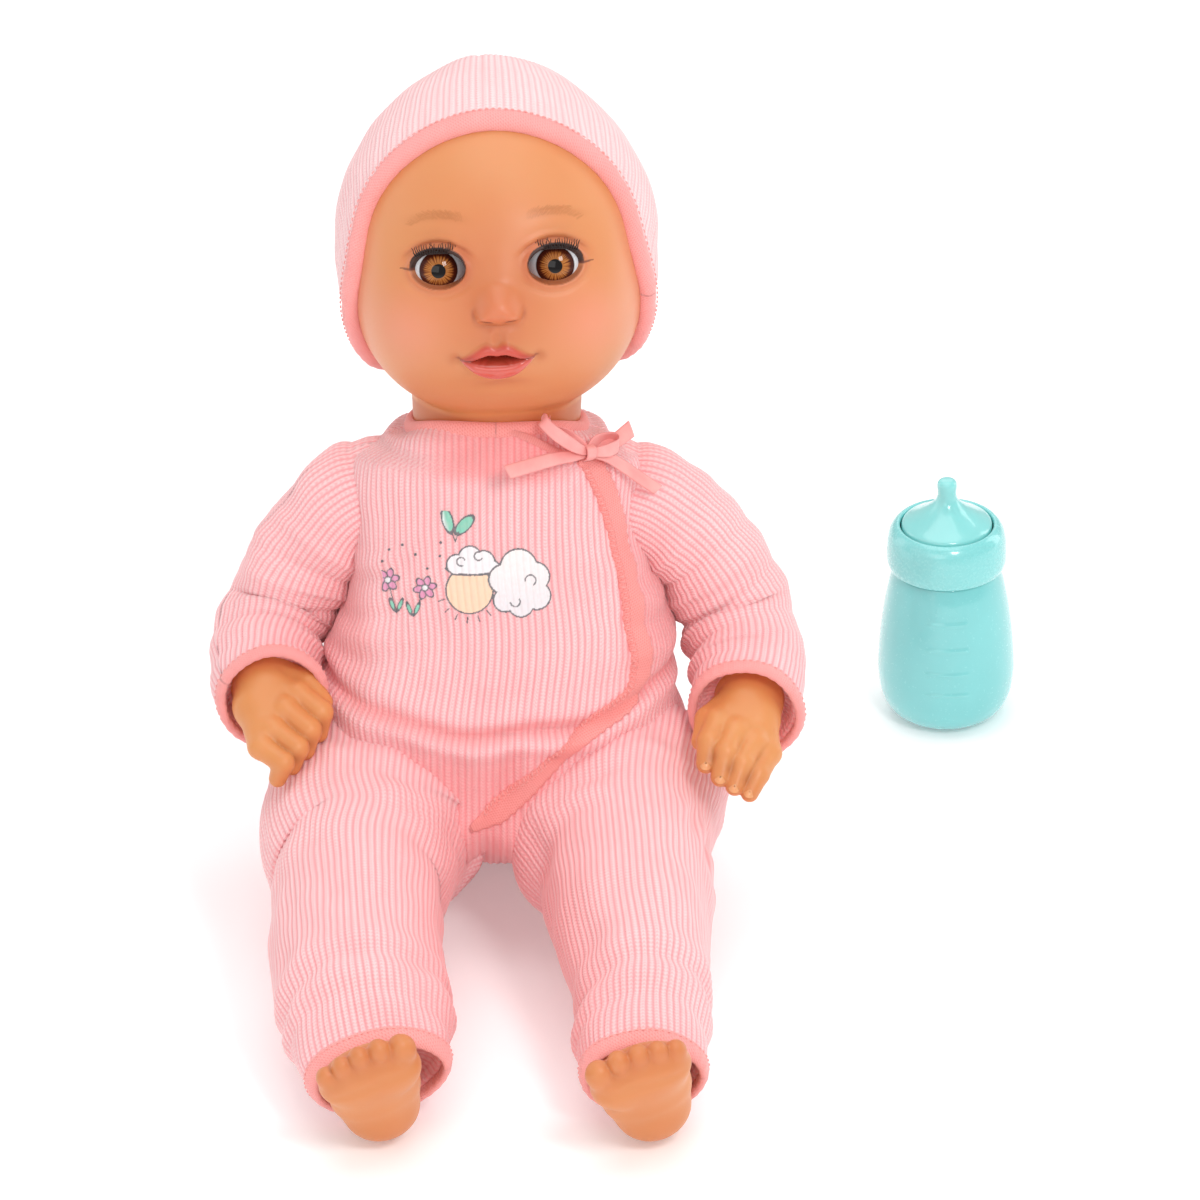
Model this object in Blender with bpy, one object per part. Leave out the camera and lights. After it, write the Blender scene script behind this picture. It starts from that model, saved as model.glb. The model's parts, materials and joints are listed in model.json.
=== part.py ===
"""Interactive baby doll, seated, with its feeding bottle.

Units are metres in the scene; the tables below are in millimetres (MM).
+Z is up, -Y is the way the doll faces, +X is the doll's left-hand side.
The origin is the middle of the flat seat on which the doll rests.
"""
import math

import bmesh
import bpy
from mathutils import Matrix, Vector

for _o in list(bpy.data.objects):
    bpy.data.objects.remove(_o, do_unlink=True)

MM = 0.001

# ---------------------------------------------------------------- dimensions
TORSO_LEAN = 16.0            # degrees the trunk leans back
HEAD_TILT = 24.0             # degrees the head looks up
NECK = Vector((0.0, 46.0, 177.0))          # centre of the neck opening
HEAD_C = Vector((0.0, 60.0, 238.0))        # centre of the head
HEAD_ROLL = 2.5              # degrees the head leans to its right
HEAD_HALF_W = 54.0
HEAD_FRONT = 57.0
HEAD_BACK = 60.0
HEAD_UP = 61.5
HEAD_DOWN = 61.5
SKIN_WALL = 3.0              # vinyl wall
EYE_R = 12.0
EYE_X = 20.6                 # half the distance between the eyes
EYE_CLEAR = 0.45
CAP_GAP = 1.5
CAP_THICK = 2.0
KNIT = 2.0                   # knit thickness
CLOTH_GAP = 0.6
HIP = (48.0, 0.0, 43.0)      # hip pivot, left side
HIP_CUT_R = 37.4
HIP_INNER_X = 13.4
SHOULDER = (50.6, 42.0, 150.0)
BOTTLE_AT = (161.0, 140.0)
BOTTLE_H = 95.0

A_AX = Vector((0.0, math.sin(math.radians(TORSO_LEAN)), math.cos(math.radians(TORSO_LEAN))))
B_AX = Vector((0.0, math.cos(math.radians(TORSO_LEAN)), -math.sin(math.radians(TORSO_LEAN))))
_t = math.radians(HEAD_TILT)
_r = math.radians(HEAD_ROLL)
_H0 = Vector((0.0, math.sin(_t), math.cos(_t)))
F_AX = Vector((0.0, -math.cos(_t), math.sin(_t)))
R_AX = Vector((math.cos(_r), 0.0, 0.0)) + _H0 * math.sin(_r)
R_AX.normalize()
H_AX = F_AX.cross(R_AX) * -1.0
if H_AX.z < 0:
    H_AX = -H_AX


# ---------------------------------------------------------------- materials
def material(name, colour, roughness, metallic=0.0):
    m = bpy.data.materials.new(name)
    m.use_nodes = True
    b = m.node_tree.nodes["Principled BSDF"]
    b.inputs["Base Color"].default_value = (*colour, 1.0)
    b.inputs["Roughness"].default_value = roughness
    b.inputs["Metallic"].default_value = metallic
    m.diffuse_color = (*colour, 1.0)
    return m


MAT = {
    "vinyl": material("vinyl", (0.80, 0.42, 0.22), 0.45),
    "knit": material("knit", (0.93, 0.55, 0.58), 0.9),
    "binding": material("binding", (0.92, 0.36, 0.36), 0.85),
    "ribbon": material("ribbon", (0.95, 0.45, 0.45), 0.4),
    "cloth": material("cloth", (0.90, 0.78, 0.70), 0.95),
    "eye": material("eye", (0.85, 0.85, 0.85), 0.1),
    "lid": material("lid", (0.78, 0.40, 0.22), 0.45),
    "lash": material("lash", (0.05, 0.03, 0.02), 0.6),
    "white_plastic": material("white_plastic", (0.85, 0.85, 0.83), 0.4),
    "dark_plastic": material("dark_plastic", (0.06, 0.06, 0.07), 0.5),
    "steel": material("steel", (0.6, 0.6, 0.62), 0.35, 1.0),
    "cell": material("cell", (0.10, 0.12, 0.14), 0.35, 0.3),
    "board": material("board", (0.05, 0.25, 0.12), 0.5),
    "bottle": material("bottle", (0.26, 0.66, 0.66), 0.2),
    "lead_wire": material("lead_wire", (0.5, 0.05, 0.05), 0.5),
}


# ---------------------------------------------------------------- mesh tools
def to_object(name, bm, mat, smooth=True, parent=None):
    bmesh.ops.recalc_face_normals(bm, faces=bm.faces)
    me = bpy.data.meshes.new(name)
    bm.to_mesh(me)
    bm.free()
    me.materials.append(MAT[mat])
    ob = bpy.data.objects.new(name, me)
    bpy.context.scene.collection.objects.link(ob)
    if smooth:
        me.shade_smooth()
        me.set_sharp_from_angle(angle=math.radians(40))
    if parent is not None:
        ob.parent = parent
    return ob


def ring(c, u, v, a, b, n=24, power=2.0, start=0.0):
    """Superellipse ring of n points about c in the plane of u and v, in mm."""
    pts = []
    for i in range(n):
        t = 2 * math.pi * i / n + start
        ct, st = math.cos(t), math.sin(t)
        k = (abs(ct) ** power + abs(st) ** power) ** (-1.0 / power)
        pts.append(Vector(c) + Vector(u) * (a * k * ct) + Vector(v) * (b * k * st))
    return pts


def add_ring(bm, pts):
    return [bm.verts.new(p * MM) for p in pts]


def bridge(bm, r0, r1):
    n = len(r0)
    for i in range(n):
        j = (i + 1) % n
        bm.faces.new((r0[i], r0[j], r1[j], r1[i]))


def cap(bm, r, pole=None):
    if pole is None:
        bm.faces.new(r)
        return
    p = bm.verts.new(Vector(pole) * MM)
    n = len(r)
    for i in range(n):
        bm.faces.new((r[i], r[(i + 1) % n], p))


def solid_loft(rings, pole0=None, pole1=None):
    bm = bmesh.new()
    vs = [add_ring(bm, r) for r in rings]
    for a, b in zip(vs[:-1], vs[1:]):
        bridge(bm, a, b)
    cap(bm, vs[0], pole0)
    cap(bm, vs[-1], pole1)
    return bm


def shell_loft(outer, inner, open_start=True, open_end=True, poles=None):
    """A wall between two lofts, open at one end or both."""
    bm = bmesh.new()
    vo = [add_ring(bm, r) for r in outer]
    vi = [add_ring(bm, r) for r in inner]
    for a, b in zip(vo[:-1], vo[1:]):
        bridge(bm, a, b)
    for a, b in zip(vi[:-1], vi[1:]):
        bridge(bm, a, b)
    poles = poles or {}
    if open_start:
        bridge(bm, vo[0], vi[0])
    else:
        cap(bm, vo[0], poles.get("o0"))
        cap(bm, vi[0], poles.get("i0"))
    if open_end:
        bridge(bm, vo[-1], vi[-1])
    else:
        cap(bm, vo[-1], poles.get("o1"))
        cap(bm, vi[-1], poles.get("i1"))
    return bm


def box_bm(cx, cy, cz, sx, sy, sz):
    bm = bmesh.new()
    bmesh.ops.create_cube(bm, size=1.0)
    bmesh.ops.scale(bm, vec=(sx * MM, sy * MM, sz * MM), verts=bm.verts)
    bmesh.ops.translate(bm, vec=(cx * MM, cy * MM, cz * MM), verts=bm.verts)
    return bm


def lathe_bm(profile, n=24, axis="Z", at=(0, 0, 0)):
    """Closed turned body; profile is (radius, height) from bottom to top in mm."""
    bm = bmesh.new()
    rings = []
    for r, h in profile:
        if r < 1e-6:
            rings.append(bm.verts.new((0, 0, h * MM)))
        else:
            rings.append([bm.verts.new((r * MM * math.cos(2 * math.pi * i / n), r * MM * math.sin(2 * math.pi * i / n), h * MM)) for i in range(n)])
    for a, b in zip(rings[:-1], rings[1:]):
        if isinstance(a, list) and isinstance(b, list):
            bridge(bm, a, b)
        elif isinstance(a, list):
            for i in range(n):
                bm.faces.new((a[i], a[(i + 1) % n], b))
        elif isinstance(b, list):
            for i in range(n):
                bm.faces.new((b[i], b[(i + 1) % n], a))
    if isinstance(rings[0], list):
        bm.faces.new(rings[0])
    if isinstance(rings[-1], list):
        bm.faces.new(rings[-1])
    if axis == "Y":
        bmesh.ops.rotate(bm, verts=bm.verts, cent=(0, 0, 0), matrix=Matrix.Rotation(math.radians(-90), 3, "X"))
    elif axis == "X":
        bmesh.ops.rotate(bm, verts=bm.verts, cent=(0, 0, 0), matrix=Matrix.Rotation(math.radians(90), 3, "Y"))
    bmesh.ops.translate(bm, vec=(at[0] * MM, at[1] * MM, at[2] * MM), verts=bm.verts)
    return bm


def ring_lathe_bm(profile, n=24):
    """Turned ring: profile is a closed loop of (radius, height) in mm."""
    bm = bmesh.new()
    loops = []
    for r, h in profile:
        loops.append([bm.verts.new((r * MM * math.cos(2 * math.pi * i / n), r * MM * math.sin(2 * math.pi * i / n), h * MM)) for i in range(n)])
    for a, b in zip(loops, loops[1:] + loops[:1]):
        bridge(bm, a, b)
    return bm


def boolean(ob, cutter, op="DIFFERENCE"):
    m = ob.modifiers.new(cutter.name, "BOOLEAN")
    m.operation = op
    m.object = cutter
    m.solver = "EXACT"
    cutter.hide_render = True
    cutter.display_type = "WIRE"
    return m


def frame_matrix(origin, ex, ey, ez):
    m = Matrix.Identity(4)
    for i, a in enumerate((ex, ey, ez)):
        for k in range(3):
            m[k][i] = a[k]
    for k in range(3):
        m[k][3] = origin[k] * MM
    return m


def empty(name, matrix):
    e = bpy.data.objects.new(name, None)
    bpy.context.scene.collection.objects.link(e)
    e.matrix_world = matrix
    return e


def resample(path, n):
    """Catmull-Rom through (x, y, z, radius...) rows, n rows out."""
    rows = [list(map(float, p)) for p in path]
    out = []
    seg = len(rows) - 1
    for k in range(n):
        t = k * seg / (n - 1)
        i = min(int(t), seg - 1)
        f = t - i
        p1, p2 = rows[i], rows[i + 1]
        p0 = rows[i - 1] if i > 0 else [2 * a - b for a, b in zip(p1, p2)]
        p3 = rows[i + 2] if i + 2 < len(rows) else [2 * b - a for a, b in zip(p1, p2)]
        out.append([0.5 * ((2 * b) + (c - a) * f + (2 * a - 5 * b + 4 * c - d) * f * f + (3 * b - a - 3 * c + d) * f ** 3) for a, b, c, d in zip(p0, p1, p2, p3)])
    return out


def limb_rings(rows, shrink=0.0, n=20, first_normal=None, last_normal=None):
    """Rings across a limb's path; each row is x, y, z, half width, half height."""
    out = []
    for i, r in enumerate(rows):
        c = Vector(r[:3])
        a = rows[max(i - 1, 0)]
        b = rows[min(i + 1, len(rows) - 1)]
        d = (Vector(b[:3]) - Vector(a[:3])).normalized()
        if i == 0 and first_normal is not None:
            d = Vector(first_normal).normalized()
        if i == len(rows) - 1 and last_normal is not None:
            d = Vector(last_normal).normalized()
        side = Vector((1, 0, 0)) - d * d.x
        if side.length < 0.35:
            side = Vector((0, 0, 1)) - d * d.z
            side.normalize()
            up = d.cross(side)
            # keep the ring's phase the same as on the other rings
            u, v = -up, side
            u, v = u, v
            out.append(ring(c, u, v, r[3] - shrink, r[4] - shrink, n))
            continue
        side.normalize()
        up = side.cross(d)
        out.append(ring(c, side, up, r[3] - shrink, r[4] - shrink, n))
    return align(out)


def align(rings):
    """Turns each ring's start so that neighbours join without twist."""
    fixed = [rings[0]]
    for r in rings[1:]:
        prev = fixed[-1]
        n = len(r)
        pc = sum(prev, Vector()) / n
        rc = sum(r, Vector()) / n
        best = None
        for cand in (r, [r[0]] + r[:0:-1]):
            for s in range(n):
                rot = cand[s:] + cand[:s]
                d = sum(((rot[k] - rc) - (prev[k] - pc)).length for k in range(0, n, 2))
                if best is None or d < best[0]:
                    best = (d, rot)
        fixed.append(best[1])
    return fixed


# ---------------------------------------------------------------- torso
# height of the ring, half width, front y, back y, tilt of the ring plane
TORSO = [
    (0.0, 44.0, -26.0, 48.0, 0.0),
    (4.0, 52.0, -31.0, 56.0, 0.0),
    (16.0, 58.0, -35.0, 62.0, 0.0),
    (34.0, 60.5, -36.0, 64.0, 1.0),
    (54.0, 61.0, -32.0, 64.5, 2.0),
    (72.0, 60.5, -23.0, 64.5, 4.0),
    (88.0, 59.0, -17.5, 65.0, 6.0),
    (104.0, 56.0, -13.0, 66.5, 8.0),
    (120.0, 49.6, -6.5, 69.0, 11.0),
    (136.0, 49.4, 0.0, 72.0, 13.0),
    (150.0, 49.4, 5.0, 74.5, 15.0),
    (162.0, 48.0, 9.0, 76.5, 16.0),
    (170.5, 43.0, 11.0, 77.5, 16.0),
    (175.0, 36.5, 14.0, 78.5, 16.0),
    (177.5, 33.6, 15.2, 77.5, 16.0),
]


def torso_rings(shrink, n=24, upto=None, bottom=0.0):
    out = []
    rows = TORSO if upto is None else TORSO[:upto]
    for k, (z, a, f, b, tilt) in enumerate(rows):
        t = math.radians(tilt)
        v = Vector((0, math.cos(t), -math.sin(t)))
        cy, hb = (f + b) / 2, (b - f) / 2
        zz = z
        if k == 0:
            zz = z + bottom
        elif k == 1:
            zz = z + bottom * 0.8
        out.append(ring((0, cy, zz), (1, 0, 0), v, a - shrink, hb / math.cos(t) - shrink, n, power=2.25))
    return out


def hip_cutter(name, side):
    """The room the thigh sweeps: a drum about the hip axis, the space in front of
    it and the space below it."""
    y0, z0 = HIP[1], HIP[2]
    pts = [(-160.0, z0 + HIP_CUT_R + 0.6)]
    for k in range(0, 19):
        a = math.radians(90 - 90 * k / 18)
        pts.append((y0 + HIP_CUT_R * math.cos(a), z0 + HIP_CUT_R * math.sin(a) + (0.6 if k == 0 else 0.0)))
    pts.append((y0 + HIP_CUT_R, -20.0))
    pts.append((-160.0, -20.0))
    bm = bmesh.new()
    xa, xb = side * (HIP_INNER_X - 1.0), side * 110.0
    va = [bm.verts.new(Vector((xa, p[0], p[1])) * MM) for p in pts]
    vb = [bm.verts.new(Vector((xb, p[0], p[1])) * MM) for p in pts]
    bm.faces.new(va)
    bm.faces.new(vb)
    bridge(bm, va, vb)
    return to_object(name, bm, "cloth", smooth=False)


cut_l = hip_cutter("cut_hip_left", 1)
cut_r = hip_cutter("cut_hip_right", -1)

# romper bodice: a knit wall round the stuffed trunk, open at the neck
bodice = to_object("romper_bodice", shell_loft(torso_rings(0.0), torso_rings(KNIT, bottom=KNIT), open_start=False, open_end=True), "knit")
boolean(bodice, cut_l)
boolean(bodice, cut_r)

# stuffed cloth trunk with the pockets for the works and the neck
pod = frame_matrix(Vector((0, 34, 92)), Vector((1, 0, 0)), B_AX, A_AX)
neck_m = frame_matrix(NECK, Vector((1, 0, 0)), B_AX, A_AX)
pod_e = empty("pod_axis", pod)
neck_e = empty("neck_axis", neck_m)

trunk = to_object("cloth_trunk", solid_loft(torso_rings(KNIT + CLOTH_GAP, upto=14, bottom=KNIT + CLOTH_GAP)), "cloth")
cut_pod = to_object("cut_pod", box_bm(0, 11.5, 0, 55.6, 53.0, 58.6), "cloth", False, pod_e)
cut_neck = to_object("cut_neck", lathe_bm([(29.0, -19.0), (29.0, 20.0)], 20), "cloth", True, neck_e)
cut_button = to_object("cut_button", lathe_bm([(13.6, -60.0), (13.6, -30.6)], 18, "Y", (0, 0, -10)), "cloth", True, pod_e)
cut_lead = to_object("cut_lead", lathe_bm([(2.0, -40.0), (2.0, -10.0)], 10, "Y", (0, 0, -10)), "cloth", True, pod_e)
for c in (cut_l, cut_r, cut_pod, cut_neck, cut_button, cut_lead):
    boolean(trunk, c)

# collar binding round the neck opening
_rows = [torso_rings(0.0)[-1], torso_rings(KNIT)[-1]]
_up = A_AX * 0.35
_c_o = [p + _up for p in _rows[0]]
_c_i = [p + _up for p in _rows[1]]
_mid = sum(_c_o, Vector()) / len(_c_o)
_o2 = [p + (p - _mid).normalized() * -0.4 + A_AX * 2.4 for p in _c_o]
_i2 = [p + A_AX * 2.4 for p in _c_i]
to_object("collar_binding", shell_loft([_c_o, _o2], [_c_i, _i2]), "binding")


# the coral edge of the crossover flap and the bow lie on the bodice front
def front_point(x, z, out):
    """Point on the bodice's front face at lateral x and height z, pushed out."""
    rows = TORSO
    k = 0
    while k < len(rows) - 2 and rows[k + 1][0] < z:
        k += 1
    r0, r1 = rows[k], rows[k + 1]
    f = (z - r0[0]) / (r1[0] - r0[0])
    a, fr, b, tl = [p + (q - p) * f for p, q in zip(r0[1:], r1[1:])]
    t = math.radians(tl)
    hb = (b - fr) / 2 / math.cos(t)
    s = max(0.0, 1 - abs(x / a) ** 2.25) ** (1 / 2.25)
    y = (fr + b) / 2 - hb * s * math.cos(t)
    return Vector((x, y - out, z + hb * s * math.sin(t)))


FLAP = [(27.0, 158.0), (33.0, 146.0), (38.0, 134.0), (41.0, 122.0), (44.0, 108.0), (46.5, 96.0), (48.0, 84.5)]
flap_bm = bmesh.new()
_secs = []
for _x, _z in FLAP:
    _w = 3.6
    _secs.append([flap_bm.verts.new(p * MM) for p in (
        front_point(_x - _w, _z, 0.9), front_point(_x, _z, 0.9), front_point(_x + _w, _z, 0.9),
        front_point(_x + _w, _z, 2.1), front_point(_x, _z, 2.1), front_point(_x - _w, _z, 2.1))])
for _a, _b in zip(_secs[:-1], _secs[1:]):
    bridge(flap_bm, _a, _b)
flap_bm.faces.new(_secs[0])
flap_bm.faces.new(_secs[-1])
to_object("flap_binding", flap_bm, "binding", smooth=False)

# bow: flat plan outline (x right, z up) about the knot, then laid on the chest
BOW = [(-2.5, 3.0), (-9, 9.5), (-15, 12.5), (-18, 10.0), (-12, 3.5), (-4, -0.5), (-20, -3.0), (-32, -7.0), (-31, -11.0), (-18, -7.5),
       (-2.5, -4.5), (2.5, -4.5), (12, -9.5), (20, -14.0), (22, -10.5), (12, -4.5), (5, -1.5), (12, 0.5), (20, 5.5), (18, 8.5), (8, 5.0), (2.5, 3.0)]
bow_c = front_point(27.0, 163.5, 6.6)
bow_e = empty("bow_axis", frame_matrix(bow_c, Vector((0.93, 0.365, 0)), Vector((-0.34, 0.867, -0.364)).normalized(), Vector((0.93, 0.365, 0)).cross(Vector((-0.34, 0.867, -0.364)).normalized())))
bow_bm = bmesh.new()
_va = [bow_bm.verts.new(Vector((x, -1.2, z)) * MM) for x, z in BOW]
_vb = [bow_bm.verts.new(Vector((x, 1.2, z)) * MM) for x, z in BOW]
bow_bm.faces.new(_va)
bow_bm.faces.new(_vb)
bridge(bow_bm, _va, _vb)
to_object("bow_ribbon", bow_bm, "ribbon", smooth=False, parent=bow_e)

# ---------------------------------------------------------------- works in the trunk
case = to_object("pod_case", box_bm(0, 1.2, 0, 54.0, 31.0, 57.0), "white_plastic", False, pod_e)
cut_case = to_object("cut_case", box_bm(0, 4.2, 0, 50.0, 33.0, 53.0), "white_plastic", False, pod_e)
boolean(case, cut_case)
for _k in range(7):
    _a = 2 * math.pi * _k / 6
    _r = 0.0 if _k == 6 else 7.0
    _h = to_object("cut_grille_%d" % _k, lathe_bm([(1.7, -20.0), (1.7, -10.0)], 8, "Y", (_r * math.cos(_a), 0, 12 + _r * math.sin(_a))), "white_plastic", False, pod_e)
    boolean(case, _h)
cut_sw = to_object("cut_switch_slot", box_bm(16.0, 18.0, 23.0, 11.4, 6.0, 4.6), "white_plastic", False, pod_e)
cut_screw = to_object("cut_screw", lathe_bm([(1.9, 10.0), (1.9, 25.0)], 12, "Y", (23.0, 0, -15.0)), "white_plastic", False, pod_e)
cover = to_object("battery_cover", box_bm(0, 18.3, 0, 54.0, 2.4, 57.0), "white_plastic", False, pod_e)
boolean(cover, cut_sw)
boolean(cover, cut_screw)
to_object("cover_screw", lathe_bm([(1.5, 12.5), (1.5, 19.8), (3.2, 19.8), (2.6, 21.4)], 14, "Y", (23.0, 0, -15.0)), "steel", True, pod_e)
for _k, _x in enumerate((-17.2, -2.6, 12.0)):
    to_object("aa_cell_%d" % (_k + 1), lathe_bm([(7.1, -25.1), (7.1, 24.1), (2.7, 24.1), (2.7, 25.2)], 12, "Z", (_x, 6.6, 0.0)), "cell", True, pod_e)
to_object("contact_plate_top", box_bm(-2.6, 6.6, 25.8, 43.0, 9.0, 0.4), "steel", False, pod_e)
to_object("contact_plate_bottom", box_bm(-2.6, 6.6, -25.8, 43.0, 9.0, 0.4), "steel", False, pod_e)
to_object("circuit_board", box_bm(0, -2.4, 0, 48.0, 1.2, 50.0), "board", False, pod_e)
to_object("sound_chip", box_bm(14.0, -4.2, -14.0, 9.0, 1.8, 9.0), "dark_plastic", False, pod_e)
to_object("tilt_sensor", lathe_bm([(2.4, -7.4), (2.4, -3.4)], 14, "Y", (-16, 0, -16)), "steel", True, pod_e)
to_object("speaker", lathe_bm([(13.0, -11.8), (14.0, -10.6), (14.0, -8.4), (8.5, -7.6), (8.5, -3.6)], 18, "Y", (0, 0, 12)), "dark_plastic", True, pod_e)
switch_e = empty("switch_axis", pod @ Matrix.Translation(Vector((14.0, 18.0, 23.0)) * MM))
sw = to_object("power_switch", box_bm(0, 1.1, 0, 5.0, 4.4, 4.0), "dark_plastic", False, switch_e)

# tummy button just under the cloth, its housing, spring and lead
to_object("button_housing", lathe_bm([(13.0, -42.4), (13.0, -31.2)], 18, "Y", (0, 0, -10)), "white_plastic", True, pod_e)
cut_bh = to_object("cut_button_housing", lathe_bm([(10.2, -45.0), (10.2, -33.2)], 18, "Y", (0, 0, -10)), "white_plastic", True, pod_e)
boolean(bpy.data.objects["button_housing"], cut_bh)
button_e = empty("button_axis", pod @ Matrix.Translation(Vector((0.0, 0.0, -10.0)) * MM))
to_object("tummy_button", lathe_bm([(8.6, -44.4), (9.6, -43.4), (9.6, -39.0), (3.0, -38.6), (3.0, -36.2)], 18, "Y"), "white_plastic", True, button_e)
_sp = bmesh.new()
_n, _turns, _r, _w = 30, 2.5, 5.6, 0.45
_loops = []
for _k in range(_n + 1):
    _t = _k / _n
    _a = 2 * math.pi * _turns * _t
    _c = Vector((_r * math.cos(_a), -38.1 + 4.4 * _t, -10 + _r * math.sin(_a)))
    _rad = Vector((math.cos(_a), 0, math.sin(_a)))
    _loops.append([_sp.verts.new((_c + _rad * (_w * math.cos(q)) + Vector((0, 1, 0)) * (_w * math.sin(q))) * MM) for q in (0, math.pi / 2, math.pi, 3 * math.pi / 2)])
for _a, _b in zip(_loops[:-1], _loops[1:]):
    bridge(_sp, _a, _b)
_sp.faces.new(_loops[0])
_sp.faces.new(_loops[-1])
to_object("button_spring", _sp, "steel", True, pod_e)
to_object("button_lead", lathe_bm([(0.8, -30.9), (0.8, -14.7)], 8, "Y", (0, 0, -10)), "lead_wire", True, pod_e)

# ring that holds the head's groove in the trunk
_nr = ring_lathe_bm([(24.6, -8.0), (28.4, -8.0), (28.4, -5.2), (24.6, -5.2)], 20)
to_object("neck_ring", _nr, "white_plastic", True, neck_e)


# ---------------------------------------------------------------- head
def bump(d, centre, width, height):
    c = Vector(centre).normalized()
    q = (d - c).length / width
    return height * math.exp(-q * q)


def head_radius(d):
    """Distance from the head's centre to the skin along unit direction d,
    given as (side, front, up)."""
    p = 2.13 - 0.2 * math.tanh(d.z * 3.0)
    b = HEAD_FRONT if d.y > 0 else HEAD_BACK
    c = HEAD_UP if d.z > 0 else HEAD_DOWN
    r = ((abs(d.x) / HEAD_HALF_W) ** p + (abs(d.y) / b) ** p + (abs(d.z) / c) ** p) ** (-1.0 / p)
    if d.y > 0:
        r += bump(d, (0.0, 1.0, -0.32), 0.13, 5.5)
        r += bump(d, (0.0, 1.0, -0.60), 0.20, 2.6)
        r += bump(d, (0.0, 0.72, -0.72), 0.24, 2.2)
        for s in (-1, 1):
            r += bump(d, (s * 0.48, 0.85, -0.38), 0.30, 1.6)
            r += bump(d, (s * 0.36, 0.92, -0.06), 0.17, -2.0)
    return r


def head_point(d, out=0.0):
    r = head_radius(d) + out
    return HEAD_C + R_AX * (d.x * r) + F_AX * (d.y * r) + H_AX * (d.z * r)


def neck_rows(off, n):
    rows = []
    for r, h in ((27.0, -12.5), (27.0, -9.0), (23.6, -8.6), (23.6, -4.4), (27.0, -4.0), (27.0, 1.0), (28.0, 5.0)):
        c = NECK + A_AX * h
        rows.append([c + Vector((1, 0, 0)) * ((r - off) * math.cos(2 * math.pi * i / n)) + B_AX * ((r - off) * math.sin(2 * math.pi * i / n)) for i in range(n)])
    return rows


def head_rows(off, n, thetas):
    rows = []
    for th in thetas:
        a = math.radians(th)
        rows.append([head_point(Vector((math.sin(a) * math.cos(2 * math.pi * i / n), -math.sin(a) * math.sin(2 * math.pi * i / n), -math.cos(a))), -off) for i in range(n)])
    return rows


NH = 26
_out = neck_rows(0.0, NH) + head_rows(0.0, NH, (34, 43, 52, 60, 67, 73, 80, 88, 98, 111, 127, 145, 163))
_in = neck_rows(SKIN_WALL, NH) + head_rows(SKIN_WALL, NH, (36, 52, 68, 84, 102, 124, 150))
head = to_object("head_shell", shell_loft(_out, _in, open_start=True, open_end=False,
                 poles={"o1": head_point(Vector((0, 0, 1))), "i1": head_point(Vector((0, 0, 1)), -SKIN_WALL)}), "vinyl")


def eye_centre(s):
    return HEAD_C + R_AX * (s * EYE_X) + F_AX * 39.0 + H_AX * -4.0


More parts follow.
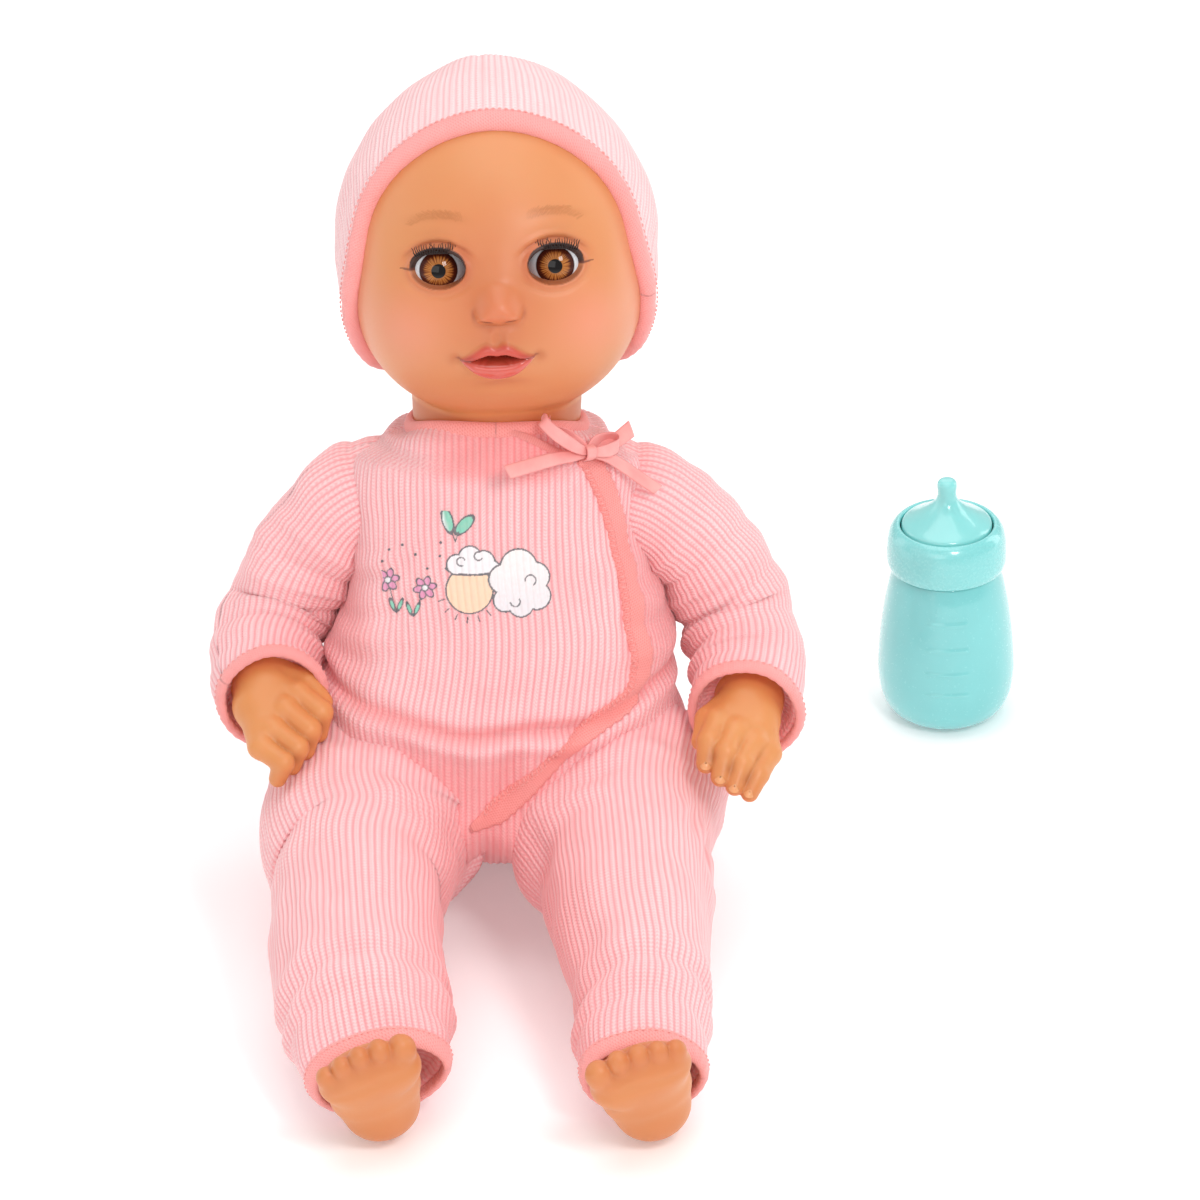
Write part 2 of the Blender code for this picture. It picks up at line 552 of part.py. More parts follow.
for _s, _side in ((1, "left"), (-1, "right")):
    _c = eye_centre(_s)
    _em = frame_matrix(_c, R_AX, F_AX * -1.0, H_AX)
    _ee = empty("eye_axis_" + _side, _em)
    _sc = to_object("cut_eye_ball_" + _side, lathe_bm([((EYE_R + EYE_CLEAR) * math.sin(math.pi * k / 12), -(EYE_R + EYE_CLEAR) * math.cos(math.pi * k / 12)) for k in range(13)], 20, "X"), "vinyl", True, _ee)
    boolean(head, _sc)
    _ob = bmesh.new()
    _r0 = [_ob.verts.new(Vector((9.2 * math.cos(2 * math.pi * i / 24), -30.0, 0.2 + 6.8 * math.sin(2 * math.pi * i / 24))) * MM) for i in range(24)]
    _r1 = [_ob.verts.new(Vector((9.2 * math.cos(2 * math.pi * i / 24), 0.0, 0.2 + 6.8 * math.sin(2 * math.pi * i / 24))) * MM) for i in range(24)]
    bridge(_ob, _r0, _r1)
    _ob.faces.new(_r0)
    _ob.faces.new(_r1)
    _oc = to_object("cut_eye_opening_" + _side, _ob, "vinyl", True, _ee)
    boolean(head, _oc)

    # eyeball about its hinge axis (local X); the lid fills a step in the ball
    def _ball(al, be, r):
        # al: degrees from the front towards the top; be: degrees from +X
        a, b = math.radians(al), math.radians(be)
        return Vector((r * math.cos(b), -r * math.sin(b) * math.cos(a), r * math.sin(b) * math.sin(a)))

    _bm = bmesh.new()
    _als = [-150, -130, -110, -90, -70, -50, -34, -17, 0, 17, 33, 33.5, 48, 62, 76, 90, 104, 104.5, 120, 140, 160, 180, 197]
    _bes = [18, 30, 48, 66, 90, 114, 132, 150, 162]
    _px, _mx = _bm.verts.new(_ball(0, 0, EYE_R) * MM), _bm.verts.new(_ball(0, 180, EYE_R) * MM)
    _cols = []
    for _al in _als:
        _cols.append([_bm.verts.new(_ball(_al, _be, EYE_R - (1.5 if (33.2 < _al < 104.2 and 20 < _be < 160) else 0.0)) * MM) for _be in _bes])
    _m = len(_cols)
    for _i in range(_m):
        _a, _b = _cols[_i], _cols[(_i + 1) % _m]
        _bm.faces.new((_px, _a[0], _b[0]))
        _bm.faces.new((_mx, _b[-1], _a[-1]))
        for _j in range(len(_bes) - 1):
            _bm.faces.new((_a[_j], _a[_j + 1], _b[_j + 1], _b[_j]))
    _ball_ob = to_object("eyeball_" + _side, _bm, "eye", True, _ee)
    # pocket for the weight, towards the lower back
    _wa = math.radians(40)
    _wd = Vector((0, math.sin(_wa), -math.cos(_wa)))
    _wx = Vector((1, 0, 0))
    _wm = _em @ frame_matrix(Vector((0, 0, 0)), _wx, _wd.cross(_wx), _wd)
    _we = empty("weight_axis_" + _side, _wm)
    _wc = to_object("cut_eye_weight_" + _side, lathe_bm([(5.6, 2.0), (5.6, 16.0)], 18, "Z"), "steel", True, _we)
    boolean(_ball_ob, _wc)
    to_object("eye_weight_" + _side, lathe_bm([(5.2, 2.4), (5.2, 9.6), (4.4, 10.6)], 18, "Z"), "steel", True, _we)

    # upper lid: a curved plate set in the step
    _lb = bmesh.new()
    _la = [34.6, 48, 62, 76, 90, 103.2]
    _lbe = [31.5, 48, 66, 90, 114, 132, 148.5]
    _top = [[_lb.verts.new(_ball(a, b, EYE_R) * MM) for b in _lbe] for a in _la]
    _bot = [[_lb.verts.new(_ball(a, b, EYE_R - 1.1) * MM) for b in _lbe] for a in _la]
    _na, _nb = len(_la), len(_lbe)
    for _g, _flip in ((_top, False), (_bot, True)):
        for _i in range(_na - 1):
            for _j in range(_nb - 1):
                _lb.faces.new((_g[_i][_j], _g[_i][_j + 1], _g[_i + 1][_j + 1], _g[_i + 1][_j]))
    for _i in range(_na - 1):
        _lb.faces.new((_top[_i][0], _top[_i + 1][0], _bot[_i + 1][0], _bot[_i][0]))
        _lb.faces.new((_top[_i][-1], _top[_i + 1][-1], _bot[_i + 1][-1], _bot[_i][-1]))
    for _j in range(_nb - 1):
        _lb.faces.new((_top[0][_j], _top[0][_j + 1], _bot[0][_j + 1], _bot[0][_j]))
        _lb.faces.new((_top[-1][_j], _top[-1][_j + 1], _bot[-1][_j + 1], _bot[-1][_j]))
    to_object("upper_lid_" + _side, _lb, "lid", True, _ee)

    # housing cup behind the ball
    _hb = bmesh.new()
    _ha = [75, 100, 125, 150, 175, 200, 225, 250, 275, 285]
    _hbe = [40, 60, 80, 100, 120, 140]
    _top = [[_hb.verts.new(_ball(a, b, 14.4) * MM) for b in _hbe] for a in _ha]
    _bot = [[_hb.verts.new(_ball(a, b, 13.0) * MM) for b in _hbe] for a in _ha]
    _na, _nb = len(_ha), len(_hbe)
    for _g in (_top, _bot):
        for _i in range(_na - 1):
            for _j in range(_nb - 1):
                _hb.faces.new((_g[_i][_j], _g[_i][_j + 1], _g[_i + 1][_j + 1], _g[_i + 1][_j]))
    for _i in range(_na - 1):
        _hb.faces.new((_top[_i][0], _top[_i + 1][0], _bot[_i + 1][0], _bot[_i][0]))
        _hb.faces.new((_top[_i][-1], _top[_i + 1][-1], _bot[_i + 1][-1], _bot[_i][-1]))
    for _j in range(_nb - 1):
        _hb.faces.new((_top[0][_j], _top[0][_j + 1], _bot[0][_j + 1], _bot[0][_j]))
        _hb.faces.new((_top[-1][_j], _top[-1][_j + 1], _bot[-1][_j + 1], _bot[-1][_j]))
    to_object("eye_housing_" + _side, _hb, "white_plastic", True, _ee)

# reed sensor behind the lips
_ms = frame_matrix(HEAD_C + F_AX * 41.0 + H_AX * -37.0, R_AX, F_AX * -1.0, H_AX)
to_object("mouth_sensor", box_bm(0, 0, 0, 14.0, 5.0, 7.0), "dark_plastic", False, empty("sensor_axis", _ms))


# ---------------------------------------------------------------- cap
CAP_POLE = Vector((0.0, -0.74, 0.67)).normalized()
CAP_U = Vector((1.0, 0.0, 0.0))
CAP_V = CAP_POLE.cross(CAP_U)


def cap_dir(theta, psi):
    return CAP_POLE * math.cos(theta) + (CAP_U * math.cos(psi) + CAP_V * math.sin(psi)) * math.sin(theta)


def cap_edge(psi):
    lo, hi = math.radians(40), math.radians(150)
    for _ in range(30):
        mid = (lo + hi) / 2
        d = cap_dir(mid, psi)
        r = head_radius(d)
        g1 = d.y * r - (24.0 + 0.373 * d.z * r)
        g2 = -(d.z * r + 38.0 + (10.0 - d.y * r) * 0.22)
        k = 8.0
        g = math.log(math.exp(g1 / k) + math.exp(g2 / k)) * k
        if g > 0:
            hi = mid
        else:
            lo = mid
    return (lo + hi) / 2


NC = 26


def cap_rings(out, f0, f1, steps, edge_deg):
    """Rings from fraction f0 to f1 of the way to the edge less edge_deg."""
    rows = []
    for k in range(steps + 1):
        f = f0 + (f1 - f0) * k / steps
        row = []
        for i in range(NC):
            psi = 2 * math.pi * i / NC
            row.append(head_point(cap_dir((cap_edge(psi) - math.radians(edge_deg)) * f, psi), out))
        rows.append(row)
    return rows


_o = cap_rings(CAP_GAP + CAP_THICK, 0.14, 1.0, 8, 6.4)
_i = cap_rings(CAP_GAP, 0.14, 1.0, 7, 6.4)
to_object("cap_crown", shell_loft(_o, _i, open_start=False, open_end=True,
          poles={"o0": head_point(CAP_POLE, CAP_GAP + CAP_THICK), "i0": head_point(CAP_POLE, CAP_GAP)}), "knit")


def edge_ring(out, deg):
    return [head_point(cap_dir(cap_edge(2 * math.pi * i / NC) - math.radians(deg), 2 * math.pi * i / NC), out) for i in range(NC)]


to_object("cap_binding", shell_loft([edge_ring(CAP_GAP + CAP_THICK + 0.3, 6.0), edge_ring(CAP_GAP + CAP_THICK + 0.9, 3.0), edge_ring(CAP_GAP + CAP_THICK + 0.2, 0.0)],
          [edge_ring(CAP_GAP, 6.0), edge_ring(CAP_GAP, 3.0), edge_ring(CAP_GAP, 0.0)]), "binding")


# ---------------------------------------------------------------- arms
def lerp_ring(a, b, t):
    return [p + (q - p) * t for p, q in zip(a, b)]


def shoulder_rows(side, steps=(0.0, 20.0, 40.0, 58.0)):
    """Rings that fan about the armpit: (centre, normal, radius)."""
    out = []
    for a in steps:
        t = math.radians(a)
        r = 19.5
        out.append((Vector((side * (51.3 + r * math.sin(t)), 42.0, 129.6 + r * math.cos(t))), Vector((side * math.cos(t), 0, -math.sin(t))), r))
    return out


ARM = {
    "right": [(-68.2, 42.0, 139.6, 19.5), (-74.8, 41.5, 127.0, 20.2), (-80.5, 40.0, 114.0, 21.0), (-85.0, 36.5, 102.0, 21.6), (-87.0, 28.0, 93.0, 21.6),
              (-86.0, 17.0, 89.5, 20.4), (-83.0, 5.0, 88.6, 19.2), (-80.0, -6.0, 88.6, 18.2)],
    "left": [(68.2, 42.0, 139.6, 19.5), (75.5, 41.5, 127.0, 20.2), (82.5, 40.0, 114.0, 21.0), (88.5, 36.5, 101.0, 21.8), (92.0, 28.0, 91.5, 21.8),
             (92.5, 16.5, 86.0, 21.0), (91.0, 4.5, 84.0, 20.2), (89.0, -7.0, 83.0, 19.6)],
}
HAND = {
    "right": [(-80.5, -1.5, 87.4, 12.4, 11.6), (-79.0, -10.0, 88.4, 14.0, 11.6), (-76.5, -18.5, 88.4, 16.4, 11.4), (-73.5, -26.5, 86.2, 16.2, 10.6), (-70.5, -32.5, 83.0, 14.0, 9.4), (-68.4, -36.0, 80.4, 9.6, 6.6)],
    "left": [(89.4, -2.5, 83.8, 12.4, 11.6), (88.8, -12.0, 84.0, 14.2, 11.6), (88.0, -22.0, 83.2, 17.0, 11.4), (86.8, -32.0, 80.6, 16.6, 10.6), (85.2, -40.0, 76.6, 14.4, 9.4), (84.2, -44.4, 73.4, 9.8, 6.6)],
}
HAND_TIP = {"right": (-67.2, -38.4, 78.6), "left": (83.6, -47.4, 70.8)}


def arm_rings(side_name, shrink, first=0, last=None, n=14):
    side = 1 if side_name == "left" else -1
    rings = []
    for c, nrm, r in shoulder_rows(side)[:-1]:
        v = Vector((0, 1, 0))
        u = v.cross(nrm)
        off = nrm * (shrink if not rings else 0.0)
        rings.append(ring(c + off, u, v, r - shrink, r - shrink, n))
    rows = ARM[side_name]
    for k, row in enumerate(rows):
        a = Vector(rows[max(k - 1, 0)][:3])
        b = Vector(rows[min(k + 1, len(rows) - 1)][:3])
        d = (b - a).normalized()
        side_v = Vector((side, 0, 0)) - d * (d.x * side)
        side_v.normalize()
        rings.append(ring(Vector(row[:3]), side_v, side_v.cross(d), row[3] - shrink, row[3] - shrink, n))
    rings = align(rings)
    return rings[first:last]


for _side in ("right", "left"):
    _full = arm_rings(_side, 0.0)
    _s0 = 0.45
    _inn = arm_rings(_side, KNIT)
    to_object("sleeve_" + _side, shell_loft(_full[:-1] + [lerp_ring(_full[-2], _full[-1], _s0 - 0.05)], _inn[:-1] + [lerp_ring(_inn[-2], _inn[-1], _s0 - 0.05)]), "knit")
    # cuff binding carries the sleeve on for its last few millimetres
    _c0, _c1 = arm_rings(_side, -0.6)[-2], arm_rings(_side, -0.8)[-1]
    _i0, _i1 = arm_rings(_side, KNIT)[-2], arm_rings(_side, KNIT)[-1]
    to_object("cuff_binding_" + _side, shell_loft([lerp_ring(_c0, _c1, _s0), _c1], [lerp_ring(_i0, _i1, _s0), _i1]), "binding")
    # stuffed upper arm
    to_object("cloth_upper_arm_" + _side, solid_loft(arm_rings(_side, KNIT + 2 * CLOTH_GAP, 0, 8)), "cloth")
    # vinyl forearm and hand
    _fo = arm_rings(_side, 6.0)[8:10]
    _d0 = (Vector(ARM[_side][5][:3]) - Vector(ARM[_side][4][:3])).normalized()
    _rows = [(*ARM[_side][5][:3], 15.2, 15.2), (*ARM[_side][6][:3], 14.0, 13.4)] + HAND[_side]
    _rows[0] = (*[a + b * 0.45 for a, b in zip(ARM[_side][5][:3], (_d0.x, _d0.y, _d0.z))], 15.2, 15.2)
    _or = limb_rings(_rows, n=14)
    _ir = limb_rings([(r[0], r[1], r[2], r[3] - 3.2, r[4] - 3.2) for r in _rows[:5]], n=14)
    to_object("forearm_hand_" + _side, shell_loft(_or, _ir, open_start=True, open_end=False, poles={"o1": HAND_TIP[_side]}), "vinyl")

# ---------------------------------------------------------------- legs
LEG = {
    "right": [(-48.0, 0.0, 43.0, 34.4, 35.6), (-49.2, -30.0, 41.0, 34.6, 34.6), (-49.0, -60.0, 38.0, 33.0, 33.2), (-46.5, -90.0, 34.6, 31.2, 30.8),
              (-43.5, -118.0, 31.2, 28.6, 27.6), (-42.0, -140.0, 28.8, 25.2, 25.0), (-41.5, -155.0, 27.4, 23.6, 23.6)],
    "left": [(48.0, 0.0, 43.0, 34.4, 35.6), (48.6, -30.0, 41.0, 34.4, 34.6), (49.4, -60.0, 38.0, 32.6, 33.2), (51.0, -90.0, 34.6, 30.0, 30.8),
             (52.4, -118.0, 31.2, 26.8, 27.6), (52.2, -140.0, 28.8, 24.4, 25.0), (51.0, -155.0, 27.4, 23.2, 23.6)],
}


def leg_rings(side_name, shrink, upto=None, n=16):
    rows = LEG[side_name]
    d0 = (Vector(rows[1][:3]) - Vector(rows[0][:3])).normalized()
    rr = []
    c0 = Vector(rows[0][:3])
    for a in (72, 50, 28):
        t = math.radians(a)
        rr.append((*(c0 - d0 * ((34.4 - shrink) * math.sin(t))), (34.4 - shrink) * math.cos(t) + shrink, (34.8 - shrink) * math.cos(t) + shrink))
    rr += rows
    rings = []
    for k, row in enumerate(rr):
        if k <= 3:
            d = d0
        else:
            a = Vector(rr[k - 1][:3])
            b = Vector(rr[min(k + 1, len(rr) - 1)][:3])
            d = (b - a).normalized()
        u = Vector((1, 0, 0)) - d * d.x
        u.normalize()
        rings.append(ring(Vector(row[:3]), u, u.cross(d), row[3] - shrink, row[4] - shrink, n))
    return rings if upto is None else rings[:upto]


def leg_pole(side_name, shrink):
    """Rear end of the leg's rounded hip."""
    rows = LEG[side_name]
    d0 = (Vector(rows[1][:3]) - Vector(rows[0][:3])).normalized()
    return Vector(rows[0][:3]) - d0 * (34.4 - shrink)


T_AX = Vector((0.0, -math.cos(math.radians(57)), math.sin(math.radians(57))))
FOOT = [(-11.0, 8.6, 9.2), (-5.0, 12.6, 13.0), (1.0, 14.2, 14.3), (12.0, 15.6, 14.0), (23.0, 18.0, 12.4), (33.0, 19.4, 10.4), (40.0, 18.2, 8.0), (44.0, 12.0, 5.0)]
HEEL = {"right": Vector((-43.0, -165.5, 14.4)), "left": Vector((49.0, -165.5, 14.4))}
TOE_OUT = {"right": -0.06, "left": 0.06}

for _side in ("right", "left"):
    _s0 = 0.55
    _full, _inn = leg_rings(_side, 0.0), leg_rings(_side, KNIT)
    to_object("trouser_leg_" + _side, shell_loft(_full[:-1] + [lerp_ring(_full[-2], _full[-1], _s0 - 0.04)], _inn[:-1] + [lerp_ring(_inn[-2], _inn[-1], _s0 - 0.04)], open_start=False, open_end=True,
              poles={"o0": leg_pole(_side, 0.0), "i0": leg_pole(_side, KNIT)}), "knit")
    _a0, _a1 = leg_rings(_side, -0.5)[-2], leg_rings(_side, -0.7)[-1]
    _b0, _b1 = _inn[-2], _inn[-1]
    to_object("hem_binding_" + _side, shell_loft([lerp_ring(_a0, _a1, _s0), _a1], [lerp_ring(_b0, _b1, _s0), _b1]), "binding")
    # stuffed thigh down to the knee
    to_object("cloth_thigh_" + _side, solid_loft(leg_rings(_side, KNIT + CLOTH_GAP, 7), pole0=leg_pole(_side, KNIT + CLOTH_GAP)), "cloth")
    # vinyl lower leg, hollow and open at the knee
    _rows = [(r[0], r[1], r[2], s, s) for r, s in zip(LEG[_side][3:], (24.5, 21.5, 18.0, 15.6))]
    _k = Vector(LEG[_side][4][:3]) - Vector(LEG[_side][3][:3])
    _k.normalize()
    _rows[0] = (*(Vector(_rows[0][:3]) + _k * 1.0), 24.5, 24.5)
    _h = HEEL[_side]
    _rows.append((_h.x, _h.y + 2.0, 24.0, 13.0, 13.0))
    _or = limb_rings(_rows, n=14)
    _leg = to_object("lower_leg_" + _side, solid_loft(_or), "vinyl")
    _t = (T_AX + Vector((TOE_OUT[_side], 0, 0))).normalized()
    _u = Vector((1, 0, 0)) - _t * _t.x
    _u.normalize()
    _fr = [ring(_h + _t * s, _u, _u.cross(_t), a, b, 14, 2.2) for s, a, b in FOOT]
    _foot = to_object("cut_foot_" + _side, solid_loft(_fr, pole0=_h - _t * 14.0, pole1=_h + _t * 45.4), "vinyl")
    boolean(_leg, _foot, "UNION")
    _top = (*(Vector(_rows[0][:3]) - _k * 3.0), 21.5, 21.5)
    _ir = limb_rings([_top] + [(r[0], r[1], r[2], r[3] - 3.0, r[4] - 3.0) for r in _rows[1:3]], n=14)
    _hollow = to_object("cut_leg_hollow_" + _side, solid_loft(_ir), "vinyl")
    boolean(_leg, _hollow)

# ---------------------------------------------------------------- bottle
bx, by = BOTTLE_AT
_body = [(12.0, 0.0), (17.0, 1.3), (21.0, 4.6), (23.4, 10.0), (24.4, 17.0), (24.5, 22.0), (23.9, 32.0), (22.6, 43.0), (20.8, 53.0), (19.0, 59.2), (16.4, 59.6), (16.4, 70.0),
         (14.0, 70.0), (14.0, 58.5), (17.0, 56.0), (20.4, 44.0), (22.0, 32.0), (22.5, 20.0), (21.0, 9.0), (16.0, 3.4), (0.0, 2.6)]
_bb = lathe_bm([(0.0, 0.0)] + _body, 20, "Z", (bx, by, 0))
to_object("bottle_body", _bb, "bottle")
_cb = ring_lathe_bm([(16.9, 60.0), (20.4, 60.0), (21.5, 62.0), (21.5, 74.6), (20.2, 77.0), (13.4, 77.6), (13.4, 75.4), (16.9, 75.4)], 20)
bmesh.ops.translate(_cb, vec=(bx * MM, by * MM, 0), verts=_cb.verts)
to_object("bottle_collar", _cb, "bottle")
_tb = lathe_bm([(11.2, 70.4), (16.2, 70.4), (16.2, 73.4), (12.9, 73.8), (12.9, 78.0), (9.0, 81.8), (5.2, 85.4), (3.8, 88.0), (3.6, 91.0), (3.5, 93.4), (2.6, 94.7), (0.0, 95.0)], 16, "Z", (bx, by, 0))
_teat = to_object("bottle_teat", _tb, "bottle")
_tc = to_object("cut_teat", lathe_bm([(10.6, 69.0), (10.6, 77.0), (2.6, 84.6), (1.9, 90.0)], 16, "Z", (bx, by, 0)), "bottle")
boolean(_teat, _tc)
to_object("bottle_magnet", lathe_bm([(1.6, 85.5), (1.6, 89.6)], 12, "Z", (bx, by, 0)), "steel")
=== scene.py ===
import json
import math

import bpy
import numpy as np
from mathutils import Matrix, Vector

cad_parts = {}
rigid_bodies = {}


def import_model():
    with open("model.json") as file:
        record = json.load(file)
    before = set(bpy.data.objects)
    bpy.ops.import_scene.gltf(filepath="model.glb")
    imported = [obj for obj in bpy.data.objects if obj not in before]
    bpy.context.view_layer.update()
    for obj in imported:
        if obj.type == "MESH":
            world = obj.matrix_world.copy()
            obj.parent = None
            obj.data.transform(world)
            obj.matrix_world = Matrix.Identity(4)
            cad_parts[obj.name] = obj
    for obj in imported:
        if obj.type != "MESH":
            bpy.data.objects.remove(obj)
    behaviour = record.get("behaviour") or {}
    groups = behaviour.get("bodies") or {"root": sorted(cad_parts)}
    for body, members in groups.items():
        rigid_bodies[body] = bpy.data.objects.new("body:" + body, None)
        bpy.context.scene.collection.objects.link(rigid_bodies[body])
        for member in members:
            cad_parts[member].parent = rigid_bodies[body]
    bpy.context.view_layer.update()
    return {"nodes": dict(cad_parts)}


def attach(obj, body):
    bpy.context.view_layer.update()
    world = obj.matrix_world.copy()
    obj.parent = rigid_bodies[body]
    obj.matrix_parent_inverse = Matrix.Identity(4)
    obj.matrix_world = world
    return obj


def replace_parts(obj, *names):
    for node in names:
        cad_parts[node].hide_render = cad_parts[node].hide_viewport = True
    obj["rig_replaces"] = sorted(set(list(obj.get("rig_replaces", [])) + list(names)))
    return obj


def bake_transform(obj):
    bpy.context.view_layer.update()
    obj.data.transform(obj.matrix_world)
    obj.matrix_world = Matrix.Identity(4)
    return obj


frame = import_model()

MM = 0.001
NODES = frame["nodes"]


# =============================================================== small tools
def srgb(r, g, b):
    out = []
    for c in (r, g, b):
        c /= 255.0
        out.append(c / 12.92 if c <= 0.04045 else ((c + 0.055) / 1.055) ** 2.4)
    return (*out, 1.0)


def lin(r, g, b):
    return np.array(srgb(r, g, b)[:3])


def unit(v):
    v = np.asarray(v, float)
    return v / np.linalg.norm(v)


def smooth(a, b, x):
    t = np.clip((x - a) / (b - a), 0, 1)
    return t * t * (3 - 2 * t)


def gauss(x, c, w):
    return np.exp(-(((x - c) / w) ** 2))


SKIN_GAIN = np.array([0.86, 0.79, 0.66], np.float32)


def mesh_object(name, verts, quads=None, tris=None, mat=None, floats=None, colours=None, smooth_shade=True, orient=True):
    V = np.asarray(verts, float).reshape(-1, 3)
    Q = np.zeros((0, 4), int) if quads is None else np.asarray(quads, int).reshape(-1, 4)
    T = np.zeros((0, 3), int) if tris is None else np.asarray(tris, int).reshape(-1, 3)
    if orient:
        c = V.mean(0)
        vol = 0.0
        for F in ((Q[:, [0, 1, 2]], Q[:, [0, 2, 3]]) if len(Q) else ()):
            a, b, d = V[F[:, 0]] - c, V[F[:, 1]] - c, V[F[:, 2]] - c
            vol += (a * np.cross(b, d)).sum()
        if len(T):
            a, b, d = V[T[:, 0]] - c, V[T[:, 1]] - c, V[T[:, 2]] - c
            vol += (a * np.cross(b, d)).sum()
        if vol < 0:
            Q, T = Q[:, ::-1], T[:, ::-1]
    me = bpy.data.meshes.new(name)
    me.vertices.add(len(V))
    me.vertices.foreach_set("co", (V * MM).astype(np.float32).ravel())
    me.loops.add(len(Q) * 4 + len(T) * 3)
    me.loops.foreach_set("vertex_index", np.concatenate([Q.ravel(), T.ravel()]).astype(np.int32))
    me.polygons.add(len(Q) + len(T))
    me.polygons.foreach_set("loop_start", np.concatenate([np.arange(len(Q)) * 4, len(Q) * 4 + np.arange(len(T)) * 3]).astype(np.int32))
    me.update(calc_edges=True)
    if smooth_shade:
        me.shade_smooth()
    for k, v in (floats or {}).items():
        me.attributes.new(k, "FLOAT", "POINT").data.foreach_set("value", np.asarray(v, np.float32).ravel())
    for k, v in (colours or {}).items():
        v = np.asarray(v, np.float32).reshape(-1, 3)
        if k == "tint" and mat is M_SKIN:
            v = v * SKIN_GAIN
        full = np.concatenate([v, np.ones((len(v), 1), np.float32)], 1)
        me.attributes.new(k, "FLOAT_COLOR", "POINT").data.foreach_set("color", full.ravel())
    ob = bpy.data.objects.new(name, me)
    bpy.context.scene.collection.objects.link(ob)
    if mat is not None:
        me.materials.append(mat)
    return ob


def grid_quads(nv, nu, closed=True):
    i = np.arange(nv - 1)[:, None]
    j = np.arange(nu if closed else nu - 1)[None, :]
    a, b = i * nu + j, i * nu + (j + 1) % nu
    return np.stack([a, b, b + nu, a + nu], -1).reshape(-1, 4)


def fan(ring_start, nu, pole, closed=True):
    j = np.arange(nu if closed else nu - 1)
    return np.stack([ring_start + j, ring_start + (j + 1) % nu, np.full_like(j, pole)], -1)


def tube_object(name, P, mat, cap0=None, cap1=None, floats=None, colours=None):
    """Closed-round grid of rings P (nv, nu, 3); cap0 and cap1 are pole points or None."""
    nv, nu = P.shape[:2]
    V = P.reshape(-1, 3)
    T = []
    extra = []
    fl = {k: np.asarray(v).reshape(-1) for k, v in (floats or {}).items()}
    co = {k: np.asarray(v).reshape(-1, 3) for k, v in (colours or {}).items()}
    for cap, start in ((cap0, 0), (cap1, (nv - 1) * nu)):
        if cap is None:
            continue
        T.append(fan(start, nu, len(V) + len(extra)))
        extra.append(np.asarray(cap, float))
        for k in fl:
            fl[k] = np.append(fl[k], fl[k][start:start + nu].mean())
        for k in co:
            co[k] = np.concatenate([co[k], co[k][start:start + nu].mean(0)[None]])
    Q = grid_quads(nv, nu)
    if len(T) == 2:
        T[1] = T[1][:, ::-1]
    elif cap1 is not None:
        T[0] = T[0][:, ::-1]
    if extra:
        V = np.concatenate([V, np.array(extra)])
    tris = np.concatenate(T) if T else None
    if tris is not None:
        tris = tris[:, ::-1]
    return mesh_object(name, V, Q, tris, mat, fl, co)


def grid_normals(P, closed=True):
    du = np.roll(P, -1, 1) - np.roll(P, 1, 1) if closed else np.gradient(P, axis=1)
    dv = np.gradient(P, axis=0)
    n = np.cross(du, dv)
    n /= np.maximum(np.linalg.norm(n, axis=-1, keepdims=True), 1e-9)
    c = P.mean(axis=1, keepdims=True)
    if np.median(((P - c) * n).sum(-1)) < 0:
        n = -n
    return n


def catmull(rows, n=None, ts=None):
    R = np.array(rows, float)
    seg = len(R) - 1
    t = np.linspace(0, seg, n) if ts is None else np.asarray(ts, float)
    i = np.clip(t.astype(int), 0, seg - 1)
    f = (t - i)[:, None]
    X = np.concatenate([[2 * R[0] - R[1]], R, [2 * R[-1] - R[-2]]])
    a, b, c, d = X[i], X[i + 1], X[i + 2], X[i + 3]
    return 0.5 * (2 * b + (c - a) * f + (2 * a - 5 * b + 4 * c - d) * f ** 2 + (3 * b - a - 3 * c + d) * f ** 3)


def even(rows, step, cols=3):
    """Catmull-Rom through rows, resampled so that neighbours are about step apart over their first cols columns."""
    D = catmull(rows, 40 * len(rows))
    s = np.concatenate([[0], np.cumsum(np.linalg.norm(np.diff(D[:, :cols], axis=0), axis=1))])
    n = max(4, int(round(s[-1] / step)) + 1)
    q = np.linspace(0, s[-1], n)
    return np.stack([np.interp(q, s, D[:, k]) for k in range(D.shape[1])], 1), q


def even_ring(ring, n):
    """Resamples a closed ring (m, 3) to n evenly spaced points, starting at its first point. Returns points and the perimeter."""
    R = np.concatenate([ring, ring[:1]])
    s = np.concatenate([[0], np.cumsum(np.linalg.norm(np.diff(R, axis=0), axis=1))])
    q = np.arange(n) / n * s[-1]
    return np.stack([np.interp(q, s, R[:, k]) for k in range(3)], 1), s[-1]


def noise(P, scale, seed):
    """Smooth pseudo-noise from summed sines, about -1 to 1; P in mm."""
    r = np.random.default_rng(seed)
    out = 0.0
    for k in range(7):
        d = r.normal(size=3)
        d /= np.linalg.norm(d)
        f = (0.6 + 0.9 * r.random()) * 2 * np.pi / scale
        out = out + np.sin((P @ d) * f + r.random() * 6.28)
    return out / 3.2


PITCH = 2.45
RIB_H = 0.46


def rib(s, pitch=PITCH):
    c = 0.5 + 0.5 * np.cos(2 * np.pi * s / pitch)
    return 1 - (1 - c) ** 1.8


def finish_piece(ob, body=None, replaces=(), parent=None):
    if body:
        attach(ob, body)
    if replaces:
        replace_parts(ob, *replaces)
    return ob


# =============================================================== materials
def base_material(name, colour, rough, metallic=0.0):
    m = bpy.data.materials.new(name)
    m.use_nodes = True
    b = m.node_tree.nodes["Principled BSDF"]
    b.inputs["Base Color"].default_value = colour
    b.inputs["Roughness"].default_value = rough
    b.inputs["Metallic"].default_value = metallic
    m.diffuse_color = colour
    return m, m.node_tree, b


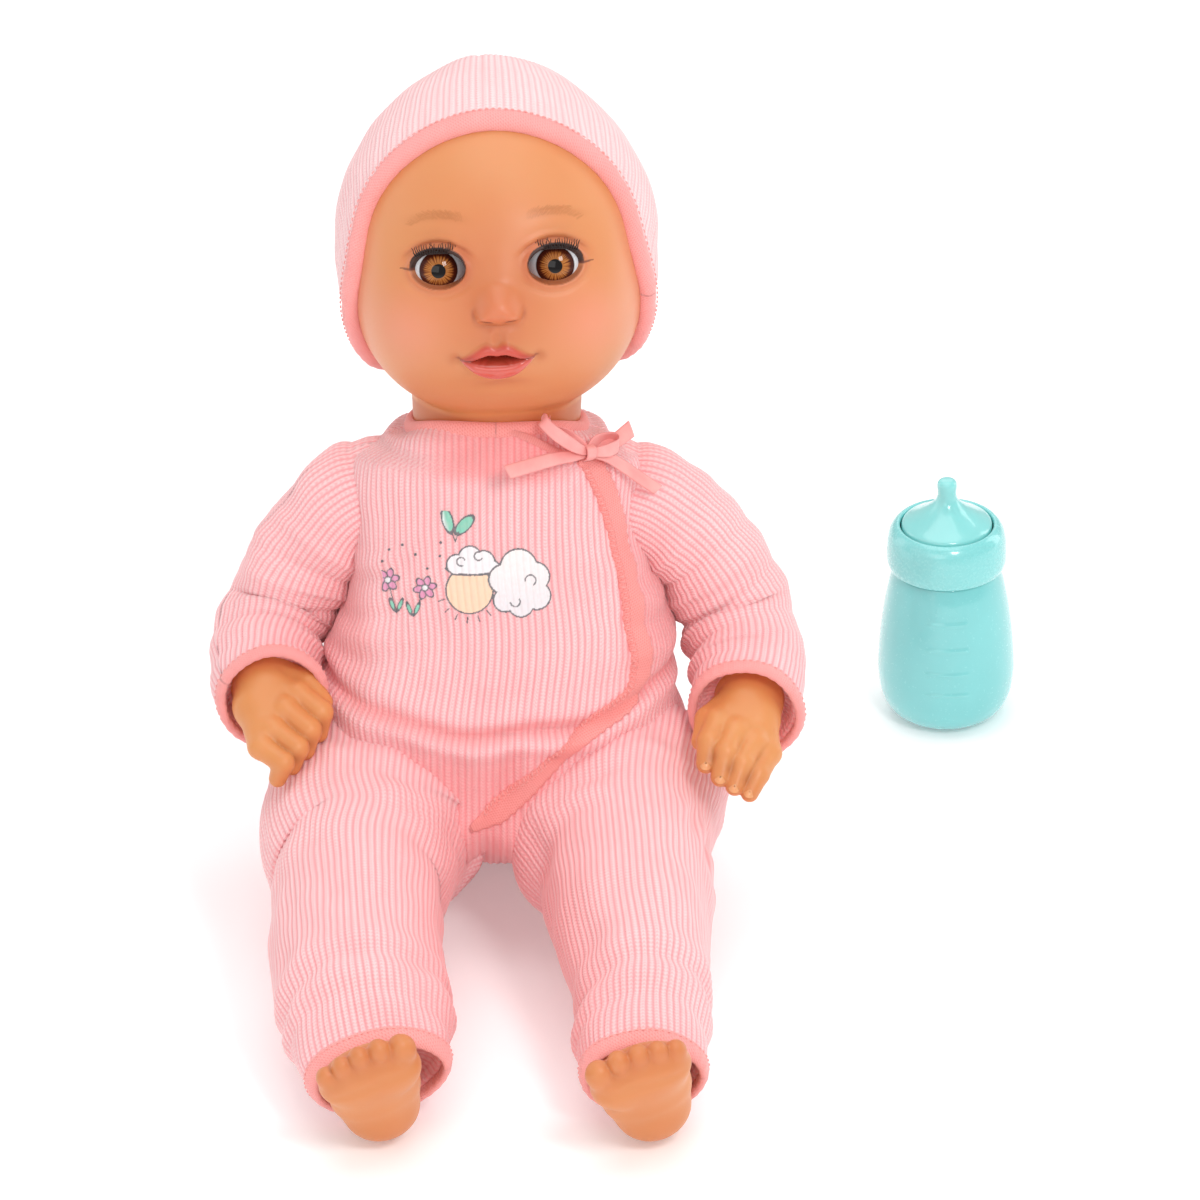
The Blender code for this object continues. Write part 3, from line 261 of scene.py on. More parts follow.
def node(nt, kind, **kw):
    n = nt.nodes.new(kind)
    for k, v in kw.items():
        setattr(n, k, v)
    return n


def math_node(nt, op, a, b=None, clamp=False):
    n = nt.nodes.new("ShaderNodeMath")
    n.operation = op
    n.use_clamp = clamp
    for i, v in enumerate((a, b)):
        if v is None:
            continue
        if hasattr(v, "node"):
            nt.links.new(v, n.inputs[i])
        else:
            n.inputs[i].default_value = v
    return n.outputs[0]


def mix_colour(nt, fac, a, b, blend="MIX"):
    n = nt.nodes.new("ShaderNodeMix")
    n.data_type = "RGBA"
    n.blend_type = blend
    for sock, v in ((n.inputs[0], fac), (n.inputs[6], a), (n.inputs[7], b)):
        if hasattr(v, "node"):
            nt.links.new(v, sock)
        else:
            sock.default_value = v
    return n.outputs[2]


def attr(nt, name, out="Fac"):
    n = nt.nodes.new("ShaderNodeAttribute")
    n.attribute_name = name
    return n.outputs[out]


def noise_node(nt, scale, detail=3.0, rough=0.55):
    co = nt.nodes.new("ShaderNodeTexCoord").outputs["Object"]
    n = nt.nodes.new("ShaderNodeTexNoise")
    n.inputs["Scale"].default_value = scale
    n.inputs["Detail"].default_value = detail
    n.inputs["Roughness"].default_value = rough
    nt.links.new(co, n.inputs["Vector"])
    return n.outputs["Fac"]


def bump_node(nt, height, distance, strength=1.0, normal=None):
    n = nt.nodes.new("ShaderNodeBump")
    n.inputs["Distance"].default_value = distance
    n.inputs["Strength"].default_value = strength
    nt.links.new(height, n.inputs["Height"])
    if normal is not None:
        nt.links.new(normal, n.inputs["Normal"])
    return n.outputs["Normal"]


def map_range(nt, v, a, b, c, d):
    n = nt.nodes.new("ShaderNodeMapRange")
    nt.links.new(v, n.inputs[0])
    for i, x in enumerate((a, b, c, d)):
        n.inputs[i + 1].default_value = x
    return n.outputs[0]


def stitch_height(nt, ru, rv, wale, course):
    """Small V stitches: ru and rv are mm across and along the cloth."""
    f = math_node(nt, "FRACT", math_node(nt, "MULTIPLY", ru, 1.0 / wale))
    v = math_node(nt, "ABSOLUTE", math_node(nt, "SUBTRACT", math_node(nt, "MULTIPLY", f, 2.0), 1.0))
    ph = math_node(nt, "ADD", math_node(nt, "MULTIPLY", rv, 1.0 / course), math_node(nt, "MULTIPLY", v, 0.45))
    s = math_node(nt, "SINE", math_node(nt, "MULTIPLY", ph, 2 * math.pi))
    edge = math_node(nt, "MULTIPLY", v, -0.9)
    return math_node(nt, "ADD", math_node(nt, "MULTIPLY", s, 0.5), edge)


def knit_material(name, top, groove, use_rib=True, wale=1.55, course=1.25, bump=0.16):
    m, nt, b = base_material(name, top, 0.88)
    ru, rv = attr(nt, "ru"), attr(nt, "rv")
    mottled = noise_node(nt, 55.0, 4.0)
    fine = noise_node(nt, 900.0, 2.0)
    t2 = tuple(min(1.0, c * 1.05) for c in top[:3]) + (1.0,)
    t3 = tuple(c * 0.95 for c in top[:3]) + (1.0,)
    col = mix_colour(nt, map_range(nt, mottled, 0.3, 0.7, 0.0, 1.0), t3, t2)
    if use_rib:
        # painted shade: darker in the rib grooves
        col = mix_colour(nt, map_range(nt, attr(nt, "rib"), 0.0, 0.8, 0.0, 1.0), groove, col)
    st = stitch_height(nt, ru, rv, wale, course)
    # painted shade: darker between the stitches
    col = mix_colour(nt, map_range(nt, st, -1.2, -0.3, 0.55, 0.0), col, groove)
    # painted shade: the deep attribute mixes in a deeper pink where the cloth lies in shade
    col = mix_colour(nt, math_node(nt, "MULTIPLY", attr(nt, "deep"), 0.75), col, srgb(243, 132, 130))
    nt.links.new(col, b.inputs["Base Color"])
    nt.links.new(map_range(nt, fine, 0.3, 0.7, 0.8, 0.98), b.inputs["Roughness"])
    n1 = bump_node(nt, st, bump * MM, 0.8)
    n2 = bump_node(nt, fine, 0.12 * MM, 0.5, n1)
    nt.links.new(n2, b.inputs["Normal"])
    b.inputs["Sheen Weight"].default_value = 0.35
    b.inputs["Sheen Roughness"].default_value = 0.5
    b.inputs["Sheen Tint"].default_value = (1.0, 0.88, 0.88, 1.0)
    return m


def skin_material(name, colour=None, rough=0.42):
    base = srgb(232, 160, 112) if colour is None else colour
    m, nt, b = base_material(name, base, rough)
    mott = noise_node(nt, 30.0, 3.0)
    if colour is None:
        col = attr(nt, "tint", "Color")
    else:
        col = base
    warm = mix_colour(nt, 1.0, col, srgb(255, 232, 214), "MULTIPLY") if hasattr(col, "node") else tuple(c * k for c, k in zip(base[:3], (1.0, 0.83, 0.72))) + (1.0,)
    out = mix_colour(nt, map_range(nt, mott, 0.25, 0.75, 0.0, 0.35), col, warm)
    nt.links.new(out, b.inputs["Base Color"])
    fine = noise_node(nt, 1500.0, 2.0)
    r = map_range(nt, fine, 0.2, 0.8, rough - 0.06, rough + 0.06)
    if colour is None:
        gl = attr(nt, "gloss")
        r = math_node(nt, "SUBTRACT", r, math_node(nt, "MULTIPLY", gl, rough - 0.16))
        nt.links.new(math_node(nt, "MULTIPLY", gl, 0.9), b.inputs["Coat Weight"])
        b.inputs["Coat Roughness"].default_value = 0.06
    nt.links.new(r, b.inputs["Roughness"])
    nt.links.new(bump_node(nt, fine, 0.02 * MM, 0.35), b.inputs["Normal"])
    b.inputs["Subsurface Weight"].default_value = 0.22
    b.inputs["Subsurface Radius"].default_value = (1.0, 0.45, 0.25)
    b.inputs["Subsurface Scale"].default_value = 0.004
    return m


def plain_material(name, colour, rough, metallic=0.0, scale=200.0, spread=0.06, bump=0.02, coat=0.0, dark=0.9):
    m, nt, b = base_material(name, colour, rough, metallic)
    n = noise_node(nt, scale, 4.0)
    c2 = tuple(c * dark for c in colour[:3]) + (1.0,)
    nt.links.new(mix_colour(nt, map_range(nt, n, 0.3, 0.7, 0.0, 1.0), colour, c2), b.inputs["Base Color"])
    nt.links.new(map_range(nt, n, 0.3, 0.7, max(0.02, rough - spread), min(1.0, rough + spread)), b.inputs["Roughness"])
    f = noise_node(nt, scale * 6, 2.0)
    nt.links.new(bump_node(nt, f, bump * MM, 0.4), b.inputs["Normal"])
    if coat:
        b.inputs["Coat Weight"].default_value = coat
        b.inputs["Coat Roughness"].default_value = 0.08
    return m


# painted shade: the second colour of each knit is a darker tone laid into the rib grooves and between the stitches
KNIT_TOP, KNIT_GROOVE_SHADE = srgb(254, 206, 207), srgb(246, 162, 166)
M_KNIT = knit_material("romper_knit", KNIT_TOP, KNIT_GROOVE_SHADE)
M_CAP = knit_material("cap_knit", srgb(253, 216, 216), srgb(245, 184, 187))
M_BIND = knit_material("binding_jersey", srgb(249, 158, 152), srgb(226, 112, 108), use_rib=False, wale=0.9, course=0.8, bump=0.10)
M_BIND_LIGHT = knit_material("cap_binding_jersey", srgb(251, 168, 164), srgb(234, 126, 122), use_rib=False, wale=0.9, course=0.8, bump=0.10)
M_THREAD = plain_material("thread", srgb(250, 170, 165), 0.7, scale=2500.0)
M_SKIN = skin_material("doll_vinyl")
M_LID = skin_material("lid_vinyl", srgb(206, 132, 92), 0.4)
M_LASH = plain_material("lash_fibre", srgb(30, 12, 9), 0.5, scale=3000.0)


# =============================================================== head axes
LEAN, TILT, ROLL = math.radians(16.0), math.radians(24.0), math.radians(2.5)
A_AX = np.array([0.0, math.sin(LEAN), math.cos(LEAN)])
B_AX = np.array([0.0, math.cos(LEAN), -math.sin(LEAN)])
X_AX = np.array([1.0, 0.0, 0.0])
NECK = np.array([0.0, 46.0, 177.0])
HEAD_C = np.array([0.0, 60.0, 238.0])
F_AX = np.array([0.0, -math.cos(TILT), math.sin(TILT)])
_H0 = np.array([0.0, math.sin(TILT), math.cos(TILT)])
R_AX = unit(np.array([math.cos(ROLL), 0, 0]) + _H0 * math.sin(ROLL))
H_AX = -np.cross(F_AX, R_AX)
if H_AX[2] < 0:
    H_AX = -H_AX
HEAD_M = np.stack([R_AX, F_AX, H_AX])          # rows: side, front, up


def to_world(p):
    return HEAD_C + np.asarray(p) @ HEAD_M


def ang_bump(D, centre, width, height):
    c = unit(centre)
    return height * np.exp(-((np.linalg.norm(D - c, axis=-1) / width) ** 2))


def head_radius(D):
    """Base skull radius along unit directions D (..., 3) given as side, front, up."""
    x, y, z = D[..., 0], D[..., 1], D[..., 2]
    p = 2.13 - 0.2 * np.tanh(z * 3.0)
    b = np.where(y > 0, 57.0, 60.0)
    r = ((np.abs(x) / 54.0) ** p + (np.abs(y) / b) ** p + (np.abs(z) / 61.5) ** p) ** (-1.0 / p)
    g = 0.0
    for s in (-1, 1):
        g = g + ang_bump(D, (s * 0.48, 0.85, -0.38), 0.30, 1.6)
        g = g + ang_bump(D, (s * 0.36, 0.92, -0.06), 0.17, -2.0)
    g = g + ang_bump(D, (0.0, 0.72, -0.72), 0.24, 2.2)
    g = g + ang_bump(D, (0.0, 1.0, -0.60), 0.22, 1.6)
    return r + np.where(y > 0, g, 0.0)


def cap_radius(D):
    """What the cap is laid over: the skull with the same small bumps as the moulded head."""
    return head_radius(D)


# =============================================================== head skin
EYE_X, EYE_F, EYE_H = 20.6, 39.0, -4.0
OPEN_A, OPEN_B, OPEN_H = 9.3, 6.6, -4.5        # half axes and height of the eye opening


def seg_dist(X, H, a, b):
    ax, ay, bx, by = *a, *b
    dx, dy = bx - ax, by - ay
    t = np.clip(((X - ax) * dx + (H - ay) * dy) / (dx * dx + dy * dy), 0, 1)
    return np.hypot(X - ax - t * dx, H - ay - t * dy), t


def poly(x, pts):
    p = np.array(pts, float)
    return np.interp(x, p[:, 0], p[:, 1])


def soft_poly(x, pts):
    """Smooth curve through points of rising x."""
    p = np.array(pts, float)
    D = catmull(p, 30 * len(p))
    return np.interp(x, D[:, 0], D[:, 1])


MOUTH_X0 = -1.2
LIP_TOP = [(-14.3, -36.3), (-11.5, -35.0), (-8.0, -32.9), (-5.2, -31.3), (-3.3, -30.75), (-1.6, -31.2), (0.0, -31.6), (1.6, -31.2), (3.3, -30.75), (5.2, -31.3), (8.0, -32.9), (11.5, -35.0), (14.3, -36.0)]
LIP_OPEN_TOP = [(-14.3, -36.3), (-11.5, -36.2), (-8.8, -35.9), (-6.0, -34.9), (-3.0, -34.1), (0.0, -34.3), (3.0, -34.1), (6.0, -34.9), (8.8, -35.8), (11.5, -36.0), (14.3, -36.0)]
LIP_OPEN_BOT = [(-14.3, -36.3), (-11.5, -36.4), (-8.8, -36.6), (-6.0, -37.2), (-3.0, -37.7), (0.0, -37.8), (3.0, -37.7), (6.0, -37.2), (8.8, -36.5), (11.5, -36.2), (14.3, -36.0)]
LIP_BOT = [(-14.3, -36.5), (-12.0, -38.2), (-9.0, -40.3), (-6.0, -41.9), (-3.0, -42.8), (0.0, -43.1), (3.0, -42.8), (6.0, -41.9), (9.0, -40.2), (12.0, -38.0), (14.3, -36.2)]


def face_relief(X, F, H):
    """Height to add along the radius, and masks, for points of the face plane."""
    front = smooth(10, 30, F)
    ax = np.abs(X)
    d = np.zeros_like(X)
    m = {}
    # nose: bridge, tip, wings, nostrils
    bridge = 2.2 * np.exp(-(X / (6.6 + 0.10 * (2 - H))) ** 2) * smooth(9.0, -15.0, H) * smooth(-24.0, -17.0, H)
    tip = 6.2 * np.exp(-(((X / 6.3) ** 2 + ((H + 17.3) / 5.9) ** 2) ** 1.5))
    wing = 2.6 * np.exp(-(((ax - 5.7) / 2.8) ** 2 + ((H + 19.8) / 2.9) ** 2) ** 1.1)
    groove = -0.45 * np.exp(-(((ax - 8.9 + 0.05 * (H + 20) ** 2) / 1.2) ** 2)) * np.exp(-((H + 20.2) / 2.6) ** 2)
    under = -1.0 * np.exp(-(X / 6.8) ** 4) * gauss(H, -24.6, 1.5)
    nost_q = ((ax - 3.9 - 0.35 * (H + 21.8)) / 1.75) ** 2 + ((H + 21.9) / 0.95) ** 2
    nost = -2.6 * np.exp(-nost_q ** 1.5)
    d += (bridge + tip + wing + groove + under + nost) * front
    m["nostril"] = np.exp(-nost_q ** 1.2)
    m["nose"] = np.exp(-((X / 9.0) ** 2 + ((H + 18.5) / 6.5) ** 2))
    m["nosefold"] = np.exp(-(((ax - 8.9 + 0.05 * (H + 20.4) ** 2) / 0.9) ** 2)) * np.exp(-((H + 20.4) / 2.4) ** 2) + 0.8 * np.exp(-(X / 6.5) ** 4) * gauss(H, -24.4, 1.0)
    # philtrum
    d += (-0.7 * gauss(X, 0, 1.5) + 0.35 * gauss(ax, 3.0, 1.3)) * smooth(-25.5, -27.5, H) * smooth(-32.5, -30.5, H) * front
    # mouth
    x = (X - MOUTH_X0) / 0.94
    t_top, t_ot, t_ob, t_bot = (soft_poly(x, p) for p in (LIP_TOP, LIP_OPEN_TOP, LIP_OPEN_BOT, LIP_BOT))
    inside = smooth(14.6, 13.6, np.abs(x)) * front
    up = inside * smooth(t_top + 0.5, t_top - 0.6, H) * smooth(t_ot - 0.2, t_ot + 0.2, H)
    lo = inside * smooth(t_ob + 0.2, t_ob - 0.2, H) * smooth(t_bot - 0.8, t_bot + 0.9, H)
    op = inside * smooth(t_ot + 0.15, t_ot - 0.35, H) * smooth(t_ob - 0.35, t_ob + 0.15, H)
    mid_u, half_u = (t_top + t_ot) / 2, np.maximum((t_top - t_ot) / 2, 0.35)
    mid_l, half_l = (t_ob + t_bot) / 2, np.maximum((t_ob - t_bot) / 2, 0.35)
    prof_u = np.clip(1 - np.abs((H - (mid_u - 0.15 * half_u)) / (half_u * 1.5)) ** 2.2, 0, 1)
    prof_l = np.clip(1 - np.abs((H - mid_l) / (half_l * 1.28)) ** 2.4, 0, 1)
    taper = smooth(14.8, 7.0, np.abs(x))
    d += inside * (2.1 * prof_u * (0.35 + 0.65 * taper) + 2.5 * prof_l * (0.2 + 0.8 * taper))
    d += 1.0 * np.exp(-(x / 15.0) ** 4) * gauss(H, -36.5, 9.0) * front
    d += -3.6 * op * smooth(13.0, 6.0, np.abs(x)) - 0.5 * op
    d += -0.9 * np.exp(-(((np.abs(x) - 15.2) / 2.0) ** 2 + ((H + 36.4) / 1.8) ** 2)) * front
    d += -1.0 * np.exp(-(X / 9.0) ** 2) * gauss(H, -46.4, 2.2) * front
    line = np.exp(-((H - (t_ot + t_ob) / 2) / 0.42) ** 2) * smooth(16.6, 14.2, np.abs(x)) * smooth(7.0, 9.5, np.abs(x)) * front
    m.update(up=up, lo=lo, op=op, mline=line)
    # eyes
    for s in (-1, 1):
        ex = s * EYE_X
        u, v = X - ex, H - OPEN_H
        # almond: the corners are drawn out a little
        q = np.sqrt((u / OPEN_A) ** 2 + (v / (OPEN_B * (1 - 0.06 * (u / OPEN_A) ** 2))) ** 2) + 1e-6
        ang = np.arctan2(v, u * s)                        # 0 at the outer corner, pi/2 on top
        top = smooth(-0.25, 0.55, np.sin(ang))
        d += front * (0.9 * np.exp(-((q - 1.13) / 0.13) ** 2) * (0.45 + 0.75 * top))
        d += front * (-0.55 * np.exp(-((q - 1.52) / 0.09) ** 2) * smooth(0.2, 0.75, np.sin(ang)))
        d += front * (0.35 * np.exp(-((q - 1.75) / 0.18) ** 2) * smooth(0.2, 0.8, np.sin(ang)))
        d += front * (-0.35 * np.exp(-((q - 1.45) / 0.12) ** 2) * smooth(-0.1, -0.7, np.sin(ang)))
        m["q%d" % s], m["a%d" % s] = q, ang
        m["v%d" % s], m["u%d" % s] = v, u * s
    # brow ridge and temple
    d += 0.5 * gauss(H, 13.0, 5.0) * np.exp(-((ax - 22) / 11.0) ** 2) * front
    return d, m


def brow_mask(X, H):
    """Painted brows: short slanting strokes."""
    out = np.zeros_like(X)
    r = np.random.default_rng(11)
    for s in (-1, 1):
        n = 34
        for k in range(n):
            t = k / (n - 1)
            x0 = s * (11.5 + 18.0 * t)
            arch = 13.0 + 2.0 * math.sin(math.pi * (0.15 + 0.75 * t)) - 1.8 * max(0, t - 0.75) * 2
            for row in range(2 if t < 0.8 else 1):
                y0 = arch - 1.2 + 1.5 * row + r.normal() * 0.2
                ln = 2.9 * (1 - 0.35 * t) + 0.3 * r.normal()
                th = math.radians(72 - 52 * t + r.normal() * 6)
                x1, y1 = x0 + s * ln * math.cos(th), y0 + ln * math.sin(th) * (1 - 0.4 * row)
                dd, tt = seg_dist(X, H, (x0, y0), (x1, y1))
                w = 0.36 * (1 - 0.6 * tt)
                out = np.maximum(out, np.exp(-(dd / w) ** 2) * (0.75 - 0.3 * t) * min(1.0, 0.45 + 2.2 * t))
        # soft tone underneath
        u = (np.abs(X) - 20.6) / 9.8
        arch = 13.4 + 1.6 * np.sin(np.pi * np.clip(0.5 + 0.42 * u, 0, 1)) - 0.6
        out = np.maximum(out, 0.34 * np.exp(-((H - arch) / 1.5) ** 2) * np.exp(-np.abs(u) ** 4) * (np.sign(X) == s))
    return out


def build_head():
    lon = np.concatenate([np.linspace(-180, -42, 62, endpoint=False), np.linspace(-42, 42, 236, endpoint=False), np.linspace(42, 180, 62, endpoint=False)])
    lat = np.concatenate([np.linspace(-70, -54, 14, endpoint=False), np.linspace(-54, 22, 214, endpoint=False), np.linspace(22, 86, 40)])
    LO, LA = np.meshgrid(np.radians(lon), np.radians(lat))
    D = np.stack([np.sin(LO) * np.cos(LA), np.cos(LO) * np.cos(LA), np.sin(LA)], -1)
    r = head_radius(D)
    P = D * r[..., None]
    X, F, H = P[..., 0], P[..., 1], P[..., 2]
    d, m = face_relief(X, F, H)
    r2 = r + d
    # the opening: the skin turns in over the eyeball and passes behind its front
    inner = np.zeros_like(X)
    for s in (-1, 1):
        q = m["q%d" % s]
        inner = np.maximum(inner, smooth(1.035, 0.93, q) * (F > 20))
    floor_r = r2 - 9.0
    for s in (-1, 1):
        E = np.array([s * EYE_X, EYE_F, EYE_H])
        along = D @ E
        disc = along ** 2 - (E @ E - 11.45 ** 2)
        ball = along + np.sqrt(np.maximum(disc, 0))
        floor_r = np.where((disc > 0) & (X * s > 0), np.maximum(ball, floor_r), floor_r)
    r2 = r2 + (np.minimum(floor_r, r2) - r2) * inner
    P = D * r2[..., None]
    # the jaw runs down into the neck
    neck = NECK + A_AX * 3.0
    low = smooth(-50, -70, np.degrees(LA))
    W = to_world(P)
    # colours
    ax = np.abs(X)
    skin = lin(235, 166, 118)
    warm = lin(221, 138, 96)
    painted_pink_reflection = lin(248, 182, 166)
    cheek = lin(246, 164, 142)
    C = np.broadcast_to(skin, (*X.shape, 3)).copy()

    def lay(C, mask, colour):
        return C + (colour - C) * np.clip(mask, 0, 1)[..., None]

    centre = np.exp(-((X / 30.0) ** 2 + ((H + 12) / 34.0) ** 2)) * (F > 0)
    C = lay(C, 0.85 * centre, lin(217, 131, 90))
    C = lay(C, 0.5 * smooth(-36, -56, H) * (F > 0), lin(216, 132, 84))
    C = lay(C, 0.75 * np.exp(-(((ax - 33) / 13.0) ** 2 + ((H + 25) / 13.0) ** 2)) * (F > 0), cheek)
    # painted reflection: the sides of the head are coloured paler pink, as the pink cap and clothes reflect onto them
    C = lay(C, 0.55 * smooth(38, 50, ax) * (F > -20), painted_pink_reflection)
    C = lay(C, 0.6 * m["nose"], lin(232, 138, 108))
    # painted shade: darker in the creases beside the nose wings and under the nose, and dark in the nostril hollows
    C = lay(C, 0.5 * m["nosefold"], lin(186, 98, 62))
    C = lay(C, 0.95 * m["nostril"], lin(122, 48, 30))
    C = lay(C, 0.45 * np.exp(-((X - MOUTH_X0) / 11.0) ** 2) * gauss(H, -28.8, 3.0), lin(224, 138, 106))
    # painted shade: darker in the dent under the lower lip
    C = lay(C, 0.50 * gauss(H, -45.8, 2.0) * np.exp(-(X / 9.0) ** 2) * (F > 0), lin(206, 112, 76))
    # around the eyes
    gloss = np.zeros_like(X)
    for s in (-1, 1):
        q, a = m["q%d" % s], m["a%d" % s]
        # painted shade: darker over the socket above the lid, in the lid crease and in the inner corner; a darker ring
        # also runs round the rim of the opening
        C = lay(C, 0.55 * np.exp(-((q - 1.35) / 0.35) ** 2) * smooth(-0.2, 0.8, np.sin(a)) * (F > 0), lin(216, 122, 84))
        C = lay(C, 0.45 * np.exp(-((q - 1.15) / 0.16) ** 2) * (F > 0), lin(206, 118, 84))
        C = lay(C, 0.55 * np.exp(-((q - 1.52) / 0.07) ** 2) * smooth(0.25, 0.8, np.sin(a)) * (F > 0), lin(188, 98, 66))
        inner_corner_shade = np.exp(-(((X * s - 11.4) / 2.6) ** 2 + ((H + 3.0) / 6.0) ** 2))
        C = lay(C, 0.62 * inner_corner_shade * (F > 0), lin(196, 104, 68))
        # painted line over the upper edge, thinner below
        wd = 0.05 + 0.17 * smooth(0.0, 0.7, np.sin(a))
        line = smooth(1.0 + wd + 0.03, 1.0 + wd, q) * smooth(0.9, 0.97, q) * smooth(-0.10, 0.12, np.sin(a))
        C = lay(C, 0.97 * line * (F > 0), lin(44, 18, 14))
        low_line = smooth(1.07, 1.035, q) * smooth(0.05, -0.15, np.sin(a))
        C = lay(C, 0.55 * low_line * (F > 0), lin(128, 66, 48))
        # painted shade: the turned-in wall of the opening is coloured dark under the upper rim and a darker skin tone
        # low down
        C = lay(C, 0.9 * smooth(0.99, 0.955, q) * (F > 0) * smooth(-0.2, 0.3, np.sin(a)), lin(70, 32, 24))
        C = lay(C, 0.6 * smooth(0.97, 0.93, q) * (F > 0) * smooth(0.3, -0.2, np.sin(a)), lin(190, 116, 84))
        t0 = (s * (EYE_X + OPEN_A - 0.6), OPEN_H + 0.4)
        t1 = (s * (EYE_X + OPEN_A + 4.2), OPEN_H + 0.9)
        dd, tt = seg_dist(X, H, t0, t1)
        C = lay(C, 0.85 * smooth(0.75 * (1 - 0.75 * tt), 0.25 * (1 - 0.75 * tt), dd) * (F > 0), lin(96, 44, 36))
    C = lay(C, 0.85 * brow_mask(X, H) * (F > 0), lin(178, 110, 62))
    # lips
    up, lo, op = m["up"], m["lo"], m["op"]
    x = X - MOUTH_X0
    # painted shade: darker in the dimples at the mouth corners
    C = lay(C, 0.35 * np.exp(-(((np.abs(x) - 15.4) / 2.2) ** 2 + ((H + 36.4) / 2.0) ** 2)) * (F > 0), lin(176, 84, 52))
    C = lay(C, 0.90 * up, lin(216, 82, 76))
    C = lay(C, 0.90 * lo, lin(224, 86, 82))
    C = lay(C, 0.45 * lo * smooth(-40.0, -43.0, H), lin(196, 74, 60))
    C = lay(C, 0.5 * up * smooth(-33.4, -35.2, H), lin(176, 62, 52))
    C = lay(C, 0.98 * op, lin(150, 36, 30))
    # painted shade: darker inside the mouth just under the upper lip
    C = lay(C, 0.8 * op * smooth(-35.2, -34.4, H), lin(96, 20, 18))
    C = lay(C, 0.75 * op * smooth(-36.4, -37.4, H), lin(178, 62, 44))
    C = lay(C, 0.85 * m["mline"], lin(150, 58, 42))
    gloss = np.clip(0.92 * lo + 0.35 * up + 0.5 * op, 0, 1)

    nv, nu = X.shape
    Wf = W.reshape(-1, 3)
    # neck: carried down inside the collar
    rel = W - NECK
    hh = rel @ A_AX
    perp = rel - hh[..., None] * A_AX
    rho = np.linalg.norm(perp, axis=-1)
    R0 = 30.2
    jj = np.maximum(np.argmax(rho >= R0, axis=0), 1)
    ci = np.arange(nu)
    t = np.clip((R0 - rho[jj - 1, ci]) / np.maximum(rho[jj, ci] - rho[jj - 1, ci], 1e-6), 0, 1)
    hj = hh[jj - 1, ci] + t * (hh[jj, ci] - hh[jj - 1, ci])
    dj = perp[jj - 1, ci] + t[:, None] * (perp[jj, ci] - perp[jj - 1, ci])
    dj /= np.linalg.norm(dj, axis=1, keepdims=True)
    for i in range(int(jj.max())):
        put = NECK + np.outer(hj - 0.4 + 0.4 * np.minimum((i + 1) / jj, 1.0), A_AX) + dj * R0
        W[i] = np.where((i < jj)[:, None], put, W[i])
    n_rows = []
    cols = []
    for t in (0.0, 0.35, 0.65, 0.85, 1.0):
        n_rows.append(NECK + np.outer(-10.0 + (hj - 0.4 + 10.0) * t, A_AX) + dj * (29.4 + (R0 - 29.4) * t))
        cols.append(np.broadcast_to(lin(214, 132, 90), (nu, 3)))
    allP = np.concatenate([np.array(n_rows), W])
    # ease the join of neck and jaw
    top_row = 5 + int(jj.max()) + 3
    for _ in range(8):
        allP[3:top_row] = allP[3:top_row] + 0.5 * ((allP[2:top_row - 1] + allP[4:top_row + 1]) / 2 - allP[3:top_row])
    allC = np.concatenate([np.array(cols), C])
    allG = np.concatenate([np.zeros((5, nu)), gloss])
    ob = tube_object("head_skin", allP, M_SKIN, None, to_world(np.array([0, 0, head_radius(np.array([0.0, 0.0, 1.0]))])), floats={"gloss": allG}, colours={"tint": allC})
    return ob


head = build_head()
finish_piece(head, "head", ["head_shell"])


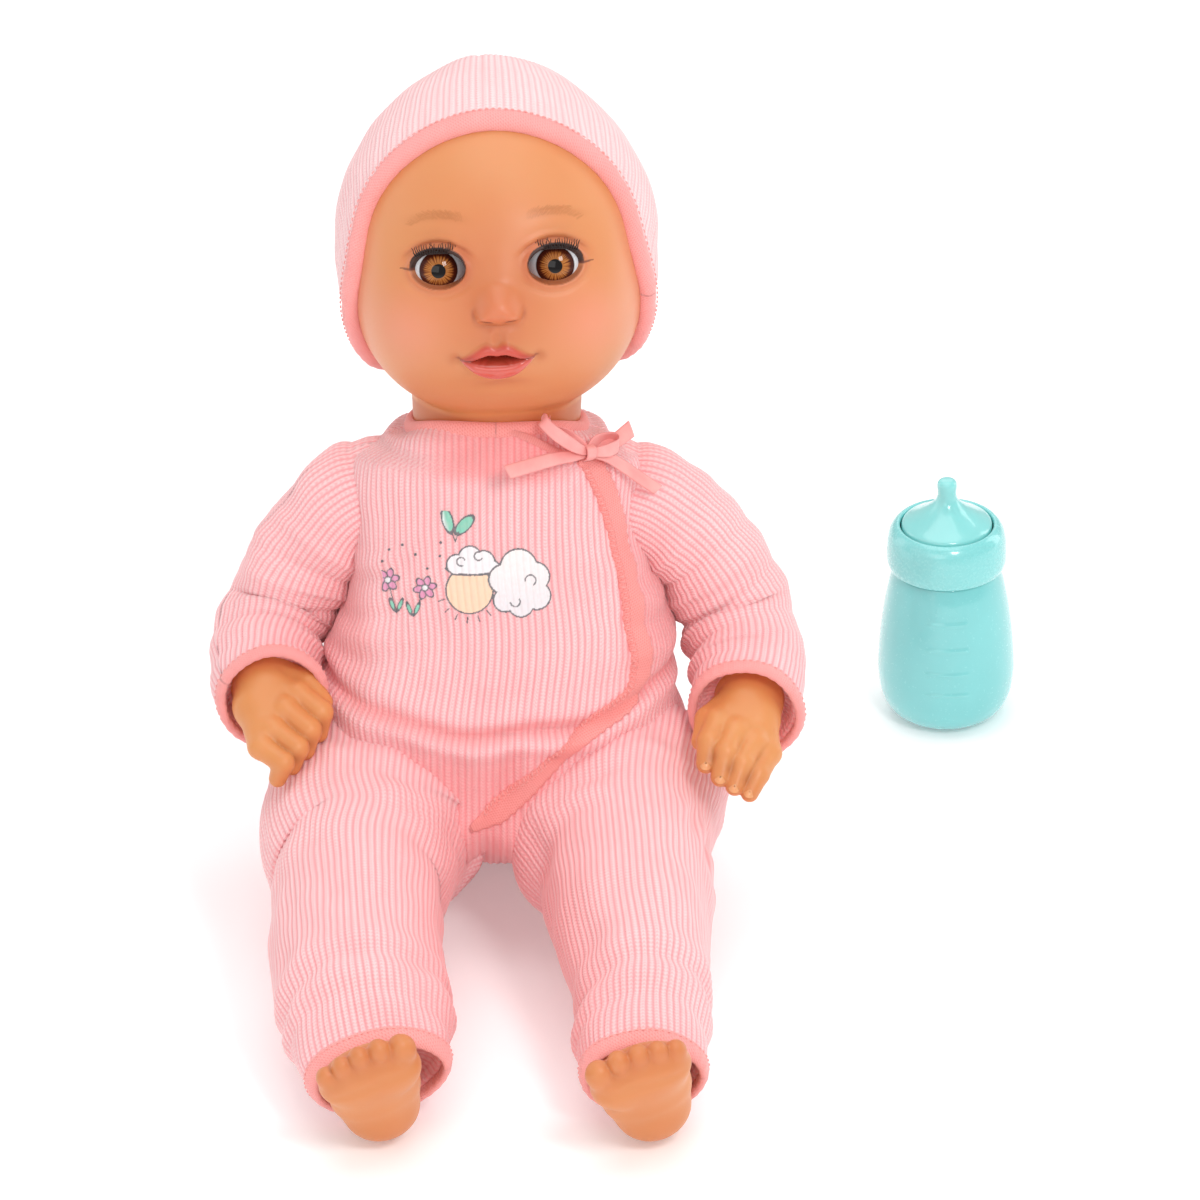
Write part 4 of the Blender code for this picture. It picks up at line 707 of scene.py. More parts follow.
# =============================================================== eyes
def build_eye(s, side):
    c = to_world(np.array([s * EYE_X, EYE_F, EYE_H]))
    m, nt, b = base_material("eye_paint_" + side, srgb(220, 220, 220), 0.12)
    f = noise_node(nt, 2500.0, 2.0)
    col = mix_colour(nt, map_range(nt, f, 0.35, 0.65, 0.0, 0.12), attr(nt, "tint", "Color"), (0.02, 0.012, 0.01, 1))
    nt.links.new(col, b.inputs["Base Color"])
    nt.links.new(map_range(nt, f, 0.3, 0.7, 0.10, 0.16), b.inputs["Roughness"])
    b.inputs["Specular IOR Level"].default_value = 0.0
    b.inputs["Coat Weight"].default_value = 0.75
    b.inputs["Coat Roughness"].default_value = 0.03
    b.inputs["Coat IOR"].default_value = 1.45
    th = np.radians(np.concatenate([np.linspace(0.4, 36, 96), np.linspace(37, 62, 18), np.linspace(66, 176, 24)]))
    nu = 360
    ph = np.arange(nu) / nu * 2 * np.pi
    TH, PH = np.meshgrid(th, ph, indexing="ij")
    look = math.radians(-4.3)
    R = 12.0 - 0.0 * TH
    # a shallow clear dome over the iris
    R = R + 0.35 * np.cos(np.clip(TH / math.radians(38), 0, 1) * np.pi / 2) ** 2
    lx, lz, ly = R * np.sin(TH) * np.cos(PH), R * np.sin(TH) * np.sin(PH), R * np.cos(TH)
    f2 = ly * math.cos(look) - lz * math.sin(look)
    h2 = ly * math.sin(look) + lz * math.cos(look)
    P = c + lx[..., None] * R_AX + f2[..., None] * F_AX + h2[..., None] * H_AX
    # paint: pupil, rayed iris, dark rim, white
    rho = np.degrees(TH)
    r = np.random.default_rng(5 + s)
    ray = np.zeros_like(PH)
    for k in range(1, 60):
        ray += np.cos(PH * k + r.random() * 6.28 + 0.02 * rho * r.normal()) * r.normal() * (1.0 if k > 12 else 0.4)
    ray = ray / np.abs(ray).max()
    fine = np.zeros_like(PH)
    for k in (61, 83, 97, 118):
        fine += np.cos(PH * k + r.random() * 6.28 + 0.06 * rho)
    fine /= 4
    C = np.broadcast_to(lin(226, 226, 230), (*PH.shape, 3)).copy()

    def lay(C, mask, colour):
        return C + (np.asarray(colour) - C) * np.clip(mask, 0, 1)[..., None]

    # painted shade: the white turns grey away from the iris, towards the corners where the lids shade it
    C = lay(C, 0.5 * smooth(40, 58, rho), lin(160, 160, 172))
    iris = smooth(34.4, 33.6, rho)
    C = lay(C, iris, lin(124, 56, 22))
    C = lay(C, iris * 0.75 * smooth(23, 12, rho), lin(192, 120, 52))
    C = lay(C, iris * np.clip(0.55 + 1.4 * ray, 0, 1) * 0.75 * smooth(12, 17, rho) * smooth(30, 22, rho), lin(206, 134, 66))
    C = lay(C, iris * np.clip(-0.1 + 1.5 * (-ray), 0, 1) * 0.75 * smooth(11, 15, rho), lin(96, 40, 18))
    C = lay(C, iris * np.clip(fine, 0, 1) * 0.30 * smooth(12, 16, rho), lin(110, 50, 20))
    edge = 24.0 + 2.8 * ray
    C = lay(C, iris * smooth(edge - 3.0, edge + 4.5, rho) * 0.94, lin(66, 20, 12))
    C = lay(C, iris * smooth(31.5, 33.5, rho) * 0.8, lin(40, 12, 10))
    C = lay(C, smooth(12.6, 11.6, rho), lin(12, 7, 7))
    C = lay(C, 0.5 * smooth(36.0, 34.4, rho) * smooth(33.4, 34.4, rho), lin(120, 100, 100))
    pole = lambda t: c + (12.35 if t < 1 else 12.0) * (math.cos(t) * math.cos(look) * F_AX + math.cos(t) * math.sin(look) * H_AX)
    ball = tube_object("eyeball_visual_" + side, P, m, pole(0.0), c - 12.0 * (math.cos(look) * F_AX + math.sin(look) * H_AX), colours={"tint": C})
    finish_piece(ball, "eye_" + side, ["eyeball_" + side])

    # upper lid: thin curved plate over the top of the ball, bringing the lashes with it
    def bp(al, be, rr):
        return c + (rr * np.cos(be))[..., None] * R_AX + (rr * np.sin(be) * np.cos(al))[..., None] * F_AX + (rr * np.sin(be) * np.sin(al))[..., None] * H_AX

    al = np.radians(np.concatenate([[28.0, 29.6, 31.2, 32.8], np.linspace(34.5, 103.5, 40)]))
    be = np.radians(np.linspace(26, 154, 60))
    AL, BE = np.meshgrid(al, be, indexing="ij")
    top = bp(AL, BE, np.full_like(AL, 12.55) - 0.25 * smooth(40, 34.5, np.degrees(AL)))
    bot = bp(AL, BE, np.full_like(AL, 12.05))
    # the lid's edge turns out to the lashes
    lip = (2.9 * smooth(35.0, 28.0, np.degrees(AL)) * smooth(36, 56, np.degrees(BE)) * smooth(144, 124, np.degrees(BE)))[..., None] * F_AX
    top, bot = top + lip, bot + lip
    na, nb = AL.shape
    V = np.concatenate([top.reshape(-1, 3), bot.reshape(-1, 3)])
    Q = grid_quads(na, nb, closed=False)
    Q2 = Q[:, ::-1] + na * nb
    side_q = []
    for i in range(na - 1):
        for j, flip in ((0, False), (nb - 1, True)):
            a, b2 = i * nb + j, (i + 1) * nb + j
            q = [a, b2, b2 + na * nb, a + na * nb]
            side_q.append(q[::-1] if flip else q)
    for j in range(nb - 1):
        for i, flip in ((0, True), (na - 1, False)):
            a, b2 = i * nb + j, i * nb + j + 1
            q = [a, b2, b2 + na * nb, a + na * nb]
            side_q.append(q[::-1] if flip else q)
    lid = mesh_object("upper_lid_visual_" + side, V, np.concatenate([Q, Q2, np.array(side_q)]), None, M_LID)
    finish_piece(lid, "eye_" + side, ["upper_lid_" + side])

    # lashes: a dark strip on the lid's edge with curved hairs
    vs, qs, ts = [], [], []
    rr = np.random.default_rng(21)

    def tube(path, radii, n=6):
        path = np.array(path)
        base = len(vs)
        k = len(path)
        for i in range(k):
            d = unit(path[min(i + 1, k - 1)] - path[max(i - 1, 0)])
            u = unit(np.cross(d, R_AX + 0.01))
            w = np.cross(d, u)
            for j in range(n):
                a = 2 * np.pi * j / n
                vs.append(path[i] + radii[i] * (math.cos(a) * u + math.sin(a) * w))
        for i in range(k - 1):
            for j in range(n):
                qs.append([base + i * n + j, base + i * n + (j + 1) % n, base + (i + 1) * n + (j + 1) % n, base + (i + 1) * n + j])
        vs.append(path[0])
        vs.append(path[-1])
        for j in range(n):
            ts.append([base + (j + 1) % n, base + j, len(vs) - 2])
            ts.append([base + (k - 1) * n + j, base + (k - 1) * n + (j + 1) % n, len(vs) - 1])

    def q0(al, be, r0):
        return bp(np.array(math.radians(al)), np.array(math.radians(be)), np.array(r0))

    tube([q0(27.6, b_, 12.75) + F_AX * 3.1 for b_ in np.linspace(50, 130, 28)], [0.24 + 0.36 * math.sin(math.pi * k_ / 27) for k_ in range(28)], 6)
    for k in range(21):
        be_ = 52 + 76 * k / 20 + rr.normal() * 0.8
        p0 = q0(27.6, be_, 12.7)
        lean = (90 - be_) / 36.0
        ln = 3.1 + 0.9 * rr.random()
        pts = []
        for t in np.linspace(0, 1, 8):
            pts.append(p0 + F_AX * (3.1 + 2.0 * math.sin(min(1.0, t * 1.6) * 1.5)) + H_AX * (ln * t ** 1.6) + R_AX * (1.1 * lean * t + 0.2 * rr.normal() * t))
        tube(pts, [0.34 * (1 - 0.75 * t) + 0.02 for t in np.linspace(0, 1, 8)], 5)
    lash = mesh_object("upper_lashes_" + side, np.array(vs), np.array(qs), np.array(ts), M_LASH, orient=False)
    finish_piece(lash, "eye_" + side)


for _s, _side in ((1, "left"), (-1, "right")):
    build_eye(_s, _side)


# =============================================================== cap
CAP_POLE = unit([0.0, -0.74, 0.67])
CAP_U = np.array([1.0, 0.0, 0.0])
CAP_V = np.cross(CAP_POLE, CAP_U)


def cap_dir(theta, psi):
    theta, psi = np.asarray(theta, float), np.asarray(psi, float)
    return np.cos(theta)[..., None] * CAP_POLE + np.sin(theta)[..., None] * (np.cos(psi)[..., None] * CAP_U + np.sin(psi)[..., None] * CAP_V)


def cap_edge(psi):
    lo, hi = np.full_like(psi, math.radians(40)), np.full_like(psi, math.radians(150))
    for _ in range(34):
        mid = (lo + hi) / 2
        D = cap_dir(mid, psi)
        r = cap_radius(D)
        f, h = D[..., 1] * r, D[..., 2] * r
        g1 = f - (24.0 + 0.373 * h + 7.5 * np.exp(-((h + 6.0) / 19.0) ** 2) * smooth(28.0, 44.0, np.abs(D[..., 0] * r)))
        g2 = -(h + 38.0 + (10.0 - f) * 0.22)
        g = np.logaddexp(g1 / 8.0, g2 / 8.0) * 8.0
        hi = np.where(g > 0, mid, hi)
        lo = np.where(g > 0, lo, mid)
    return (lo + hi) / 2


def cap_point(theta, psi, out):
    D = cap_dir(theta, psi)
    return to_world(D * (cap_radius(D) + out)[..., None])


def build_cap():
    n_ribs = 158
    nu = n_ribs * 6
    psi = np.arange(nu) / nu * 2 * np.pi
    e = cap_edge(psi) - math.radians(5.6)
    fr = np.concatenate([np.linspace(0.02, 0.2, 10, endpoint=False), np.linspace(0.2, 1.0, 72)])
    TH = fr[:, None] * e[None, :]
    PS = np.broadcast_to(psi, TH.shape)
    D = cap_dir(TH, PS)
    r = cap_radius(D)
    base = D * r[..., None]
    rv = np.cumsum(np.concatenate([np.zeros((1, nu)), np.linalg.norm(np.diff(base, axis=0), axis=-1)]), axis=0)
    ribph = PS / (2 * np.pi) * n_ribs
    # the ribs flatten where they crowd together, and the cloth is gathered near the lower tips
    H = base[..., 2]
    F = base[..., 1]
    around = np.linalg.norm(np.roll(base, -1, 1) - base, axis=-1) * 6
    amp = 0.34 * smooth(0.6, 1.8, around) * smooth(1.0, 0.95, fr)[:, None]
    h = rib(ribph, 1.0)
    h = 0.78 + (h - 0.78) * smooth(0.5, 1.9, around) * (0.35 + 0.65 * smooth(1.0, 0.96, fr)[:, None])
    lowf = 0.55 * noise(base, 34.0, 3) + 0.30 * noise(base, 17.0, 4)
    gather = smooth(-8, -34, H) * np.sin(H / 2.3 + 0.6 * np.sin(F / 5.0)) * 0.55 * smooth(-60, -10, F)
    gather += smooth(0.80, 0.97, fr)[:, None] * 0.30 * np.sin(PS * 46 + 1.3 * np.sin(PS * 7))
    peak = 2.6 * np.exp(-((base[..., 0] + 3.0) / 14.0) ** 2 - ((F - 4.0) / 16.0) ** 2) * smooth(45, 58, H)
    crease = -0.7 * np.exp(-((base[..., 0] + 3.0 - 0.05 * F) / 1.1) ** 2) * smooth(46, 57, H) * np.exp(-((F - 8.0) / 20.0) ** 2)
    stretch = smooth(1.0, 0.9, fr)[:, None]
    out = 3.0 + amp * h + lowf * stretch + gather + peak + crease + 0.5 * smooth(0.93, 0.99, fr)[:, None]
    P = to_world(D * (r + out)[..., None])
    # turn the edge in under the binding
    tip = cap_point(cap_edge(psi) - math.radians(4.4), psi, np.full(nu, 1.6))
    P = np.concatenate([P, tip[None]])
    z = np.zeros((1, nu))
    ob = tube_object("cap_knit_visual", P, M_CAP, to_world(CAP_POLE * (cap_radius(CAP_POLE) + 3.2)), None,
                     floats={"rib": np.concatenate([h, h[-1:]]), "ru": np.concatenate([ribph * 2.2, ribph[-1:] * 2.2]), "rv": np.concatenate([rv, rv[-1:] + 1])})
    finish_piece(ob, "head", ["cap_crown"])

    # rolled jersey binding round the face
    nb = 420
    psi = np.arange(nb) / nb * 2 * np.pi
    edge = cap_edge(psi)
    prof = [(6.9, 2.4), (6.7, 3.4), (6.1, 4.2), (5.2, 4.7), (4.0, 5.0), (2.7, 4.9), (1.5, 4.4), (0.6, 3.4), (0.1, 2.0), (0.0, 0.6), (0.4, -0.6), (1.4, -0.8), (3.5, 0.4), (6.2, 1.0)]
    rings = []
    for deg, out in prof:
        wob = 0.10 * np.sin(psi * 61) + 0.10 * np.sin(psi * 23 + 1)
        rings.append(cap_point(edge - math.radians(deg), psi, np.full(nb, out) + wob))
    G = np.array(rings).transpose(1, 0, 2)
    k = len(prof)
    Q = []
    i = np.arange(nb)[:, None]
    j = np.arange(k)[None, :]
    a, b2 = i * k + j, i * k + (j + 1) % k
    c2, d2 = ((i + 1) % nb) * k + (j + 1) % k, ((i + 1) % nb) * k + j
    Q = np.stack([a, b2, c2, d2], -1).reshape(-1, 4)
    s_al = np.concatenate([[0], np.cumsum(np.linalg.norm(np.diff(G[:, 5], axis=0), axis=1))])
    ru = np.repeat(s_al, k)
    rv2 = np.tile(np.arange(k) * 0.9, nb)
    ob = mesh_object("cap_binding_visual", G.reshape(-1, 3), Q, None, M_BIND_LIGHT, floats={"ru": ru, "rv": rv2 + 0.6 * ru})
    finish_piece(ob, "head", ["cap_binding"])
    # stitches along the outer side of the binding
    pts = cap_point(edge - math.radians(5.5), psi, np.full(nb, 4.95))
    nxt = cap_point(edge - math.radians(2.0), psi, np.full(nb, 5.4))
    nrm = unit_rows(pts - HEAD_C)
    st = stitches("cap_stitches", pts, nrm, 2.3, 0.62, 0.26, closed=True)
    finish_piece(st, "head")


def unit_rows(v):
    return v / np.maximum(np.linalg.norm(v, axis=-1, keepdims=True), 1e-9)


def stitches(name, path, nrm, pitch, fill, rad, closed=False, across=None, zig=0.0, mat=None):
    """Small thread stitches lying along path; across and zig slant them from side to side."""
    P = np.asarray(path)
    if closed:
        P = np.concatenate([P, P[:1]])
        nrm = np.concatenate([nrm, nrm[:1]])
    s = np.concatenate([[0], np.cumsum(np.linalg.norm(np.diff(P, axis=0), axis=1))])
    n = int(s[-1] / pitch)
    vs, qs, ts = [], [], []
    at = lambda q, A: np.array([np.interp(q, s, A[:, k]) for k in range(3)])
    for i in range(n):
        a, b = (i + 0.5 - fill / 2) * s[-1] / n, (i + 0.5 + fill / 2) * s[-1] / n
        pa, pb, nn = at(a, P), at(b, P), unit(at((a + b) / 2, nrm))
        if across is not None:
            ac = unit(at((a + b) / 2, across))
            sgn = zig
            pa, pb = pa - ac * sgn, pb + ac * sgn
        d = unit(pb - pa)
        w = np.cross(nn, d)
        base = len(vs)
        prof = ((0.0, -0.25, 0.3), (0.22, 0.55, 1.0), (0.5, 0.75, 1.0), (0.78, 0.55, 1.0), (1.0, -0.25, 0.3))
        for t, lift, k in prof:
            c = pa + (pb - pa) * t + nn * rad * lift
            for j in range(6):
                q = 2 * np.pi * j / 6
                vs.append(c + rad * k * (math.cos(q) * w + math.sin(q) * nn))
        for r_ in range(4):
            for j in range(6):
                qs.append([base + r_ * 6 + j, base + r_ * 6 + (j + 1) % 6, base + (r_ + 1) * 6 + (j + 1) % 6, base + (r_ + 1) * 6 + j])
        vs.append(vs[base] * 0 + pa)
        vs.append(vs[base] * 0 + pb)
        for j in range(6):
            ts.append([base + (j + 1) % 6, base + j, base + 30])
            ts.append([base + 24 + j, base + 24 + (j + 1) % 6, base + 31])
    return mesh_object(name, np.array(vs), np.array(qs), np.array(ts), mat or M_THREAD, orient=False)


build_cap()


# =============================================================== romper body
TORSO_V = [  # height, half width, front y, back y, ring tilt
    (0.3, 30.0, 34.0, 50.0, 0.0), (2.2, 44.0, 29.5, 55.0, 0.0), (7.0, 55.0, 20.5, 59.6, 0.0), (14.0, 62.5, 8.0, 62.2, 0.0),
    (24.0, 68.0, -9.5, 63.6, 0.2), (31.0, 70.0, -22.0, 64.2, 0.5), (37.0, 71.0, -30.5, 64.5, 1.0), (46.0, 70.5, -34.4, 64.8, 1.6),
    (56.0, 69.0, -31.6, 65.0, 2.2), (64.0, 67.0, -28.8, 65.0, 3.0), (70.0, 65.0, -27.4, 65.0, 3.6), (76.0, 63.2, -26.2, 65.0, 4.2),
    (80.5, 62.0, -24.8, 65.2, 4.8), (84.0, 61.0, -23.0, 65.4, 5.2), (87.0, 60.2, -21.2, 65.6, 5.6), (89.6, 60.0, -19.8, 65.8, 6.0),
    (93.0, 59.6, -18.4, 66.0, 6.4), (98.0, 58.4, -16.4, 66.4, 7.2), (104.0, 56.0, -13.6, 66.8, 8.0), (112.0, 53.6, -10.0, 68.0, 9.5),
    (120.0, 52.0, -6.5, 69.4, 11.0), (128.0, 51.2, -3.0, 71.0, 12.0), (136.0, 51.0, 0.0, 72.6, 13.0), (143.0, 51.0, 2.6, 73.8, 14.0),
    (150.0, 51.4, 5.0, 75.0, 15.0), (157.0, 51.2, 7.2, 76.2, 15.5), (162.0, 49.2, 9.0, 77.0, 16.0), (164.6, 44.6, 9.8, 77.6, 16.0),
    (166.6, 41.4, 10.4, 78.0, 16.0), (169.0, 39.8, 11.4, 78.2, 16.0), (171.5, 38.6, 12.4, 78.0, 16.0), (173.6, 36.8, 13.4, 77.6, 16.0),
    (175.4, 34.4, 14.4, 76.8, 16.0), (177.0, 32.6, 15.4, 76.0, 16.0), (178.4, 31.3, 16.3, 75.2, 16.0),
]
NU_T = 800


def torso_base(z_list):
    """Rings of the romper body at the given heights, evenly spaced round from the front middle. Returns points and perimeters."""
    R = np.array(TORSO_V)
    # rows by height, smooth
    zz = np.asarray(z_list, float)
    idx = np.interp(zz, R[:, 0], np.arange(len(R)))
    rows = catmull(R, ts=idx)
    n = 1440
    t = -np.pi / 2 + 2 * np.pi * np.arange(n) / n
    ct, st = np.cos(t), np.sin(t)
    k = (np.abs(ct) ** 2.25 + np.abs(st) ** 2.25) ** (-1 / 2.25)
    out, per = [], []
    for z, row in zip(zz, rows):
        _, a, f, b, tl = row
        tl = math.radians(tl)
        hb = (b - f) / 2 / math.cos(tl)
        g = 3.2 * math.exp(-((z - 108) / 20.0) ** 2)
        a += g
        c = np.array([g, (f + b) / 2, z])
        v = np.array([0, math.cos(tl), -math.sin(tl)])
        ring = c + np.outer(a * k * ct, X_AX) + np.outer(hb * k * st, v)
        # the neck edge dips at the sides and behind
        ring = ring - np.outer(5.0 * smooth(168.5, 178.4, z) * smooth(-1.0, -0.15, st), A_AX)
        e, p = even_ring(ring, NU_T)
        out.append(e)
        per.append(p)
    return np.array(out), np.array(per)


def torso_folds(P):
    """Soft folds of the knit over the trunk, along the surface normal."""
    X, Y, Z = P[..., 0], P[..., 1], P[..., 2]
    front = smooth(45, 20, Y)
    d = 1.0 * noise(P, 46.0, 31) + 0.5 * noise(P, 21.0, 32)
    # long drapes across the chest and round the sides
    for x0, z0, kx, w, a in ((-44, 132, 0.95, 3.4, 1.3), (-40, 118, 0.55, 3.0, -1.2), (-46, 108, 0.30, 3.6, 1.2), (46, 126, -0.9, 3.2, 1.2), (50, 114, -0.5, 3.0, -1.2), (54, 102, -0.25, 3.6, 1.1)):
        q0 = (Z - z0) - kx * (X - x0)
        d += a * np.exp(-(q0 / w) ** 2) * np.exp(-((X - x0) / 17.0) ** 2) * front
    # pull lines from the armholes towards the chest
    for s in (-1, 1):
        q = (Z - 128) + 0.55 * (s * X - 48)
        d += -1.0 * np.exp(-((q + 2) / 2.6) ** 2) * np.exp(-((s * X - 47) / 9.0) ** 2) * front
        d += 0.9 * np.exp(-((q - 4) / 3.4) ** 2) * np.exp(-((s * X - 46) / 10.0) ** 2) * front
        q2 = (Z - 101) + 0.30 * (s * X - 50)
        d += -0.9 * np.exp(-(q2 / 3.0) ** 2) * np.exp(-((s * X - 52) / 12.0) ** 2) * front
    # the crease where the belly meets the lap, and the slack on either side of it
    zc = 84.5 + 5.0 * np.minimum(1.4, ((X + 3) / 50) ** 2) + 0.8 * np.sin(X / 7.0)
    deep = 0.55 + 0.45 * np.sin(X / 19.0 + 0.8)
    d += (-3.4 * deep - 0.7) * np.exp(-((Z - zc) / 2.3) ** 2) * front
    d += 2.2 * np.exp(-((Z - zc + 5.5) / 3.6) ** 2) * front
    d += 1.0 * np.exp(-((Z - zc - 5.5) / 4.0) ** 2) * front
    z2 = 77.0 - 0.10 * np.abs(X - 6)
    d += -1.0 * np.exp(-((Z - z2) / 2.2) ** 2) * np.exp(-((X - 22) / 16.0) ** 2) * front
    d += -0.9 * np.exp(-((Z - 73.5 + 0.16 * X) / 2.4) ** 2) * np.exp(-((X + 26) / 15.0) ** 2) * front
    # lap: shallow hollows running to the crotch
    lap = smooth(86, 74, Z) * smooth(10, 26, Z) * smooth(5, -8, Y)
    u = X + 4.0
    d += lap * (-2.4 * np.exp(-((u - 0.28 * (Z - 40)) / 3.6) ** 2) + 1.0 * np.exp(-((u + 9 - 0.15 * (Z - 40)) / 4.0) ** 2) + 0.9 * np.exp(-((u - 13 - 0.2 * (Z - 40)) / 4.4) ** 2))
    d += lap * 0.8 * np.sin((X * 0.9 + Z * 0.35) / 3.0) * smooth(52, 36, Z)
    return d


def torso_surface(z_list, fr_list=None, lift=0.0):
    P, per = torso_base(z_list)
    N = grid_normals(P)
    fr = np.arange(NU_T) / NU_T
    if fr_list is not None:
        fr_list = np.asarray(fr_list)
        q = fr_list % 1.0
        f2 = np.concatenate([fr, [1.0]])
        P = np.stack([[np.interp(q, f2, np.append(row[:, k], row[0, k])) for k in range(3)] for row in P]).transpose(0, 2, 1)
        N = np.stack([[np.interp(q, f2, np.append(row[:, k], row[0, k])) for k in range(3)] for row in N]).transpose(0, 2, 1)
        N = unit_rows(N)
        fr = q
    fs = np.where(fr > 0.5, fr - 1.0, fr)[None, :] * per[:, None]       # signed arc from the front middle
    back = (np.abs(fs) > per[:, None] / 4)
    sb = np.where(back, per[:, None] / 2 - np.abs(fs), np.abs(fs))
    s = np.where(fs < 0, -sb, sb)
    # ribs drift a little, as stretched cloth does
    s2 = s + 0.35 * noise(P, 60.0, 41)
    h = rib(s2)
    gap = per[:, None] / 4 - np.abs(np.abs(fs) - per[:, None] / 4)       # mm from the side seams is per/4 - gap...
    seam = np.exp(-(((np.abs(fs) - per[:, None] / 4) / 0.9) ** 2))
    d = torso_folds(P) + RIB_H * h * (1 - 0.8 * seam) - 0.5 * seam
    return P + N * (d + lift)[..., None], h, s2, N


def build_torso():
    z = np.concatenate([np.array([0.3, 0.7, 1.3, 2.2, 3.4, 5.0]), np.arange(6.6, 84.0, 1.55), np.arange(84.0, 96.0, 0.9), np.arange(96.0, 168.0, 1.6), np.arange(168.2, 178.4, 0.75), [178.4]])
    P, h, s, N = torso_surface(z)
    P[:6, :, 2] = np.maximum(P[:6, :, 2], 0.25)
    P[..., 2] = np.maximum(P[..., 2], 0.2)
    rv = np.cumsum(np.concatenate([np.zeros((1, NU_T)), np.linalg.norm(np.diff(P, axis=0), axis=-1)]), axis=0)
    # inside of the neckline
    top = P[-1]
    c = top.mean(0)
    ins = c + (top - c) * 0.93
    ins2 = ins - A_AX * 7.0
    P = np.concatenate([P, ins[None], ins2[None]])
    h = np.concatenate([h, h[-1:], h[-1:]])
    s = np.concatenate([s, s[-1:], s[-1:]])
    rv = np.concatenate([rv, rv[-1:] + 2, rv[-1:] + 9])
    # painted shade: the knit is coloured deeper pink in the belly crease, over the lap, at the sides under the arms and
    # under the chin, where the folds and the turned-away cloth lie in shade
    X, Y, Z = P[..., 0], P[..., 1], P[..., 2]
    front = smooth(45, 15, Y)
    zc = 84.5 + 5.0 * np.minimum(1.4, ((X + 3) / 50) ** 2) + 0.8 * np.sin(X / 7.0)
    deep = 0.75 * np.exp(-((Z - zc) / 2.6) ** 2) * front
    deep = np.maximum(deep, 0.55 * smooth(zc - 2, zc - 14, Z) * smooth(16, 34, Z) * smooth(44, 18, np.abs(X + 6)) * front)
    deep = np.maximum(deep, 0.55 * smooth(40, 52, np.abs(X)) * np.exp(-((Z - 112) / 22.0) ** 2) * smooth(60, 30, Y))
    deep = np.maximum(deep, 0.75 * smooth(169, 176, Z + 0.28 * np.clip(30 - Y, -10, 10)) * smooth(34, 10, np.abs(X)) * smooth(45, 25, Y))
    ob = tube_object("romper_body_visual", P, M_KNIT, np.array([0, 42.0, 0.25]), None, floats={"rib": h, "ru": s, "rv": rv, "deep": np.clip(deep, 0, 1)})
    finish_piece(ob, "torso", ["romper_bodice", "cloth_trunk"])


build_torso()


def front_at(x, z, lift):
    """Point and normal of the romper front at sideways arc x and ring height z (arrays of one length)."""
    x, z = np.atleast_1d(x).astype(float), np.atleast_1d(z).astype(float)
    P, per = torso_base(z)
    N = grid_normals(P) if len(z) > 2 else None
    out, nn = [], []
    for k in range(len(z)):
        # nearest ring point by X on the front
        half = np.concatenate([np.arange(NU_T - NU_T // 5, NU_T), np.arange(0, NU_T // 5)])
        xs = P[k, half, 0]
        p = np.array([np.interp(x[k], xs, P[k, half, j]) for j in range(3)])
        n = np.array([np.interp(x[k], xs, N[k, half, j]) for j in range(3)])
        out.append(p)
        nn.append(unit(n))
    out, nn = np.array(out), np.array(nn)
    d = torso_folds(out)
    return out + nn * (d + lift)[:, None], nn


# =============================================================== sleeves
ARM = {
    "right": [(-52.5, 42.0, 141.4, 19.2), (-60.2, 42.0, 131.4, 19.4), (-66.0, 41.8, 122.6, 19.5), (-70.6, 41.2, 113.6, 19.7), (-76.3, 37.6, 100.4, 20.0), (-79.8, 28.0, 93.0, 20.0),
              (-81.3, 17.0, 89.5, 19.4), (-80.8, 5.0, 88.6, 18.7), (-79.4, -6.0, 88.6, 18.0)],
    "left": [(52.0, 42.0, 143.2, 19.2), (59.4, 42.0, 137.3, 19.3), (67.1, 42.0, 130.0, 19.4), (72.9, 42.0, 122.4, 19.6), (78.4, 41.2, 112.5, 19.8), (84.0, 37.6, 99.6, 20.0), (87.8, 28.0, 91.5, 20.2),
             (89.5, 16.5, 86.0, 19.8), (89.3, 4.5, 84.0, 19.3), (88.2, -7.0, 83.0, 18.8)],
}


def sweep_frames(C, first_v):
    """Parallel-transported frames along points C. Returns tangents, u, v."""
    T = unit_rows(np.gradient(C, axis=0))
    V = [unit(np.asarray(first_v) - T[0] * np.dot(first_v, T[0]))]
    for k in range(1, len(C)):
        v = V[-1] - T[k] * np.dot(V[-1], T[k])
        V.append(unit(v))
    V = np.array(V)
    U = np.cross(V, T)
    return T, U, V


def sleeve_path(side_name):
    s = 1 if side_name == "left" else -1
    rows = [(s * 38.0, 42.0, 147.4, 18.6), (s * 45.0, 42.0, 146.2, 19.0)]
    rows += ARM[side_name]
    return rows


